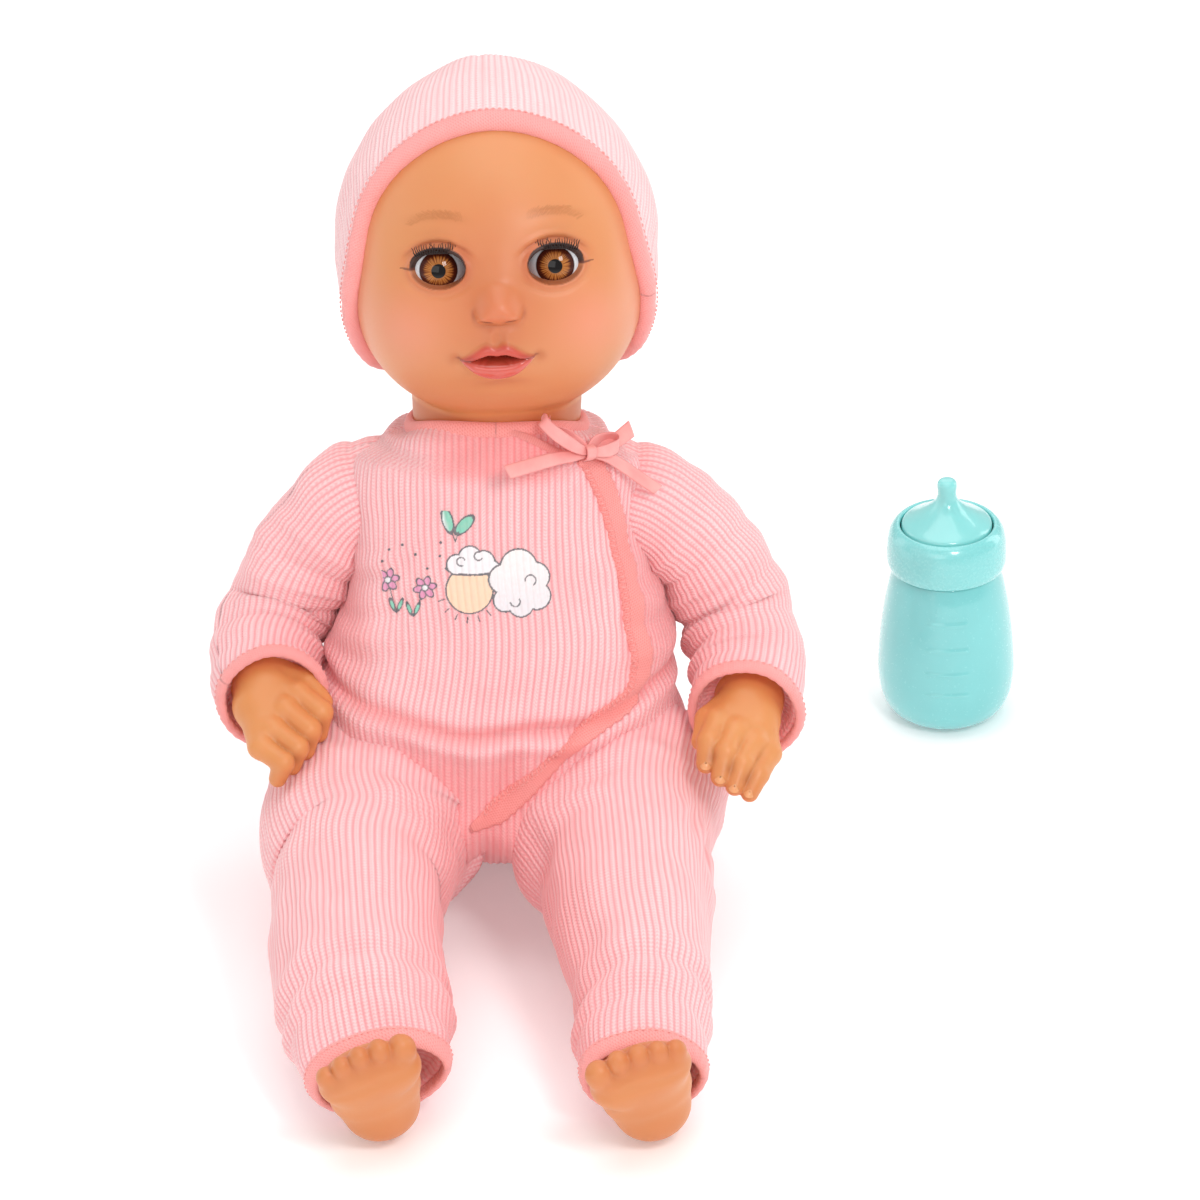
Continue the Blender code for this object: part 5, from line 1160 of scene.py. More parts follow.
def build_sleeve(side_name):
    s = 1 if side_name == "left" else -1
    rows, q = even(sleeve_path(side_name), 1.25)
    keep = len(rows) - int(round(5.6 / 1.25))
    C, R = rows[:, :3], rows[:, 3]
    T, U, V = sweep_frames(C, (0, 1, 0))
    nu = 320
    a = np.arange(nu) / nu * 2 * np.pi
    ring = U[:, None, :] * np.cos(a)[None, :, None] + V[:, None, :] * np.sin(a)[None, :, None]
    P = C[:, None, :] + ring * R[:, None, None]
    # folds: at the crook of the elbow and down from the shoulder
    Y = noise(P, 40.0, 51 + s) * 0.9 + noise(P, 18.0, 53 + s) * 0.35
    L = q[-1]
    along = q[:, None] / L
    inner = np.clip(-(ring @ np.array([s, 0, 0.0])), 0, 1)
    frontish = np.clip(-(ring @ np.array([0, 1.0, 0.0])), 0, 1)
    d = Y * 1.25
    for c0, amp, wd, ph in ((0.30, 1.5, 0.022, 0.0), (0.38, -2.0, 0.018, 0.5), (0.45, 1.7, 0.022, 0.9), (0.53, -2.4, 0.018, 1.3), (0.60, 2.0, 0.022, 1.8), (0.68, -2.2, 0.018, 2.2), (0.75, 1.5, 0.022, 2.6), (0.83, -1.3, 0.02, 3.0)):
        d = d + amp * np.exp(-((along - c0 - 0.045 * np.sin(a + ph)[None, :]) / wd) ** 2) * (0.25 + 0.75 * np.maximum(inner, frontish * 0.6))
    for c0, amp in ((0.13, 0.8), (0.19, -0.9), (0.26, 0.8)):
        d = d + amp * np.exp(-((along - c0 - 0.02 * np.cos(a)[None, :]) / 0.02) ** 2) * (0.3 + 0.7 * inner)
    fade = smooth(0.0, 0.12, along) * smooth(1.0, 0.93, along)
    per = 2 * np.pi * R
    sarc = (a[None, :] - np.pi) * R[:, None]
    h = rib(sarc + 0.3 * noise(P, 50.0, 57))
    d = d * fade + RIB_H * h
    # armhole seam: a small step down into the body
    d = d - 1.0 * np.exp(-((q[:, None] - 7.2) / 1.3) ** 2) + 0.5 * np.exp(-((q[:, None] - 10.6) / 2.0) ** 2)
    P = P + ring * d[..., None]
    P = P[:keep + 1]
    rv = np.broadcast_to(q[:keep + 1, None], P.shape[:2])
    ends = [C[keep - i] + (P[keep - i] - C[keep - i]) * f for i, f in ((0, 0.86), (3, 0.80), (5, 0.66), (6, 0.46), (7, 0.30))]
    P = np.concatenate([P, np.array(ends)])
    m = len(ends)
    # painted shade: deep darkens the side of the sleeve that faces the body and the inside of the cuff opening
    ob = tube_object("sleeve_visual_" + side_name, P, M_KNIT, None, None,
                     floats={"rib": np.concatenate([h[:keep + 1]] + [h[keep:keep + 1]] * m), "ru": np.concatenate([sarc[:keep + 1]] + [sarc[keep:keep + 1]] * m), "rv": np.concatenate([rv] + [rv[-1:] + 1 + 2 * i for i in range(m)]),
                             "deep": np.concatenate([0.45 * inner[:keep + 1] ** 2] + [np.full((1, nu), 0.6)] * m)})
    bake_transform(ob)
    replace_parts(ob, "sleeve_" + side_name, "cloth_upper_arm_" + side_name)
    # cuff binding
    k0 = keep - 1
    band(side_name, "cuff", C[k0:], U[k0:], V[k0:], R[k0:] + 0.9, "arm_" + side_name, "cuff_binding_" + side_name)


def band(side_name, kind, C, U, V, R, body, replaces, thick=2.3, hw=None):
    """Folded jersey band round the end of a sleeve or trouser leg, with a row of stitches."""
    T = unit_rows(np.gradient(C, axis=0))
    s = np.concatenate([[0], np.cumsum(np.linalg.norm(np.diff(C, axis=0), axis=1))])
    L = s[-1]
    prof = [(0.0, -0.9), (-0.02, 0.0), (0.06, 0.55), (0.22, 0.95), (0.45, 1.15), (0.7, 1.05), (0.9, 0.6), (1.0, -0.1), (1.02, -0.9), (0.96, -1.7), (0.8, -2.2), (0.4, -2.3), (0.1, -2.0)]
    nb = 200
    a = np.arange(nb) / nb * 2 * np.pi
    G = []
    for t, out in prof:
        q = np.clip(t, 0, 1) * L
        c = np.array([np.interp(q, s, C[:, k]) for k in range(3)]) + (t - np.clip(t, 0, 1)) * L * T[-1 if t > 0.5 else 0]
        u = unit(np.array([np.interp(q, s, U[:, k]) for k in range(3)]))
        v = unit(np.array([np.interp(q, s, V[:, k]) for k in range(3)]))
        if hw is None:
            r = np.interp(q, s, R)
            ru_, rv_ = r, r
        else:
            ru_, rv_ = np.interp(q, s, hw[0]), np.interp(q, s, hw[1])
        wob = 0.12 * np.sin(a * 31) + 0.18 * np.sin(a * 5 + 1.0)
        G.append(c + np.outer(np.cos(a) * (ru_ + out + wob), u) + np.outer(np.sin(a) * (rv_ + out + wob), v))
    G = np.array(G).transpose(1, 0, 2)
    k = len(prof)
    i, j = np.arange(nb)[:, None], np.arange(k)[None, :]
    Q = np.stack([i * k + j, i * k + (j + 1) % k, ((i + 1) % nb) * k + (j + 1) % k, ((i + 1) % nb) * k + j], -1).reshape(-1, 4)
    ru = np.repeat(np.arange(nb) / nb * 2 * np.pi * 20.0, k)
    ob = mesh_object(kind + "_binding_visual_" + side_name, G.reshape(-1, 3), Q, None, M_BIND_LIGHT, floats={"ru": ru, "rv": np.tile(np.arange(k) * 0.9, nb) + 0.6 * ru})
    finish_piece(ob, body, [replaces])
    path = G[:, 3]
    nrm = unit_rows(path - path.mean(0))
    st = stitches(kind + "_stitches_" + side_name, path, nrm, 2.3, 0.62, 0.25, closed=True)
    finish_piece(st, body)


for _side in ("right", "left"):
    build_sleeve(_side)


# =============================================================== trouser legs
LEG = {
    "right": [(-48.0, 0.0, 43.0, 32.2, 35.0), (-49.4, -30.0, 41.0, 33.2, 34.2), (-47.2, -45.0, 39.6, 31.6, 33.6), (-49.4, -60.0, 38.0, 29.6, 32.8), (-49.0, -75.0, 36.2, 29.6, 31.6),
              (-48.2, -90.0, 34.2, 29.8, 30.2), (-46.4, -118.0, 29.4, 30.4, 26.2), (-43.6, -140.0, 24.6, 27.6, 20.8), (-40.4, -155.0, 20.6, 23.2, 16.4)],
    "left": [(48.0, 0.0, 43.0, 32.2, 35.0), (45.6, -30.0, 41.0, 29.0, 34.2), (46.2, -45.0, 39.6, 28.6, 33.6), (47.4, -60.0, 38.0, 30.0, 32.8), (48.2, -75.0, 36.2, 27.6, 31.6),
             (49.0, -90.0, 34.2, 26.0, 30.2), (52.3, -118.0, 29.4, 22.8, 26.2), (51.6, -140.0, 24.6, 22.0, 20.8), (52.0, -155.0, 20.6, 20.6, 16.4)],
}


def build_leg(side_name):
    s = 1 if side_name == "left" else -1
    raw = [list(map(float, r)) for r in LEG[side_name]]
    c0 = np.array(raw[0][:3])
    d0 = unit(np.array(raw[1][:3]) - c0)
    pre = []
    for deg in (80, 66, 50, 34, 17):
        t = math.radians(deg)
        c = c0 - d0 * (33.0 * math.sin(t))
        pre.append([*c, 34.4 * math.cos(t) ** 0.8, 35.6 * math.cos(t) ** 0.8])
    rows, q = even(pre + raw, 1.35)
    C, HW, HH = rows[:, :3], rows[:, 3], rows[:, 4]
    y = C[:, 1]
    # near the lap the cloth is wider towards the middle and fuller on top
    lap = smooth(-62, -16, y)
    T = unit_rows(np.gradient(C, axis=0))
    U = unit_rows(np.array([1.0, 0, 0]) - T * T[:, :1])
    V = np.cross(U, T)
    V = V * np.sign(V[:, 2:3])
    nu = 540
    a = np.pi / 2 + np.arange(nu) / nu * 2 * np.pi          # starts on top
    ca, sa = np.cos(a), np.sin(a)
    P = []
    for k in range(len(C)):
        p = 2.0 + 0.35 * lap[k]
        kk = (np.abs(ca) ** p + np.abs(sa) ** p) ** (-1 / p)
        inner = np.clip(-s * ca, 0, 1)
        wid = HW[k] + (2.5 * lap[k] + 10.0 * smooth(-49.0, -31.0, y[k])) * inner ** 2 * smooth(34, 10, y[k])
        hgt = HH[k] + np.where(sa > 0, 1.8 * lap[k] * sa ** 2, 0.0)
        ring = C[k] + np.outer(wid * kk * ca, U[k]) + np.outer(hgt * kk * sa, V[k])
        e, per = even_ring(ring, nu)
        P.append(e)
    P = np.array(P)
    N = grid_normals(P)
    ang_up = N @ np.array([0, 0, 1.0])
    side_out = N[..., 0] * s
    Y = P[..., 1]
    d = 1.15 * noise(P, 44.0, 61 + s) + 0.55 * noise(P, 19.0, 63 + s)

    def fold(y0, slant, wd, amp, where):
        return amp * np.exp(-((Y - y0 - slant * (P[..., 0] - C[:, None, 0])) / wd) ** 2) * where

    top = smooth(-0.2, 0.6, ang_up)
    d = d + fold(-22, 0.25 * s, 4.0, 0.9, top) + fold(-31, 0.30 * s, 3.4, -1.0, top * smooth(0.5, -0.6, side_out))
    d = d + fold(-43, -0.20 * s, 4.5, 0.8, smooth(-0.2, 0.5, -side_out))
    d = d + fold(-52, -0.25 * s, 3.2, -0.9, smooth(0.0, 0.7, -side_out))
    d = d + fold(-116, 0.10, 4.2, 1.1, 1.0) + fold(-124, 0.12, 3.0, -1.3, smooth(-0.6, 0.3, ang_up)) + fold(-131, 0.10, 3.8, 1.2, 1.0)
    d = d + fold(-139, 0.02, 2.6, -0.8, 1.0)
    if s > 0:                                     # pinched fold beside the hand
        pin = np.exp(-(((Y + 44) / 9.0) ** 2)) * smooth(0.55, 0.9, side_out)
        d = d + pin * 1.6 * np.sin((P[..., 2] - 52) / 1.8)
    L = q[-1]
    per_k = np.array([np.linalg.norm(np.roll(r, -1, 0) - r, axis=1).sum() for r in P])
    fr = np.arange(nu) / nu
    sarc = np.where(fr > 0.5, fr - 1, fr)[None, :] * per_k[:, None]
    h = rib(sarc + 0.35 * noise(P, 60.0, 67 + s))
    seam = np.exp(-((np.abs(sarc) - per_k[:, None] / 2) / 0.9) ** 2)
    fade = smooth(0, 14, q)[:, None] * smooth(L, L - 10, q)[:, None]
    P = P + N * (d * fade + RIB_H * h - 0.5 * seam)[..., None]
    P[..., 2] = np.maximum(P[..., 2], 0.4)
    keep = len(C) - int(round(6.4 / 1.35))
    rv = np.broadcast_to(q[:, None], P.shape[:2])
    ends = [C[keep - i] + (P[keep - i] - C[keep - i]) * f for i, f in ((0, 0.88), (3, 0.82), (5, 0.68), (6, 0.48), (7, 0.34))]
    m = len(ends)
    Pk = np.concatenate([P[:keep + 1], np.array(ends)])
    # painted shade: deep darkens the inner side of the leg and the inside of the hem opening
    ob = tube_object("trouser_leg_visual_" + side_name, Pk, M_KNIT, c0 - d0 * 34.2, None,
                     floats={"rib": np.concatenate([h[:keep + 1]] + [h[keep:keep + 1]] * m), "ru": np.concatenate([sarc[:keep + 1]] + [sarc[keep:keep + 1]] * m), "rv": np.concatenate([rv[:keep + 1]] + [rv[keep:keep + 1] + 1 + 2 * i for i in range(m)]),
                             "deep": np.concatenate([0.5 * np.clip(-side_out[:keep + 1], 0, 1) ** 2] + [np.full((1, nu), 0.6)] * m)})
    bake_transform(ob)
    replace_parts(ob, "trouser_leg_" + side_name, "cloth_thigh_" + side_name)
    k0 = keep - 1
    band(side_name, "hem", C[k0:], U[k0:], V[k0:], None, "leg_" + side_name, "hem_binding_" + side_name, hw=(HW[k0:] + 0.9, HH[k0:] + 0.9))


for _side in ("right", "left"):
    build_leg(_side)


# =============================================================== implicit solids for hands and feet
def smin(a, b, k):
    h = np.clip(0.5 + 0.5 * (b - a) / k, 0, 1)
    return b + (a - b) * h - k * h * (1 - h)


def smax(a, b, k):
    return -smin(-a, -b, k)


def cap_sd(P, a, b, ra, rb):
    a, b = np.asarray(a, float), np.asarray(b, float)
    ab = b - a
    t = np.clip(((P - a) @ ab) / (ab @ ab), 0, 1)
    return np.linalg.norm(P - a - t[..., None] * ab, axis=-1) - (ra + (rb - ra) * t)


def ell_sd(P, c, axes, radii):
    q = (P - np.asarray(c, float)) @ np.array(axes, float).T
    r = np.array(radii, float)
    k0 = np.linalg.norm(q / r, axis=-1)
    k1 = np.linalg.norm(q / (r * r), axis=-1) + 1e-9
    return k0 * (k0 - 1.0) / k1


def surface_net(fn, lo, hi, h):
    ax = [np.arange(lo[k], hi[k] + h, h) for k in range(3)]
    G = np.stack(np.meshgrid(*ax, indexing="ij"), -1)
    S = fn(G)
    ins = S < 0
    nx, ny, nz = S.shape
    shifts = [(i, j, k) for i in (0, 1) for j in (0, 1) for k in (0, 1)]
    cut = lambda A, s: A[s[0]:nx - 1 + s[0], s[1]:ny - 1 + s[1], s[2]:nz - 1 + s[2]]
    cnt = sum(cut(ins, s).astype(int) for s in shifts)
    act = (cnt > 0) & (cnt < 8)
    idx = -np.ones(act.shape, int)
    idx[act] = np.arange(act.sum())
    acc = np.zeros((*act.shape, 3))
    num = np.zeros(act.shape)
    for a in range(3):
        for s in shifts:
            if s[a]:
                continue
            e = list(s)
            e[a] = 1
            v0, v1 = cut(S, s), cut(S, tuple(e))
            cr = (v0 < 0) != (v1 < 0)
            t = np.where(cr, v0 / np.where(np.abs(v0 - v1) < 1e-12, 1e-12, v0 - v1), 0)
            p = [np.full(act.shape, float(s[k])) for k in range(3)]
            p[a] = t
            acc += np.where(cr[..., None], np.stack(p, -1), 0)
            num += cr
    I = np.stack(np.meshgrid(*[np.arange(m) for m in act.shape], indexing="ij"), -1)
    V = (np.array(lo) + (I[act] + acc[act] / num[act][:, None]) * h)
    Q = []
    for a in range(3):
        b, c = (a + 1) % 3, (a + 2) % 3
        s0 = [slice(None)] * 3
        s1 = [slice(None)] * 3
        s0[a], s1[a] = slice(0, -1), slice(1, None)
        i0, i1 = ins[tuple(s0)], ins[tuple(s1)]
        cr = i0 != i1
        ed = np.argwhere(cr)
        ok = (ed[:, b] > 0) & (ed[:, c] > 0) & (ed[:, b] < act.shape[b]) & (ed[:, c] < act.shape[c])
        ed = ed[ok]
        cells = []
        for db, dc in ((-1, -1), (0, -1), (0, 0), (-1, 0)):
            e = ed.copy()
            e[:, b] += db
            e[:, c] += dc
            cells.append(idx[e[:, 0], e[:, 1], e[:, 2]])
        q = np.stack(cells, -1)
        flip = ~ins[ed[:, 0], ed[:, 1], ed[:, 2]]
        q[flip] = q[flip][:, ::-1]
        Q.append(q)
    Q = np.concatenate(Q)
    Q = Q[(Q >= 0).all(1)]
    e = 0.05
    for _ in range(3):
        d = fn(V)
        g = np.stack([fn(V + np.eye(3)[k] * e) - fn(V - np.eye(3)[k] * e) for k in range(3)], -1) / (2 * e)
        V = V - np.clip(d, -h, h)[:, None] * g / np.maximum((g * g).sum(-1, keepdims=True), 0.2)
    return V, Q


def skin_tint(V, spots, base=(238, 168, 112), warm=(220, 142, 88)):
    C = np.broadcast_to(lin(*base), V.shape).copy()
    n = 0.5 + 0.5 * noise(V, 26.0, 71)
    C = C + (lin(*warm) - C) * (0.30 * n)[:, None]
    for c, r, k, col in spots:
        w = k * np.exp(-((np.linalg.norm(V - np.array(c), axis=-1) / r) ** 2))
        C = C + (lin(*col) - C) * w[:, None]
    return C


HANDS = {
    "right": dict(
        fore=[((-82.6, 25.0, 90.0), 13.2), ((-82.8, 8.0, 89.6), 12.4), ((-82.6, 0.0, 89.2), 10.8)],
        palm=[((-82.8, -1.0, 90.6), 8.4), ((-85.2, -8.0, 87.0), 8.6)],
        knuckles=[(-71.0, -6.6, 91.2), (-75.4, -13.0, 88.6), (-80.0, -19.6, 84.8), (-83.6, -25.6, 80.8)],
        pips=[(-62.6, -12.6, 87.2), (-66.6, -19.4, 83.8), (-70.8, -26.0, 80.4), (-75.6, -31.8, 77.6)],
        tips=[(-63.4, -14.2, 79.8), (-68.0, -21.0, 76.6), (-72.6, -26.8, 73.6), (-77.6, -31.6, 71.2)],
        thumb=[(-76.5, 3.0, 93.0), (-67.6, -1.0, 92.4), (-61.8, -6.0, 87.6)]),
    "left": dict(
        fore=[((89.8, 24.0, 86.8), 13.4), ((89.8, 8.0, 85.0), 12.6), ((89.8, 0.0, 84.6), 11.4)],
        palm=[((88.6, -4.0, 85.6), 8.8), ((92.0, -9.0, 83.2), 8.8)],
        knuckles=[(78.6, -15.0, 84.8), (84.6, -19.0, 83.4), (91.0, -21.4, 80.2), (96.4, -21.6, 75.8)],
        pips=[(75.4, -24.2, 82.0), (81.2, -28.8, 80.2), (87.0, -31.0, 77.2), (92.6, -31.4, 72.8)],
        tips=[(74.2, -30.0, 76.4), (79.4, -35.0, 73.8), (84.4, -37.2, 71.2), (89.6, -37.6, 68.6)],
        thumb=[(82.0, -5.0, 84.6), (75.2, -11.5, 83.4), (72.6, -19.6, 79.6)]),
}


def build_hand(side_name):
    hd = HANDS[side_name]
    KR = (4.9, 4.9, 4.6, 4.3)

    def fn(P):
        d = None
        f = hd["fore"]
        for (a, ra), (b, rb) in zip(f[:-1], f[1:]):
            c = cap_sd(P, a, b, ra, rb)
            d = c if d is None else smin(d, c, 2.0)
        (a, ra), (b, rb) = hd["palm"]
        d = smin(d, cap_sd(P, f[-1][0], a, f[-1][1], ra), 3.0)
        d = smin(d, cap_sd(P, a, b, ra, rb), 3.0)
        for i, k in enumerate(hd["knuckles"]):
            src = np.array(a) + (np.array(b) - np.array(a)) * (i / 3.0)
            d = smin(d, cap_sd(P, src, k, 7.2, KR[i] + 0.3), 2.6)
        fd = None
        for i, (k, p, t) in enumerate(zip(hd["knuckles"], hd["pips"], hd["tips"])):
            r0 = KR[i]
            one = cap_sd(P, k, p, r0, r0 * 0.93)
            one = smin(one, cap_sd(P, p, t, r0 * 0.93, r0 * 0.74), 1.0)
            fd = one if fd is None else smin(fd, one, 0.55)
        d = smin(d, fd, 1.7)
        th = hd["thumb"]
        o = cap_sd(P, th[0], th[1], 6.4, 4.9)
        o = smin(o, cap_sd(P, th[1], th[2], 4.9, 3.7), 1.4)
        d = smin(d, o, 1.6)
        # dimples behind the knuckles
        for i, (k, p) in enumerate(zip(hd["knuckles"], hd["pips"])):
            v = unit(np.array(k) - np.array(p))
            c = np.array(k) + v * 3.0 + np.array([0, -0.3, 0.9]) * 6.4
            d = d + 0.35 * np.exp(-((np.linalg.norm(P - c, axis=-1) / 2.6) ** 2))
        return d

    pts = np.array([x[0] for x in hd["fore"]] + hd["knuckles"] + hd["tips"] + hd["pips"] + hd["thumb"])
    V, Q = surface_net(fn, pts.min(0) - 16, pts.max(0) + 16, 0.75)
    spots = [(k, 5.5, 0.35, (214, 128, 82)) for k in hd["tips"]]
    nails = []
    if side_name == "left":
        for k, (p, t) in enumerate(zip(hd["pips"] + [hd["thumb"][1]], hd["tips"] + [hd["thumb"][2]])):
            p, t = np.array(p, float), np.array(t, float)
            dr = unit(t - p)
            up = unit(np.array([0, -0.75, 0.65]) - dr * np.dot([0, -0.75, 0.65], dr))
            rad = (3.6, 3.6, 3.4, 3.2, 3.7)[k]
            nails.append((t + dr * 0.9 + up * rad * 0.86, dr, up, rad * 0.62))
    C = skin_tint(V, spots)
    # painted shade: the line between neighbouring fingers is coloured darker, where shade falls between them
    for a, b in zip(range(3), range(1, 4)):
        ka, kb = np.array(hd["knuckles"][a]), np.array(hd["knuckles"][b])
        pa, pb = np.array(hd["pips"][a]), np.array(hd["pips"][b])
        q = cap_sd(V, (ka + kb) / 2, (pa + pb) / 2 + ((pa + pb) - (ka + kb)) * 0.25, 0, 0)
        C = C + (lin(176, 100, 56) - C) * (0.55 * np.exp(-(q / 2.4) ** 2))[:, None]
    ob = mesh_object("hand_" + side_name, V, Q, None, M_SKIN, floats={"gloss": np.zeros(len(V))}, colours={"tint": C})
    finish_piece(ob, "arm_" + side_name, ["forearm_hand_" + side_name])
    for i, (c, dr, up, r) in enumerate(nails):
        w = np.cross(dr, up)
        n1, n2 = 10, 20
        VV, FF = [], []
        rr = np.linspace(0.12, 1, n1)
        for q in rr:
            for j in range(n2):
                a = 2 * np.pi * j / n2
                x, y_ = q * math.cos(a), q * math.sin(a)
                hgt = (1 - (q ** 2)) * 0.5 - 0.42 * (x ** 2) * r
                VV.append(c + w * (x * r) + dr * (y_ * r * 1.15) + up * hgt)
        VV.append(c + up * 0.5)
        Qn = grid_quads(n1, n2)
        Tn = fan(0, n2, len(VV) - 1)
        ob2 = mesh_object("nail_%s_%d" % (side_name, i), np.array(VV), Qn, Tn, M_NAIL, orient=False)
        finish_piece(ob2, "arm_" + side_name)


M_NAIL = skin_material("nail_vinyl", srgb(232, 162, 112), 0.3)
for _side in ("right", "left"):
    build_hand(_side)


# =============================================================== feet
HEEL = {"right": np.array([-40.4, -161.5, 13.8]), "left": np.array([55.0, -161.5, 13.8])}
I_R, I_U, I_W = np.array([1.0, 0, 0]), np.array([0, 0.5, 0.866]), np.array([0, -0.866, 0.5])
ANKLE = {
    "right": [((-47.0, -112.0, 30.0), 19.0), ((-44.0, -134.0, 25.0), 16.0), ((-41.4, -150.0, 21.0), 14.2)],
    "left": [((51.6, -112.0, 30.0), 19.0), ((52.0, -134.0, 25.0), 16.0), ((53.2, -150.0, 21.0), 14.2)],
}


def build_foot(side_name):
    s = 1 if side_name == "left" else -1
    h = HEEL[side_name]
    roll = math.radians(19 if s < 0 else 20)
    tz = unit(-0.454 * math.sin(roll) * I_R + 0.454 * math.cos(roll) * I_U + 0.89 * I_W)      # heel to toes
    sx = unit(math.cos(roll) * I_R + math.sin(roll) * I_U)                                   # across
    so = np.cross(tz, sx)
    if so[1] > 0:
        so = -so                                                 # out of the sole, towards the front
    leg = ANKLE[side_name]
    ankle = h + np.array([0, 6.0, 6.0])
    big = -s                                                     # big toe is on the inner side
    toes = []
    for i, (u, w, r) in enumerate(((13.6, 36.6, 5.2), (5.8, 39.6, 4.3), (-1.4, 39.4, 4.1), (-8.2, 37.2, 3.9), (-14.6, 33.4, 3.8))):
        toes.append((h + sx * (big * u) + tz * w + so * (-0.6 + 0.5 * (i == 0)), r))
    AX = np.array([sx, tz, so])

    def fn(P):
        d = None
        for (a, ra), (b, rb) in zip(leg[:-1], leg[1:]):
            c = cap_sd(P, a, b, ra, rb)
            d = c if d is None else smin(d, c, 2.0)
        d = smin(d, cap_sd(P, leg[-1][0], ankle, leg[-1][1], 12.0), 3.0)
        d = smin(d, ell_sd(P, h + tz * 0.4, AX, (14.0, 12.6, 12.6)), 2.5)
        d = smin(d, ell_sd(P, h + tz * 13 - so * 1.0, AX, (16.6, 18.0, 11.6)), 3.5)
        d = smin(d, ell_sd(P, h + tz * 26.5, AX, (18.6, 12.5, 10.2)), 3.5)
        d = smin(d, ell_sd(P, h + tz * 28 + sx * (big * 9.0) + so * 3.0, AX, (8.5, 8.5, 6.4)), 3.0)
        t = None
        for c, r in toes:
            o = ell_sd(P, c, AX, (r, r * 1.28, r * 1.02))
            t = o if t is None else smin(t, o, 0.5)
        d = smin(d, t, 2.0)
        # arch and the crease behind the toes
        d = smax(d, -ell_sd(P, h + tz * 13 + sx * (big * 13) + so * 17.5, AX, (8.0, 12.0, 7.5)), 4.0)
        q = (P - h) @ AX.T
        d = d + 0.55 * np.exp(-((q[..., 1] - 33.6 + 0.012 * (q[..., 0] - big * 5) ** 2) / 1.5) ** 2) * smooth(2, 8, q[..., 2]) * smooth(19, 14, np.abs(q[..., 0]))
        return d

    pts = np.array([x[0] for x in leg] + [c for c, _ in toes] + [h])
    lo, hi = pts.min(0) - 24, pts.max(0) + 24
    V, Q = surface_net(fn, lo, hi, 0.95)
    V[:, 2] = np.maximum(V[:, 2], 0.3)
    spots = [(c, 6.5, 0.40, (212, 120, 80)) for c, _ in toes] + [(h + so * 10, 13.0, 0.30, (214, 126, 84)), (h + tz * 28 + so * 8, 11.0, 0.22, (214, 126, 84))]
    C = skin_tint(V, spots, base=(233, 160, 108))
    ob = mesh_object("lower_leg_foot_" + side_name, V, Q, None, M_SKIN, floats={"gloss": np.zeros(len(V))}, colours={"tint": C})
    finish_piece(ob, "leg_" + side_name, ["lower_leg_" + side_name])


for _side in ("right", "left"):
    build_foot(_side)


# =============================================================== neckline, crossover edge and bow
M_RIBBON = None


def ribbon_material():
    m, nt, b = base_material("satin_ribbon", srgb(250, 164, 160), 0.34)
    ru, rv = attr(nt, "ru"), attr(nt, "rv")
    diag = math_node(nt, "SINE", math_node(nt, "MULTIPLY", math_node(nt, "ADD", ru, rv), 2 * math.pi / 0.55))
    mott = noise_node(nt, 120.0, 3.0)
    col = mix_colour(nt, map_range(nt, mott, 0.3, 0.7, 0.0, 1.0), srgb(250, 160, 156), srgb(253, 178, 172))
    col = mix_colour(nt, map_range(nt, diag, -1.0, 1.0, 0.18, 0.0), col, srgb(228, 120, 118))
    edge = map_range(nt, attr(nt, "edge"), 0.80, 0.97, 0.0, 0.45)
    col = mix_colour(nt, edge, col, srgb(232, 128, 126))
    nt.links.new(col, b.inputs["Base Color"])
    nt.links.new(map_range(nt, mott, 0.3, 0.7, 0.28, 0.42), b.inputs["Roughness"])
    nt.links.new(bump_node(nt, diag, 0.03 * MM, 0.5), b.inputs["Normal"])
    b.inputs["Sheen Weight"].default_value = 0.25
    b.inputs["Anisotropic"].default_value = 0.4
    return m


M_RIBBON = ribbon_material()


def collar_piece():
    """Rolled jersey edge round the neck opening."""
    P, per = torso_base(np.array([174.6, 176.8, 178.4]))
    ring = P[-1]
    c = ring.mean(0)
    out = unit_rows(ring - c)
    nu = len(ring)
    prof = [(0.2, -3.6), (0.9, -3.4), (1.5, -2.4), (1.6, -1.0), (1.1, 0.6), (0.1, 1.7), (-1.2, 2.0), (-2.2, 1.4), (-2.7, 0.2), (-2.6, -1.6), (-2.0, -3.4)]
    step = 3
    sel = np.arange(0, nu, step)
    G = np.stack([ring[sel] + out[sel] * o + A_AX * h for o, h in prof], 1)
    k, nb = len(prof), len(sel)
    i, j = np.arange(nb)[:, None], np.arange(k)[None, :]
    Q = np.stack([i * k + j, i * k + (j + 1) % k, ((i + 1) % nb) * k + (j + 1) % k, ((i + 1) % nb) * k + j], -1).reshape(-1, 4)
    ru = np.repeat(sel / nu * per[-1], k)
    ob = mesh_object("collar_binding_visual", G.reshape(-1, 3), Q, None, M_BIND, floats={"ru": ru, "rv": np.tile(np.arange(k) * 0.9, nb) + 0.6 * ru})
    finish_piece(ob, "torso", ["collar_binding"])


collar_piece()


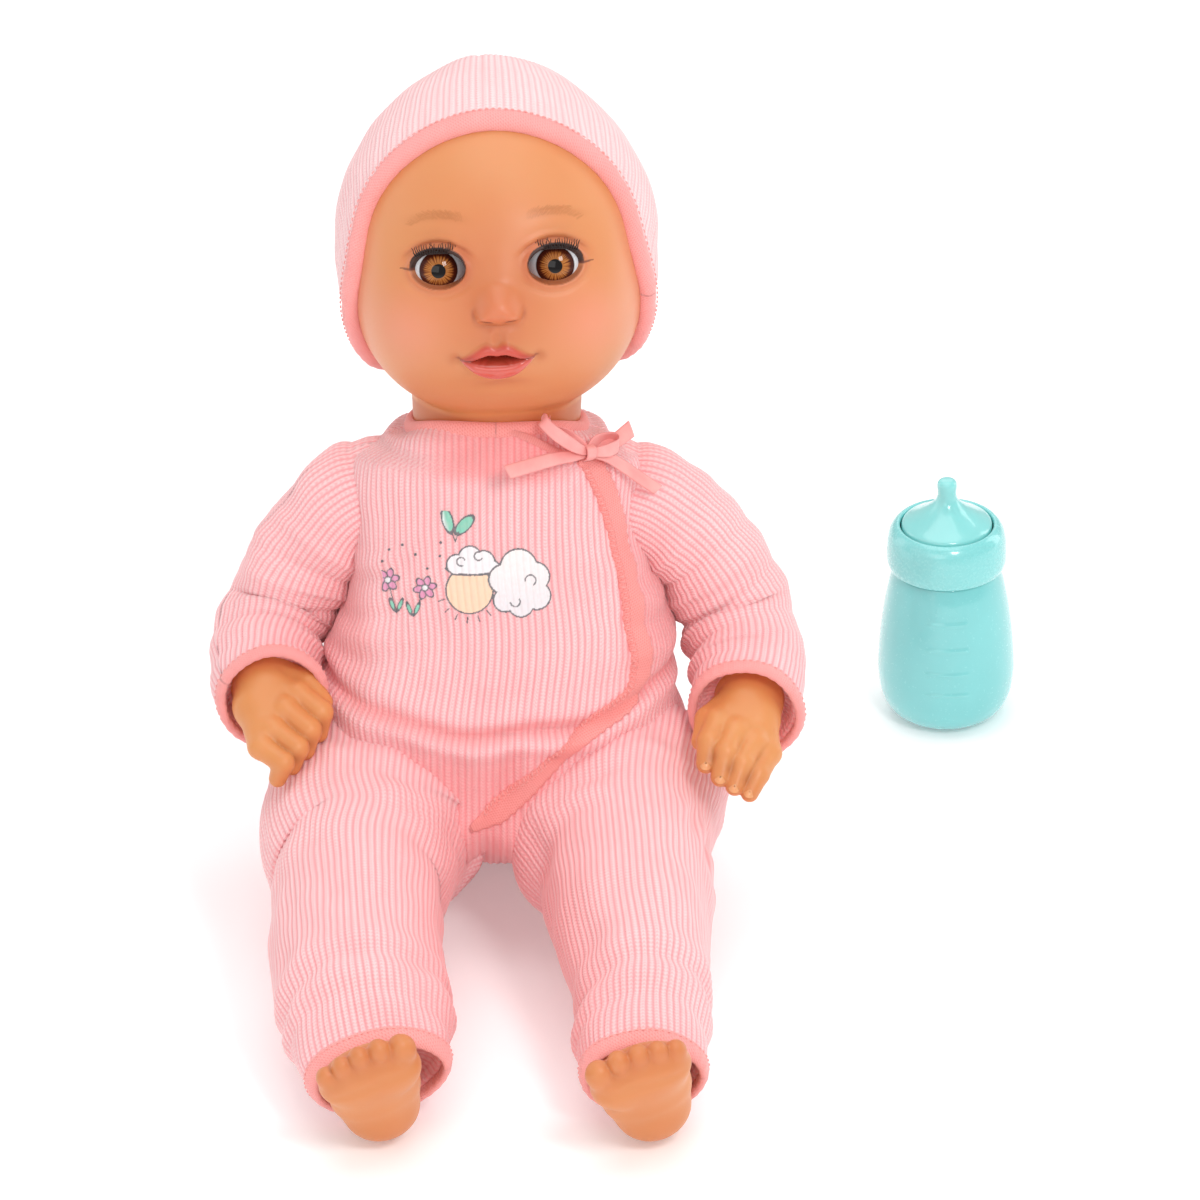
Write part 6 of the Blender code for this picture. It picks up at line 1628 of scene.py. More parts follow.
def strip_on_front(name, pts, width, lift, mat, thick=1.0, n=120, nw=13, wave=0.0, slot="binding", taper=None):
    """Flat strip laid on the romper front. pts: (x, ring height) of its middle."""
    D, q = even(pts, 1.0, cols=2)
    x, z = D[:, 0], D[:, 1]
    g = np.gradient(D[:, :2], axis=0)
    g /= np.linalg.norm(g, axis=1, keepdims=True)
    w = np.broadcast_to(np.asarray(width, float), x.shape) if np.ndim(width) == 0 else np.interp(q / q[-1], np.linspace(0, 1, len(width)), width)
    cols = []
    nn = []
    for t in np.linspace(-1, 1, nw):
        ww = w / 2 * t * (1 + wave * 0.06 * np.sin(q * 1.9))
        p, m = front_at(x + g[:, 1] * ww * -1.0, z + g[:, 0] * ww, lift + thick * (1 - abs(t) ** 6) * 0.9)
        cols.append(p)
        nn.append(m)
    G = np.array(cols).transpose(1, 0, 2)
    N = np.array(nn).transpose(1, 0, 2)
    G = G + N * (wave * 0.22 * np.sin(q * 1.9)[:, None] * np.linspace(-1, 1, nw)[None, :] ** 2)[..., None]
    back = G - N * (thick + 0.6)
    V = np.concatenate([G.reshape(-1, 3), back.reshape(-1, 3)])
    nv = len(q)
    Qa = grid_quads(nv, nw, closed=False)
    Qs = []
    off = nv * nw
    for i in range(nv - 1):
        Qs.append([i * nw, (i + 1) * nw, (i + 1) * nw + off, i * nw + off])
        Qs.append([i * nw + nw - 1, i * nw + nw - 1 + off, (i + 1) * nw + nw - 1 + off, (i + 1) * nw + nw - 1])
    for j in range(nw - 1):
        Qs.append([j, j + off, j + 1 + off, j + 1])
        b = (nv - 1) * nw
        Qs.append([b + j, b + j + 1, b + j + 1 + off, b + j + off])
    ru = np.tile(np.linspace(-1, 1, nw) * 4, nv)
    rv = np.repeat(q, nw)
    ob = mesh_object(name, V, np.concatenate([Qa, Qa[:, ::-1] + off, np.array(Qs)]), None, mat,
                     floats={"ru": np.tile(ru + 0.5 * rv, 2), "rv": np.tile(rv, 2)})
    return ob, G, N, q


def ring_height(pts):
    """Ring heights on the romper front of points given by sideways place and height as seen from in front and above."""
    z = np.arange(24.0, 178.3, 1.0)
    out = []
    for x, v in pts:
        p, _ = front_at(np.full(len(z), x), z, 0.0)
        vv = 0.5 * p[:, 1] + 0.866 * p[:, 2]
        vv = np.maximum.accumulate(vv)
        out.append((x, float(np.interp(v, vv, z))))
    return out


# middle line of the coral edge from the knot down to the crotch
FLAP_PTS = ring_height([(30.5, 160.5), (33.7, 157.0), (38.3, 147.8), (42.6, 136.0), (44.4, 124.3), (46.9, 112.3), (48.6, 102.0), (50.6, 92.0), (50.9, 84.9), (48.4, 77.1), (42.2, 70.7), (33.0, 64.0), (21.7, 53.3), (11.7, 43.7), (-1.4, 33.1), (-9.0, 27.9)])
FLAP_W = [6.4, 7.2, 7.4, 7.4, 7.4, 7.4, 7.4, 7.6, 7.6, 6.6, 5.4, 5.0, 5.6, 7.2, 8.4, 2.4]
flap, FG, FN, FQ = strip_on_front("crossover_edge_visual", FLAP_PTS, FLAP_W, 0.9, M_BIND, thick=0.9, wave=1.0)
finish_piece(flap, "torso", ["flap_binding"])
_edge = FG[4:-6, 1]
_edn = FN[4:-6, 1]
_acr = unit_rows(FG[4:-6, 3] - FG[4:-6, 0])
st = stitches("crossover_stitches", _edge + _edn * 0.25, _edn, 2.0, 0.35, 0.30, across=_acr, zig=0.75)
finish_piece(st, "torso")
st = stitches("crossover_topstitch", FG[4:-6, 3] + FN[4:-6, 3] * 0.15, FN[4:-6, 3], 2.2, 0.6, 0.22)
finish_piece(st, "torso")
# neckline edge of the overlapping panel, from the collar down to the knot
npipe, NG, NN_, NQ = strip_on_front("panel_neck_edge", [(2.0, 178.0), (9.0, 175.6), (16.0, 172.2), (22.0, 168.8), (27.0, 165.4)], [2.2, 2.6, 2.8, 2.8], 0.7, M_BIND, thick=0.9, nw=7)
finish_piece(npipe, "torso")


# ---- bow
BOW_C = None


def bow():
    (_, bz), = ring_height([(30.2, 160.4)])
    c, n = front_at([29.9, 30.2, 30.5], [bz + 0.1, bz, bz - 0.1], 2.6)
    c, n = c[1], n[1]
    ex = unit(np.array([0.93, 0.365, 0]))
    ex = unit(ex - n * np.dot(ex, n) * 0.85)
    ez = unit(np.cross(ex, -n)) if np.cross(ex, -n)[2] > 0 else unit(np.cross(-n, ex))
    en = unit(np.cross(ex, ez))
    if en @ n < 0:
        en = -en
    W = lambda p: c + p[0] * ex + p[1] * ez + p[2] * en

    def strip(name, path, width, nrm=None, thick=0.34, nw=9, cup=0.0, end_cut=0.0):
        D, q = even(path, 0.55)
        T = unit_rows(np.gradient(D, axis=0))
        base_n = np.array([0.0, 0.0, 1.0])
        # ribbon width lies across the path; nrm rows give its facing along the path
        if nrm is None:
            Nn = np.broadcast_to(base_n, D.shape)
        else:
            A = np.array(nrm, float)
            t = np.linspace(0, 1, len(A))
            Nn = np.stack([np.interp(q / q[-1], t, A[:, k]) for k in range(3)], 1)
        Nn = unit_rows(Nn - T * (Nn * T).sum(1, keepdims=True))
        Sd = np.cross(T, Nn)
        ww = np.interp(q / q[-1], np.linspace(0, 1, len(width)), width)
        cols = []
        u = np.linspace(-1, 1, nw)
        for t in u:
            sh = end_cut * t
            cols.append(D + Sd * (ww / 2 * t)[:, None] + Nn * (cup * (1 - t * t))[..., None] + T * (sh * smooth(0.8, 1.0, q / q[-1]))[:, None])
        G = np.array(cols).transpose(1, 0, 2)
        Nf = np.repeat(Nn[:, None], nw, 1)
        V = np.concatenate([(G + Nf * thick / 2).reshape(-1, 3), (G - Nf * thick / 2).reshape(-1, 3)])
        V = np.array([W(p) for p in V])
        nv = len(q)
        Qa = grid_quads(nv, nw, closed=False)
        off = nv * nw
        Qs = []
        for i in range(nv - 1):
            Qs.append([i * nw, (i + 1) * nw, (i + 1) * nw + off, i * nw + off])
            Qs.append([i * nw + nw - 1, i * nw + nw - 1 + off, (i + 1) * nw + nw - 1 + off, (i + 1) * nw + nw - 1])
        for j in range(nw - 1):
            Qs.append([j, j + off, j + 1 + off, j + 1])
            b = (nv - 1) * nw
            Qs.append([b + j, b + j + 1, b + j + 1 + off, b + j + off])
        ru = np.tile(np.tile(u * 3, nv), 2)
        ed = np.tile(np.tile(np.abs(u), nv), 2)
        rv = np.tile(np.repeat(q, nw), 2)
        ob = mesh_object(name, V, np.concatenate([Qa, Qa[:, ::-1] + off, np.array(Qs)]), None, M_RIBBON, floats={"ru": ru, "rv": rv, "edge": ed})
        return ob

    pieces = []
    # left tail, long and flat
    pieces.append(strip("bow_tail_left", [(1.5, -0.3, 1.2), (-7, -0.5, 1.8), (-16, -0.6, 1.4), (-26, -1.6, 1.6), (-36.0, -2.6, 0.9)], [2.6, 4.2, 5.0, 5.2, 5.2], cup=0.35, end_cut=0.6, nrm=[(0, 0.1, 1), (0, 0.05, 1), (0, 0, 1), (0, 0, 1)]))
    # left loop: up to the left and back, seen partly edge on
    pieces.append(strip("bow_loop_left", [(0.4, 0.4, 1.6), (-5, 4.6, 2.6), (-11, 9.6, 3.2), (-15.6, 13.0, 3.4), (-17.8, 13.6, 4.4), (-18.0, 11.6, 5.4), (-14.8, 7.4, 6.2), (-9, 3.2, 5.4), (-3.6, 0.9, 3.6), (0.6, 0.2, 2.6)],
                        [2.6, 4.6, 5.0, 4.8, 4.6, 4.6, 4.8, 4.6, 3.8, 2.6],
                        nrm=[(0.1, 0.5, -0.8), (0.3, 0.6, -0.6), (0.4, 0.7, -0.3), (-0.2, 0.9, 0.2), (-1, 0.3, 0.3), (-0.5, -0.6, 0.6), (-0.2, -0.5, 0.8), (-0.1, -0.4, 0.9), (0, -0.2, 1), (0, 0, 1)]))
    # small right loop folded over close to the knot
    pieces.append(strip("bow_loop_right", [(0.0, 0.2, 1.4), (4.0, 3.0, 1.8), (9.0, 4.2, 2.0), (12.2, 3.4, 3.0), (11.6, 0.6, 4.4), (7.0, -0.8, 4.6), (2.6, -0.6, 3.4), (0.0, -0.3, 2.6)],
                        [2.8, 4.6, 5.4, 5.6, 5.6, 5.2, 4.0, 2.8],
                        nrm=[(0, 0.3, -0.9), (0.1, 0.4, -0.9), (0.6, 0.6, -0.3), (1, 0.1, 0.2), (0.5, -0.4, 0.8), (0.1, -0.2, 1), (0, 0, 1)]))
    # upper right tail, narrow and sheer, and the long lower right tail
    pieces.append(strip("bow_tail_upper", [(1.0, 0.3, 0.9), (7, 0.9, 1.2), (13, 2.6, 1.6), (20.5, 6.0, 2.2)], [2.4, 4.6, 5.4, 5.8], cup=0.2, end_cut=-0.8))
    pieces.append(strip("bow_tail_right", [(1.0, -0.6, 1.2), (7, -2.6, 2.4), (13, -6.8, 2.4), (19, -11.8, 2.4), (25.4, -17.2, 2.6)], [2.8, 4.4, 4.8, 4.8, 4.8], cup=0.3, end_cut=-0.8))
    # knot: a short band wrapped round
    pieces.append(strip("bow_knot", [(0.6, 2.6, 0.4), (0.2, 2.3, 2.8), (0.0, 0.9, 4.3), (-0.2, -1.1, 4.3), (-0.3, -2.5, 2.8), (-0.3, -2.7, 0.4)], [3.4, 3.8, 4.2, 4.2, 3.8, 3.4],
                        nrm=[(0, 1, 0.3), (0, 0.9, 0.5), (0, 0.3, 1), (0, -0.3, 1), (0, -0.9, 0.5), (0, -1, 0.2)]))
    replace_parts(pieces[-1], "bow_ribbon")
    for p in pieces:
        finish_piece(p, "torso")


bow()


# =============================================================== print on the chest: own design
def poly_sd(x, y, cx, cy, r):
    return np.hypot(x - cx, y - cy) - r


def ellipse_sd(x, y, cx, cy, a, b, rot=0.0):
    c, s = math.cos(math.radians(rot)), math.sin(math.radians(rot))
    u, v = (x - cx) * c + (y - cy) * s, -(x - cx) * s + (y - cy) * c
    q = np.hypot(u / a, v / b)
    return (q - 1) * min(a, b) * np.maximum(0.6, 1.0) * np.where(q > 0, np.hypot(u, v) / np.maximum(q, 1e-6) / np.maximum(np.hypot(u, v), 1e-6) * 0 + 1, 1)


def seg_sd(x, y, a, b):
    ax, ay = a
    bx, by = b
    t = np.clip(((x - ax) * (bx - ax) + (y - ay) * (by - ay)) / ((bx - ax) ** 2 + (by - ay) ** 2), 0, 1)
    return np.hypot(x - ax - t * (bx - ax), y - ay - t * (by - ay))


def union(*d):
    out = d[0]
    for k in d[1:]:
        out = np.minimum(out, k)
    return out


def print_design(x, y):
    """Colour and coverage of the print at x (mm across) and y (mm up) on the chest."""
    line = lin(104, 108, 112)
    col = np.zeros((*x.shape, 3)) + line
    cover = np.zeros(x.shape, bool)
    LW = 0.34

    def layer(d, fill, stroke=LW):
        nonlocal cover
        f = np.asarray(fill)
        m = d < 0
        e = np.abs(d) < stroke
        col[m & ~e] = f[m & ~e] if f.ndim > 1 else f
        col[e] = line
        cover = cover | m | e

    def stroke(d, w=0.3):
        nonlocal cover
        m = d < w
        col[m] = line
        cover = cover | m

    white, peach, mauve, mint = lin(240, 238, 240), lin(252, 214, 184), lin(226, 152, 186), lin(132, 208, 184)
    # sun behind two clouds
    sun = poly_sd(x, y, -9.6, 112.6, 8.4)
    layer(sun, peach)
    for a in (200, 222, 244, 266, 288, 310):
        t = math.radians(a)
        c, s = math.cos(t), math.sin(t)
        stroke(seg_sd(x, y, (-9.6 + 9.6 * c, 112.6 + 9.6 * s), (-9.6 + 11.8 * c, 112.6 + 11.8 * s)), 0.34)
    small = union(poly_sd(x, y, -14.2, 121.6, 3.6), poly_sd(x, y, -9.4, 124.0, 4.2), poly_sd(x, y, -4.6, 122.6, 4.0), poly_sd(x, y, -1.6, 120.6, 2.6), ellipse_sd(x, y, -8.6, 120.2, 8.6, 2.3))
    layer(small, white)
    big = union(poly_sd(x, y, 2.4, 116.4, 5.2), poly_sd(x, y, 7.8, 120.6, 6.6), poly_sd(x, y, 13.6, 117.4, 5.2), poly_sd(x, y, 14.2, 110.6, 5.0), poly_sd(x, y, 8.6, 107.6, 4.6), poly_sd(x, y, 3.0, 109.0, 4.2), poly_sd(x, y, 8.0, 113.0, 5.0))
    shade = np.clip((y - 102) / 24, 0, 1)[..., None]
    layer(big, lin(230, 226, 230) + (lin(244, 240, 238) - lin(230, 226, 230)) * shade)
    for cx, cy, r, a0, a1 in ((-12.6, 122.6, 1.5, 20, 300), (-6.4, 124.6, 1.5, 60, 330), (12.0, 116.0, 1.9, -60, 190), (6.6, 108.4, 1.7, 180, 400)):
        ang = np.degrees(np.arctan2(y - cy, x - cx)) % 360
        lo, hi = a0 % 360, a1 % 360
        on = (ang > lo) & (ang < hi) if lo < hi else (ang > lo) | (ang < hi)
        stroke(np.where(on, np.abs(np.hypot(x - cx, y - cy) - r), 9.0), 0.24)

    # two daisies on stems
    for fx, fy, bx_, by_ in ((-38.6, 116.2, -35.6, 104.6), (-25.4, 113.4, -29.6, 103.2)):
        stroke(seg_sd(x, y, (fx, fy), (bx_, by_)), 0.34)
        for sgn in (-1, 1):
            layer(ellipse_sd(x, y, bx_ + sgn * 1.3 + 0.1 * sgn, by_ + 2.8, 0.75, 2.3, rot=-sgn * 22), mint, 0.22)
        for k in range(6):
            t = math.radians(60 * k + 12)
            layer(ellipse_sd(x, y, fx + 2.3 * math.cos(t), fy + 2.3 * math.sin(t), 1.9, 1.25, rot=60 * k + 12), mauve, 0.24)
        layer(poly_sd(x, y, fx, fy, 1.15), white, 0.22)
    # leaf sprig above
    layer(ellipse_sd(x, y, -17.4, 137.2, 1.9, 4.6, rot=16), mint + (lin(236, 240, 240) - mint) * np.clip(-(x + 17.4 + 0.28 * (y - 137)) / 1.6, 0, 1)[..., None], 0.3)
    layer(ellipse_sd(x, y, -11.4, 135.6, 2.1, 4.4, rot=-44), mint, 0.3)
    stroke(seg_sd(x, y, (-16.0, 133.4), (-14.6, 129.6)), 0.28)
    stroke(seg_sd(x, y, (-13.6, 133.0), (-14.6, 129.6)), 0.28)
    stroke(seg_sd(x, y, (-15.4, 144.0), (-14.4, 140.8)), 0.26)
    stroke(seg_sd(x, y, (-12.6, 143.0), (-14.2, 140.6)), 0.26)
    # scattered dots
    for dx, dy in ((-40.6, 122.8), (-38.2, 127.0), (-33.4, 128.6), (-28.8, 125.2), (-24.6, 120.2), (-20.2, 124.6), (-19.8, 129.4)):
        stroke(poly_sd(x, y, dx, dy, 0.62), 0.0)
    return col, cover


def print_material():
    m, nt, b = base_material("chest_print", srgb(240, 236, 238), 0.6)
    c = attr(nt, "ink", "Color")
    n = noise_node(nt, 700.0, 3.0)
    nt.links.new(mix_colour(nt, map_range(nt, n, 0.35, 0.7, 0.0, 0.12), c, srgb(252, 190, 190)), b.inputs["Base Color"])
    nt.links.new(map_range(nt, n, 0.3, 0.7, 0.5, 0.68), b.inputs["Roughness"])
    nt.links.new(bump_node(nt, n, 0.05 * MM, 0.4), b.inputs["Normal"])
    return m


def build_print():
    z = np.arange(94.0, 150.0, 0.26)
    fr = np.arange(-0.150, 0.085, 0.26 / 326.0)
    P, h, s, N = torso_surface(z, fr, lift=0.2)
    X, V = P[..., 0], 0.5 * P[..., 1] + 0.866 * P[..., 2]
    col, cover = print_design(X, V)
    nu = P.shape[1]
    keep = cover[:-1, :-1] & cover[1:, :-1] & cover[:-1, 1:] & cover[1:, 1:]
    Q = grid_quads(len(z), nu, closed=False)[keep.ravel()]
    used = np.unique(Q)
    remap = -np.ones(P.shape[0] * nu, int)
    remap[used] = np.arange(len(used))
    ob = mesh_object("chest_print", P.reshape(-1, 3)[used], remap[Q], None, print_material(), colours={"ink": col.reshape(-1, 3)[used]}, orient=False)
    me = ob.data
    if sum((Vector(p.normal).y for p in list(me.polygons)[:400])) > 0:
        me.flip_normals()
    finish_piece(ob, "torso")


build_print()


# =============================================================== feeding bottle
def bottle_material(name, colour, rough, bump=0.01):
    m, nt, b = base_material(name, colour, rough)
    n = noise_node(nt, 22.0, 3.0)
    light = tuple(min(1.0, c * 1.10 + 0.02) for c in colour[:3]) + (1.0,)
    nt.links.new(mix_colour(nt, map_range(nt, n, 0.3, 0.7, 0.0, 0.6), colour, light), b.inputs["Base Color"])
    f = noise_node(nt, 900.0, 2.0)
    nt.links.new(map_range(nt, f, 0.3, 0.7, rough - 0.03, rough + 0.04), b.inputs["Roughness"])
    nt.links.new(bump_node(nt, f, bump * MM, 0.3), b.inputs["Normal"])
    b.inputs["Coat Weight"].default_value = 0.9
    b.inputs["Coat Roughness"].default_value = 0.07
    b.inputs["Subsurface Weight"].default_value = 0.15
    b.inputs["Subsurface Radius"].default_value = (0.5, 1.0, 1.0)
    b.inputs["Subsurface Scale"].default_value = 0.004
    return m


M_BOTTLE = bottle_material("bottle_teal", srgb(118, 203, 203), 0.24)
M_BOTTLE_CAP = bottle_material("bottle_collar_teal", srgb(126, 208, 207), 0.26)
M_TEAT = bottle_material("teat_teal", srgb(132, 212, 210), 0.22)
BX, BY = 161.0, 140.0


def spin(name, outline, mat, n=128, radius=None):
    """Closed turned shell from an outline of (radius, height) points; the ends on the axis become poles."""
    D = np.array(outline, float)
    a = np.arange(n) / n * 2 * np.pi
    poles = D[0, 0] < 1e-6
    pole1 = D[-1, 0] < 1e-6
    rows = D[1 if poles else 0: len(D) - 1 if pole1 else len(D)]
    G = []
    for r, z in rows:
        rr = np.full(n, r) if radius is None else radius(r, z, a)
        G.append(np.stack([BX + rr * np.cos(a), BY + rr * np.sin(a), np.full(n, z)], 1))
    G = np.array(G)
    if not poles and not pole1:                   # ring section: close it on itself
        k = len(G)
        Gt = G.transpose(1, 0, 2)
        i, j = np.arange(n)[:, None], np.arange(k)[None, :]
        Q = np.stack([i * k + j, i * k + (j + 1) % k, ((i + 1) % n) * k + (j + 1) % k, ((i + 1) % n) * k + j], -1).reshape(-1, 4)
        return mesh_object(name, Gt.reshape(-1, 3), Q, None, mat)
    return tube_object(name, G, mat, (BX, BY, D[0, 1]) if poles else None, (BX, BY, D[-1, 1]) if pole1 else None)


def soften(pts, r=1.0, n=6):
    P = [np.array(p, float) for p in pts]
    out = [P[0]]
    for a, b, c in zip(P[:-2], P[1:-1], P[2:]):
        la, lc = np.linalg.norm(b - a), np.linalg.norm(c - b)
        k = min(r, la * 0.48, lc * 0.48)
        p0, p1 = b - (b - a) / max(la, 1e-9) * k, b + (c - b) / max(lc, 1e-9) * k
        for t in np.linspace(0, 1, n):
            out.append((1 - t) ** 2 * p0 + 2 * t * (1 - t) * b + t * t * p1)
    out.append(P[-1])
    return np.array(out)


def build_bottle():
    side = catmull([(12.0, 0.0), (17.0, 1.2), (21.0, 4.6), (23.4, 10.0), (24.4, 17.0), (24.5, 22.0), (23.9, 32.0), (22.6, 43.0), (20.8, 53.0), (19.0, 59.0)], 90)

    def radius(r, z, a):
        # three short raised marks facing forward
        d = np.arctan2(np.sin(a + np.pi / 2), np.cos(a + np.pi / 2)) * r
        out = np.full_like(a, r)
        for zc, half in ((47.0, 6.8), (37.0, 7.4), (27.6, 7.8), (19.4, 7.4)):
            out = out + 0.42 * np.exp(-((z - zc) / 0.62) ** 2) * smooth(half + 0.6, half - 0.6, np.abs(d - 0.4))
        return out

    D = catmull([(12.0, 0.0), (17.0, 1.2), (21.0, 4.6), (23.4, 10.0), (24.4, 17.0), (24.5, 22.0), (23.9, 32.0), (22.6, 43.0), (20.8, 53.0), (19.0, 59.0)], 260)
    tail = soften([(19.0, 59.0), (18.6, 59.6), (16.4, 59.8), (16.4, 70.0), (14.2, 70.0), (14.0, 58.5), (17.0, 55.8), (20.4, 44.0), (22.0, 32.0), (22.4, 20.0), (21.0, 9.0), (16.0, 3.6), (0.0, 2.8)], 0.8)
    pts = [(0.0, 0.9), (8.0, 0.7), (11.0, 0.0)] + [tuple(p) for p in D] + [tuple(p) for p in tail[1:]]
    body = spin("bottle_body_visual", pts, M_BOTTLE, 180, radius)
    finish_piece(body, "bottle", ["bottle_body"])
    col = soften([(17.2, 60.4), (19.6, 60.1), (20.9, 60.7), (21.55, 63.0), (21.6, 67.0), (21.3, 71.0), (20.5, 74.2), (19.2, 76.2), (17.8, 77.2), (16.9, 76.9), (16.7, 75.8), (16.7, 75.2), (16.9, 74.6), (17.0, 72.0)], 1.1)
    col[-1] = (17.1, 70.0)
    cap = spin("bottle_collar_visual", np.concatenate([col, [(17.1, 61.0)]]), M_BOTTLE_CAP, 160)
    finish_piece(cap, "bottle", ["bottle_collar"])
    teat = [(11.3, 70.6), (15.8, 70.6), (15.8, 73.2), (16.2, 74.0), (16.3, 76.4)]
    up = catmull([(16.3, 76.4), (15.6, 77.8), (12.0, 80.0), (7.4, 83.2), (4.4, 86.2), (3.45, 88.6), (3.4, 90.4), (3.55, 92.2), (3.35, 93.8), (2.3, 94.75), (0.001, 95.0)], 80)
    inner = [(0.0, 95.0)]
    pts = [(11.3, 70.6)] + [tuple(p) for p in soften(teat, 0.5)[1:-1]] + [tuple(p) for p in up[:-1]] + [(0.0, 95.0)]
    low = catmull([(0.001, 92.4), (1.8, 91.4), (1.9, 88.6), (2.4, 86.4), (4.6, 83.2), (8.2, 80.0), (10.9, 77.0), (11.3, 73.5), (11.3, 70.6)], 40)
    t = spin("bottle_teat_visual", [(0.0, 92.4)] + [tuple(p) for p in low[1:-1]] + pts, M_TEAT, 120)
    finish_piece(t, "bottle", ["bottle_teat"])


build_bottle()


# =============================================================== looks for the pieces kept from the CAD
HARD = {
    "battery_cover": ("white_plastic", plain_material("cover_plastic", srgb(238, 236, 230), 0.42, scale=300.0)),
    "pod_case": ("white_plastic", plain_material("pod_plastic", srgb(236, 234, 228), 0.4, scale=300.0)),
    "eye_housing_left": ("white_plastic", plain_material("housing_plastic", srgb(232, 230, 224), 0.45, scale=300.0)),
    "button_housing": ("white_plastic", plain_material("button_plastic", srgb(228, 228, 226), 0.4, scale=300.0)),
    "tummy_button": ("white_plastic", plain_material("tummy_plastic", srgb(244, 160, 166), 0.38, scale=300.0)),
    "power_switch": ("dark_plastic", plain_material("switch_plastic", srgb(46, 46, 50), 0.45, scale=500.0)),
    "neck_ring": ("white_plastic", plain_material("ring_plastic", srgb(224, 204, 190), 0.45, scale=300.0)),
    "speaker": ("dark_plastic", plain_material("speaker_plastic", srgb(40, 40, 44), 0.5, scale=500.0)),
    "sound_chip": ("dark_plastic", plain_material("chip_epoxy", srgb(24, 24, 26), 0.35, scale=600.0)),
    "mouth_sensor": ("dark_plastic", plain_material("sensor_plastic", srgb(60, 60, 66), 0.45, scale=500.0)),
    "tilt_sensor": ("steel", plain_material("tilt_can", srgb(190, 192, 196), 0.3, metallic=0.9, scale=700.0)),
    "cover_screw": ("steel", plain_material("screw_steel", srgb(176, 178, 182), 0.3, metallic=1.0, scale=800.0)),
    "contact": ("steel", plain_material("contact_nickel", srgb(200, 198, 190), 0.28, metallic=1.0, scale=800.0)),
    "bottle_magnet": ("steel", plain_material("magnet_steel", srgb(150, 152, 158), 0.3, metallic=1.0, scale=800.0)),
    "eye_weight": ("steel", plain_material("weight_lead", srgb(120, 122, 128), 0.5, metallic=0.8, scale=700.0)),
    "button_spring": ("steel", plain_material("spring_steel", srgb(180, 182, 188), 0.25, metallic=1.0, scale=900.0)),
    "button_lead": ("lead_wire", plain_material("lead_insulation", srgb(170, 34, 34), 0.45, scale=900.0)),
    "circuit_board": ("board", plain_material("board_green", srgb(26, 104, 58), 0.4, scale=500.0, dark=0.75)),
    "aa_cell": ("cell", plain_material("cell_sleeve", srgb(206, 150, 62), 0.32, metallic=0.4, scale=300.0, dark=0.8)),
}


def dress(ob, name):
    for key, (slot, mat) in sorted(HARD.items(), key=lambda kv: -len(kv[0])):
        stem = key[:-5] if key.endswith("_left") else key
        if name == key or name.startswith(stem):
            if len(ob.material_slots) == 0:
                ob.data.materials.append(mat)
            for sl in ob.material_slots:
                sl.material = mat
            return True
    return False


_done = set()
for _name, _ob in NODES.items():
    if dress(_ob, _name):
        _done.add(_name)

# anything the tables above missed still gets a worked material
_replaced = set()
for _ob in bpy.data.objects:
    for _r in (_ob.get("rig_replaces") or []):
        _replaced.add(_r)
for _name, _ob in NODES.items():
    if _name in _done or _name in _replaced:
        continue
    for _sl in _ob.material_slots:
        if _sl.material:
            _c = tuple(_sl.material.diffuse_color)
            _sl.material = plain_material("worked_" + _name, _c, 0.45)


# =============================================================== floor, light and camera
def floor():
    me = bpy.data.meshes.new("floor")
    s = 6.0
    me.from_pydata([(-s, -s, 0), (s, -s, 0), (s, s, 0), (-s, s, 0)], [], [(0, 1, 2, 3)])
    me.update()
    ob = bpy.data.objects.new("floor", me)
    bpy.context.scene.collection.objects.link(ob)
    m, nt, b = base_material("floor_pale", (0.97, 0.97, 0.97, 1.0), 0.9)
    n = noise_node(nt, 3.0, 2.0)
    nt.links.new(mix_colour(nt, map_range(nt, n, 0.3, 0.7, 0.0, 1.0), (0.975, 0.975, 0.975, 1), (0.965, 0.965, 0.965, 1)), b.inputs["Base Color"])
    b.inputs["Specular IOR Level"].default_value = 0.1
    b.inputs["Emission Color"].default_value = (1.0, 1.0, 1.0, 1.0)
    b.inputs["Emission Strength"].default_value = 0.15
    me.materials.append(m)
    ob.location.z = -0.0004


floor()


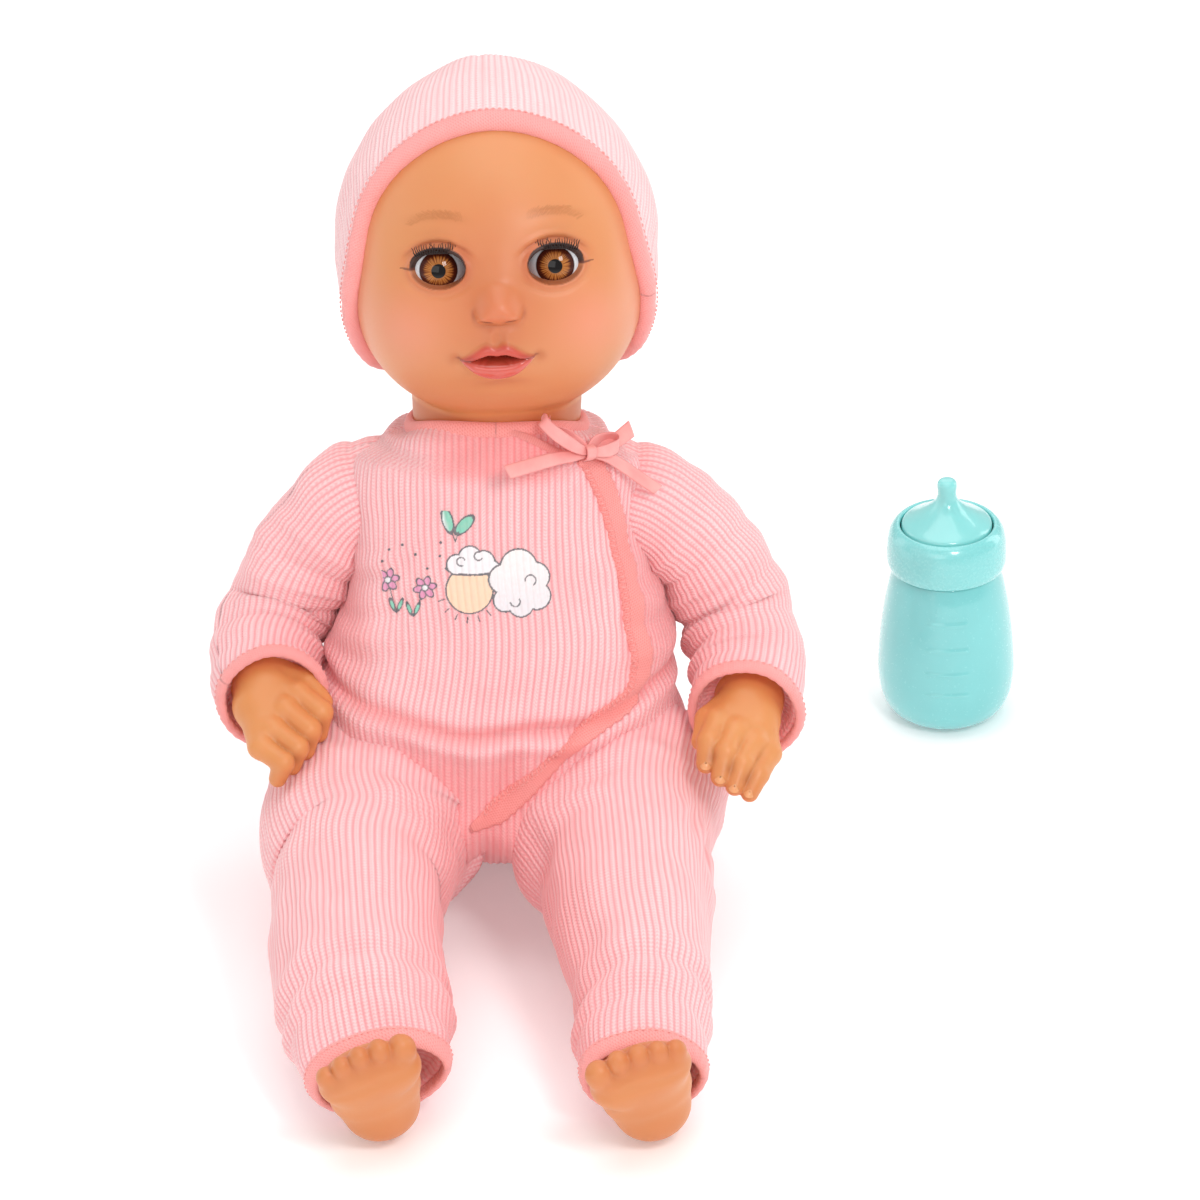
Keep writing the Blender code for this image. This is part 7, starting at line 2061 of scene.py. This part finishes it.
def area_light(name, at, target, size_x, size_y, watts, colour=(1, 1, 1)):
    li = bpy.data.lights.new(name, "AREA")
    li.shape = "RECTANGLE"
    li.size, li.size_y = size_x, size_y
    li.energy = watts
    li.color = colour
    ob = bpy.data.objects.new(name, li)
    ob.location = at
    d = Vector(target) - Vector(at)
    ob.rotation_euler = d.to_track_quat("-Z", "Y").to_euler()
    ob.visible_camera = False
    bpy.context.scene.collection.objects.link(ob)
    return ob


CENTRE = Vector((0.0, 0.0, 0.15))


def polar(az, el, dist):
    """az is measured from straight in front (-Y) towards +X, in degrees."""
    a, e = math.radians(az), math.radians(el)
    return CENTRE + dist * Vector((math.sin(a) * math.cos(e), -math.cos(a) * math.cos(e), math.sin(e)))


area_light("key", polar(30, 42, 1.3), CENTRE, 0.30, 0.36, 5.0)
area_light("front", polar(-16, 22, 1.7), CENTRE, 1.0, 0.8, 3.8)
area_light("fill_left", polar(-112, 16, 1.6), CENTRE, 0.7, 1.2, 2.6)
area_light("strip_right", polar(118, 12, 1.5), CENTRE, 0.45, 1.3, 3.6)
area_light("top", Vector((0.0, 0.15, 1.7)), Vector((0, 0.05, 0)), 1.4, 1.4, 9.0)
area_light("back", polar(180, 35, 1.9), CENTRE, 1.2, 0.8, 3.0)

world = bpy.data.worlds.new("studio")
world.use_nodes = True
bg = world.node_tree.nodes["Background"]
bg.inputs["Color"].default_value = (1.0, 1.0, 1.0, 1.0)
bg.inputs["Strength"].default_value = 0.60
bpy.context.scene.world = world

cam = bpy.data.cameras.new("camera")
cam.lens = 1000.0
cam.sensor_width = 36.0
cam.sensor_fit = "HORIZONTAL"
cam.clip_end = 50.0
cam_ob = bpy.data.objects.new("camera", cam)
TARGET = Vector((0.0366, 0.020, 0.1144))
cam_ob.location = TARGET + 11.833 * Vector((0.0, -math.cos(math.radians(30)), math.sin(math.radians(30))))
cam_ob.rotation_euler = (TARGET - cam_ob.location).to_track_quat("-Z", "Y").to_euler()
bpy.context.scene.collection.objects.link(cam_ob)
bpy.context.scene.camera = cam_ob
bpy.context.scene.view_settings.view_transform = "Standard"
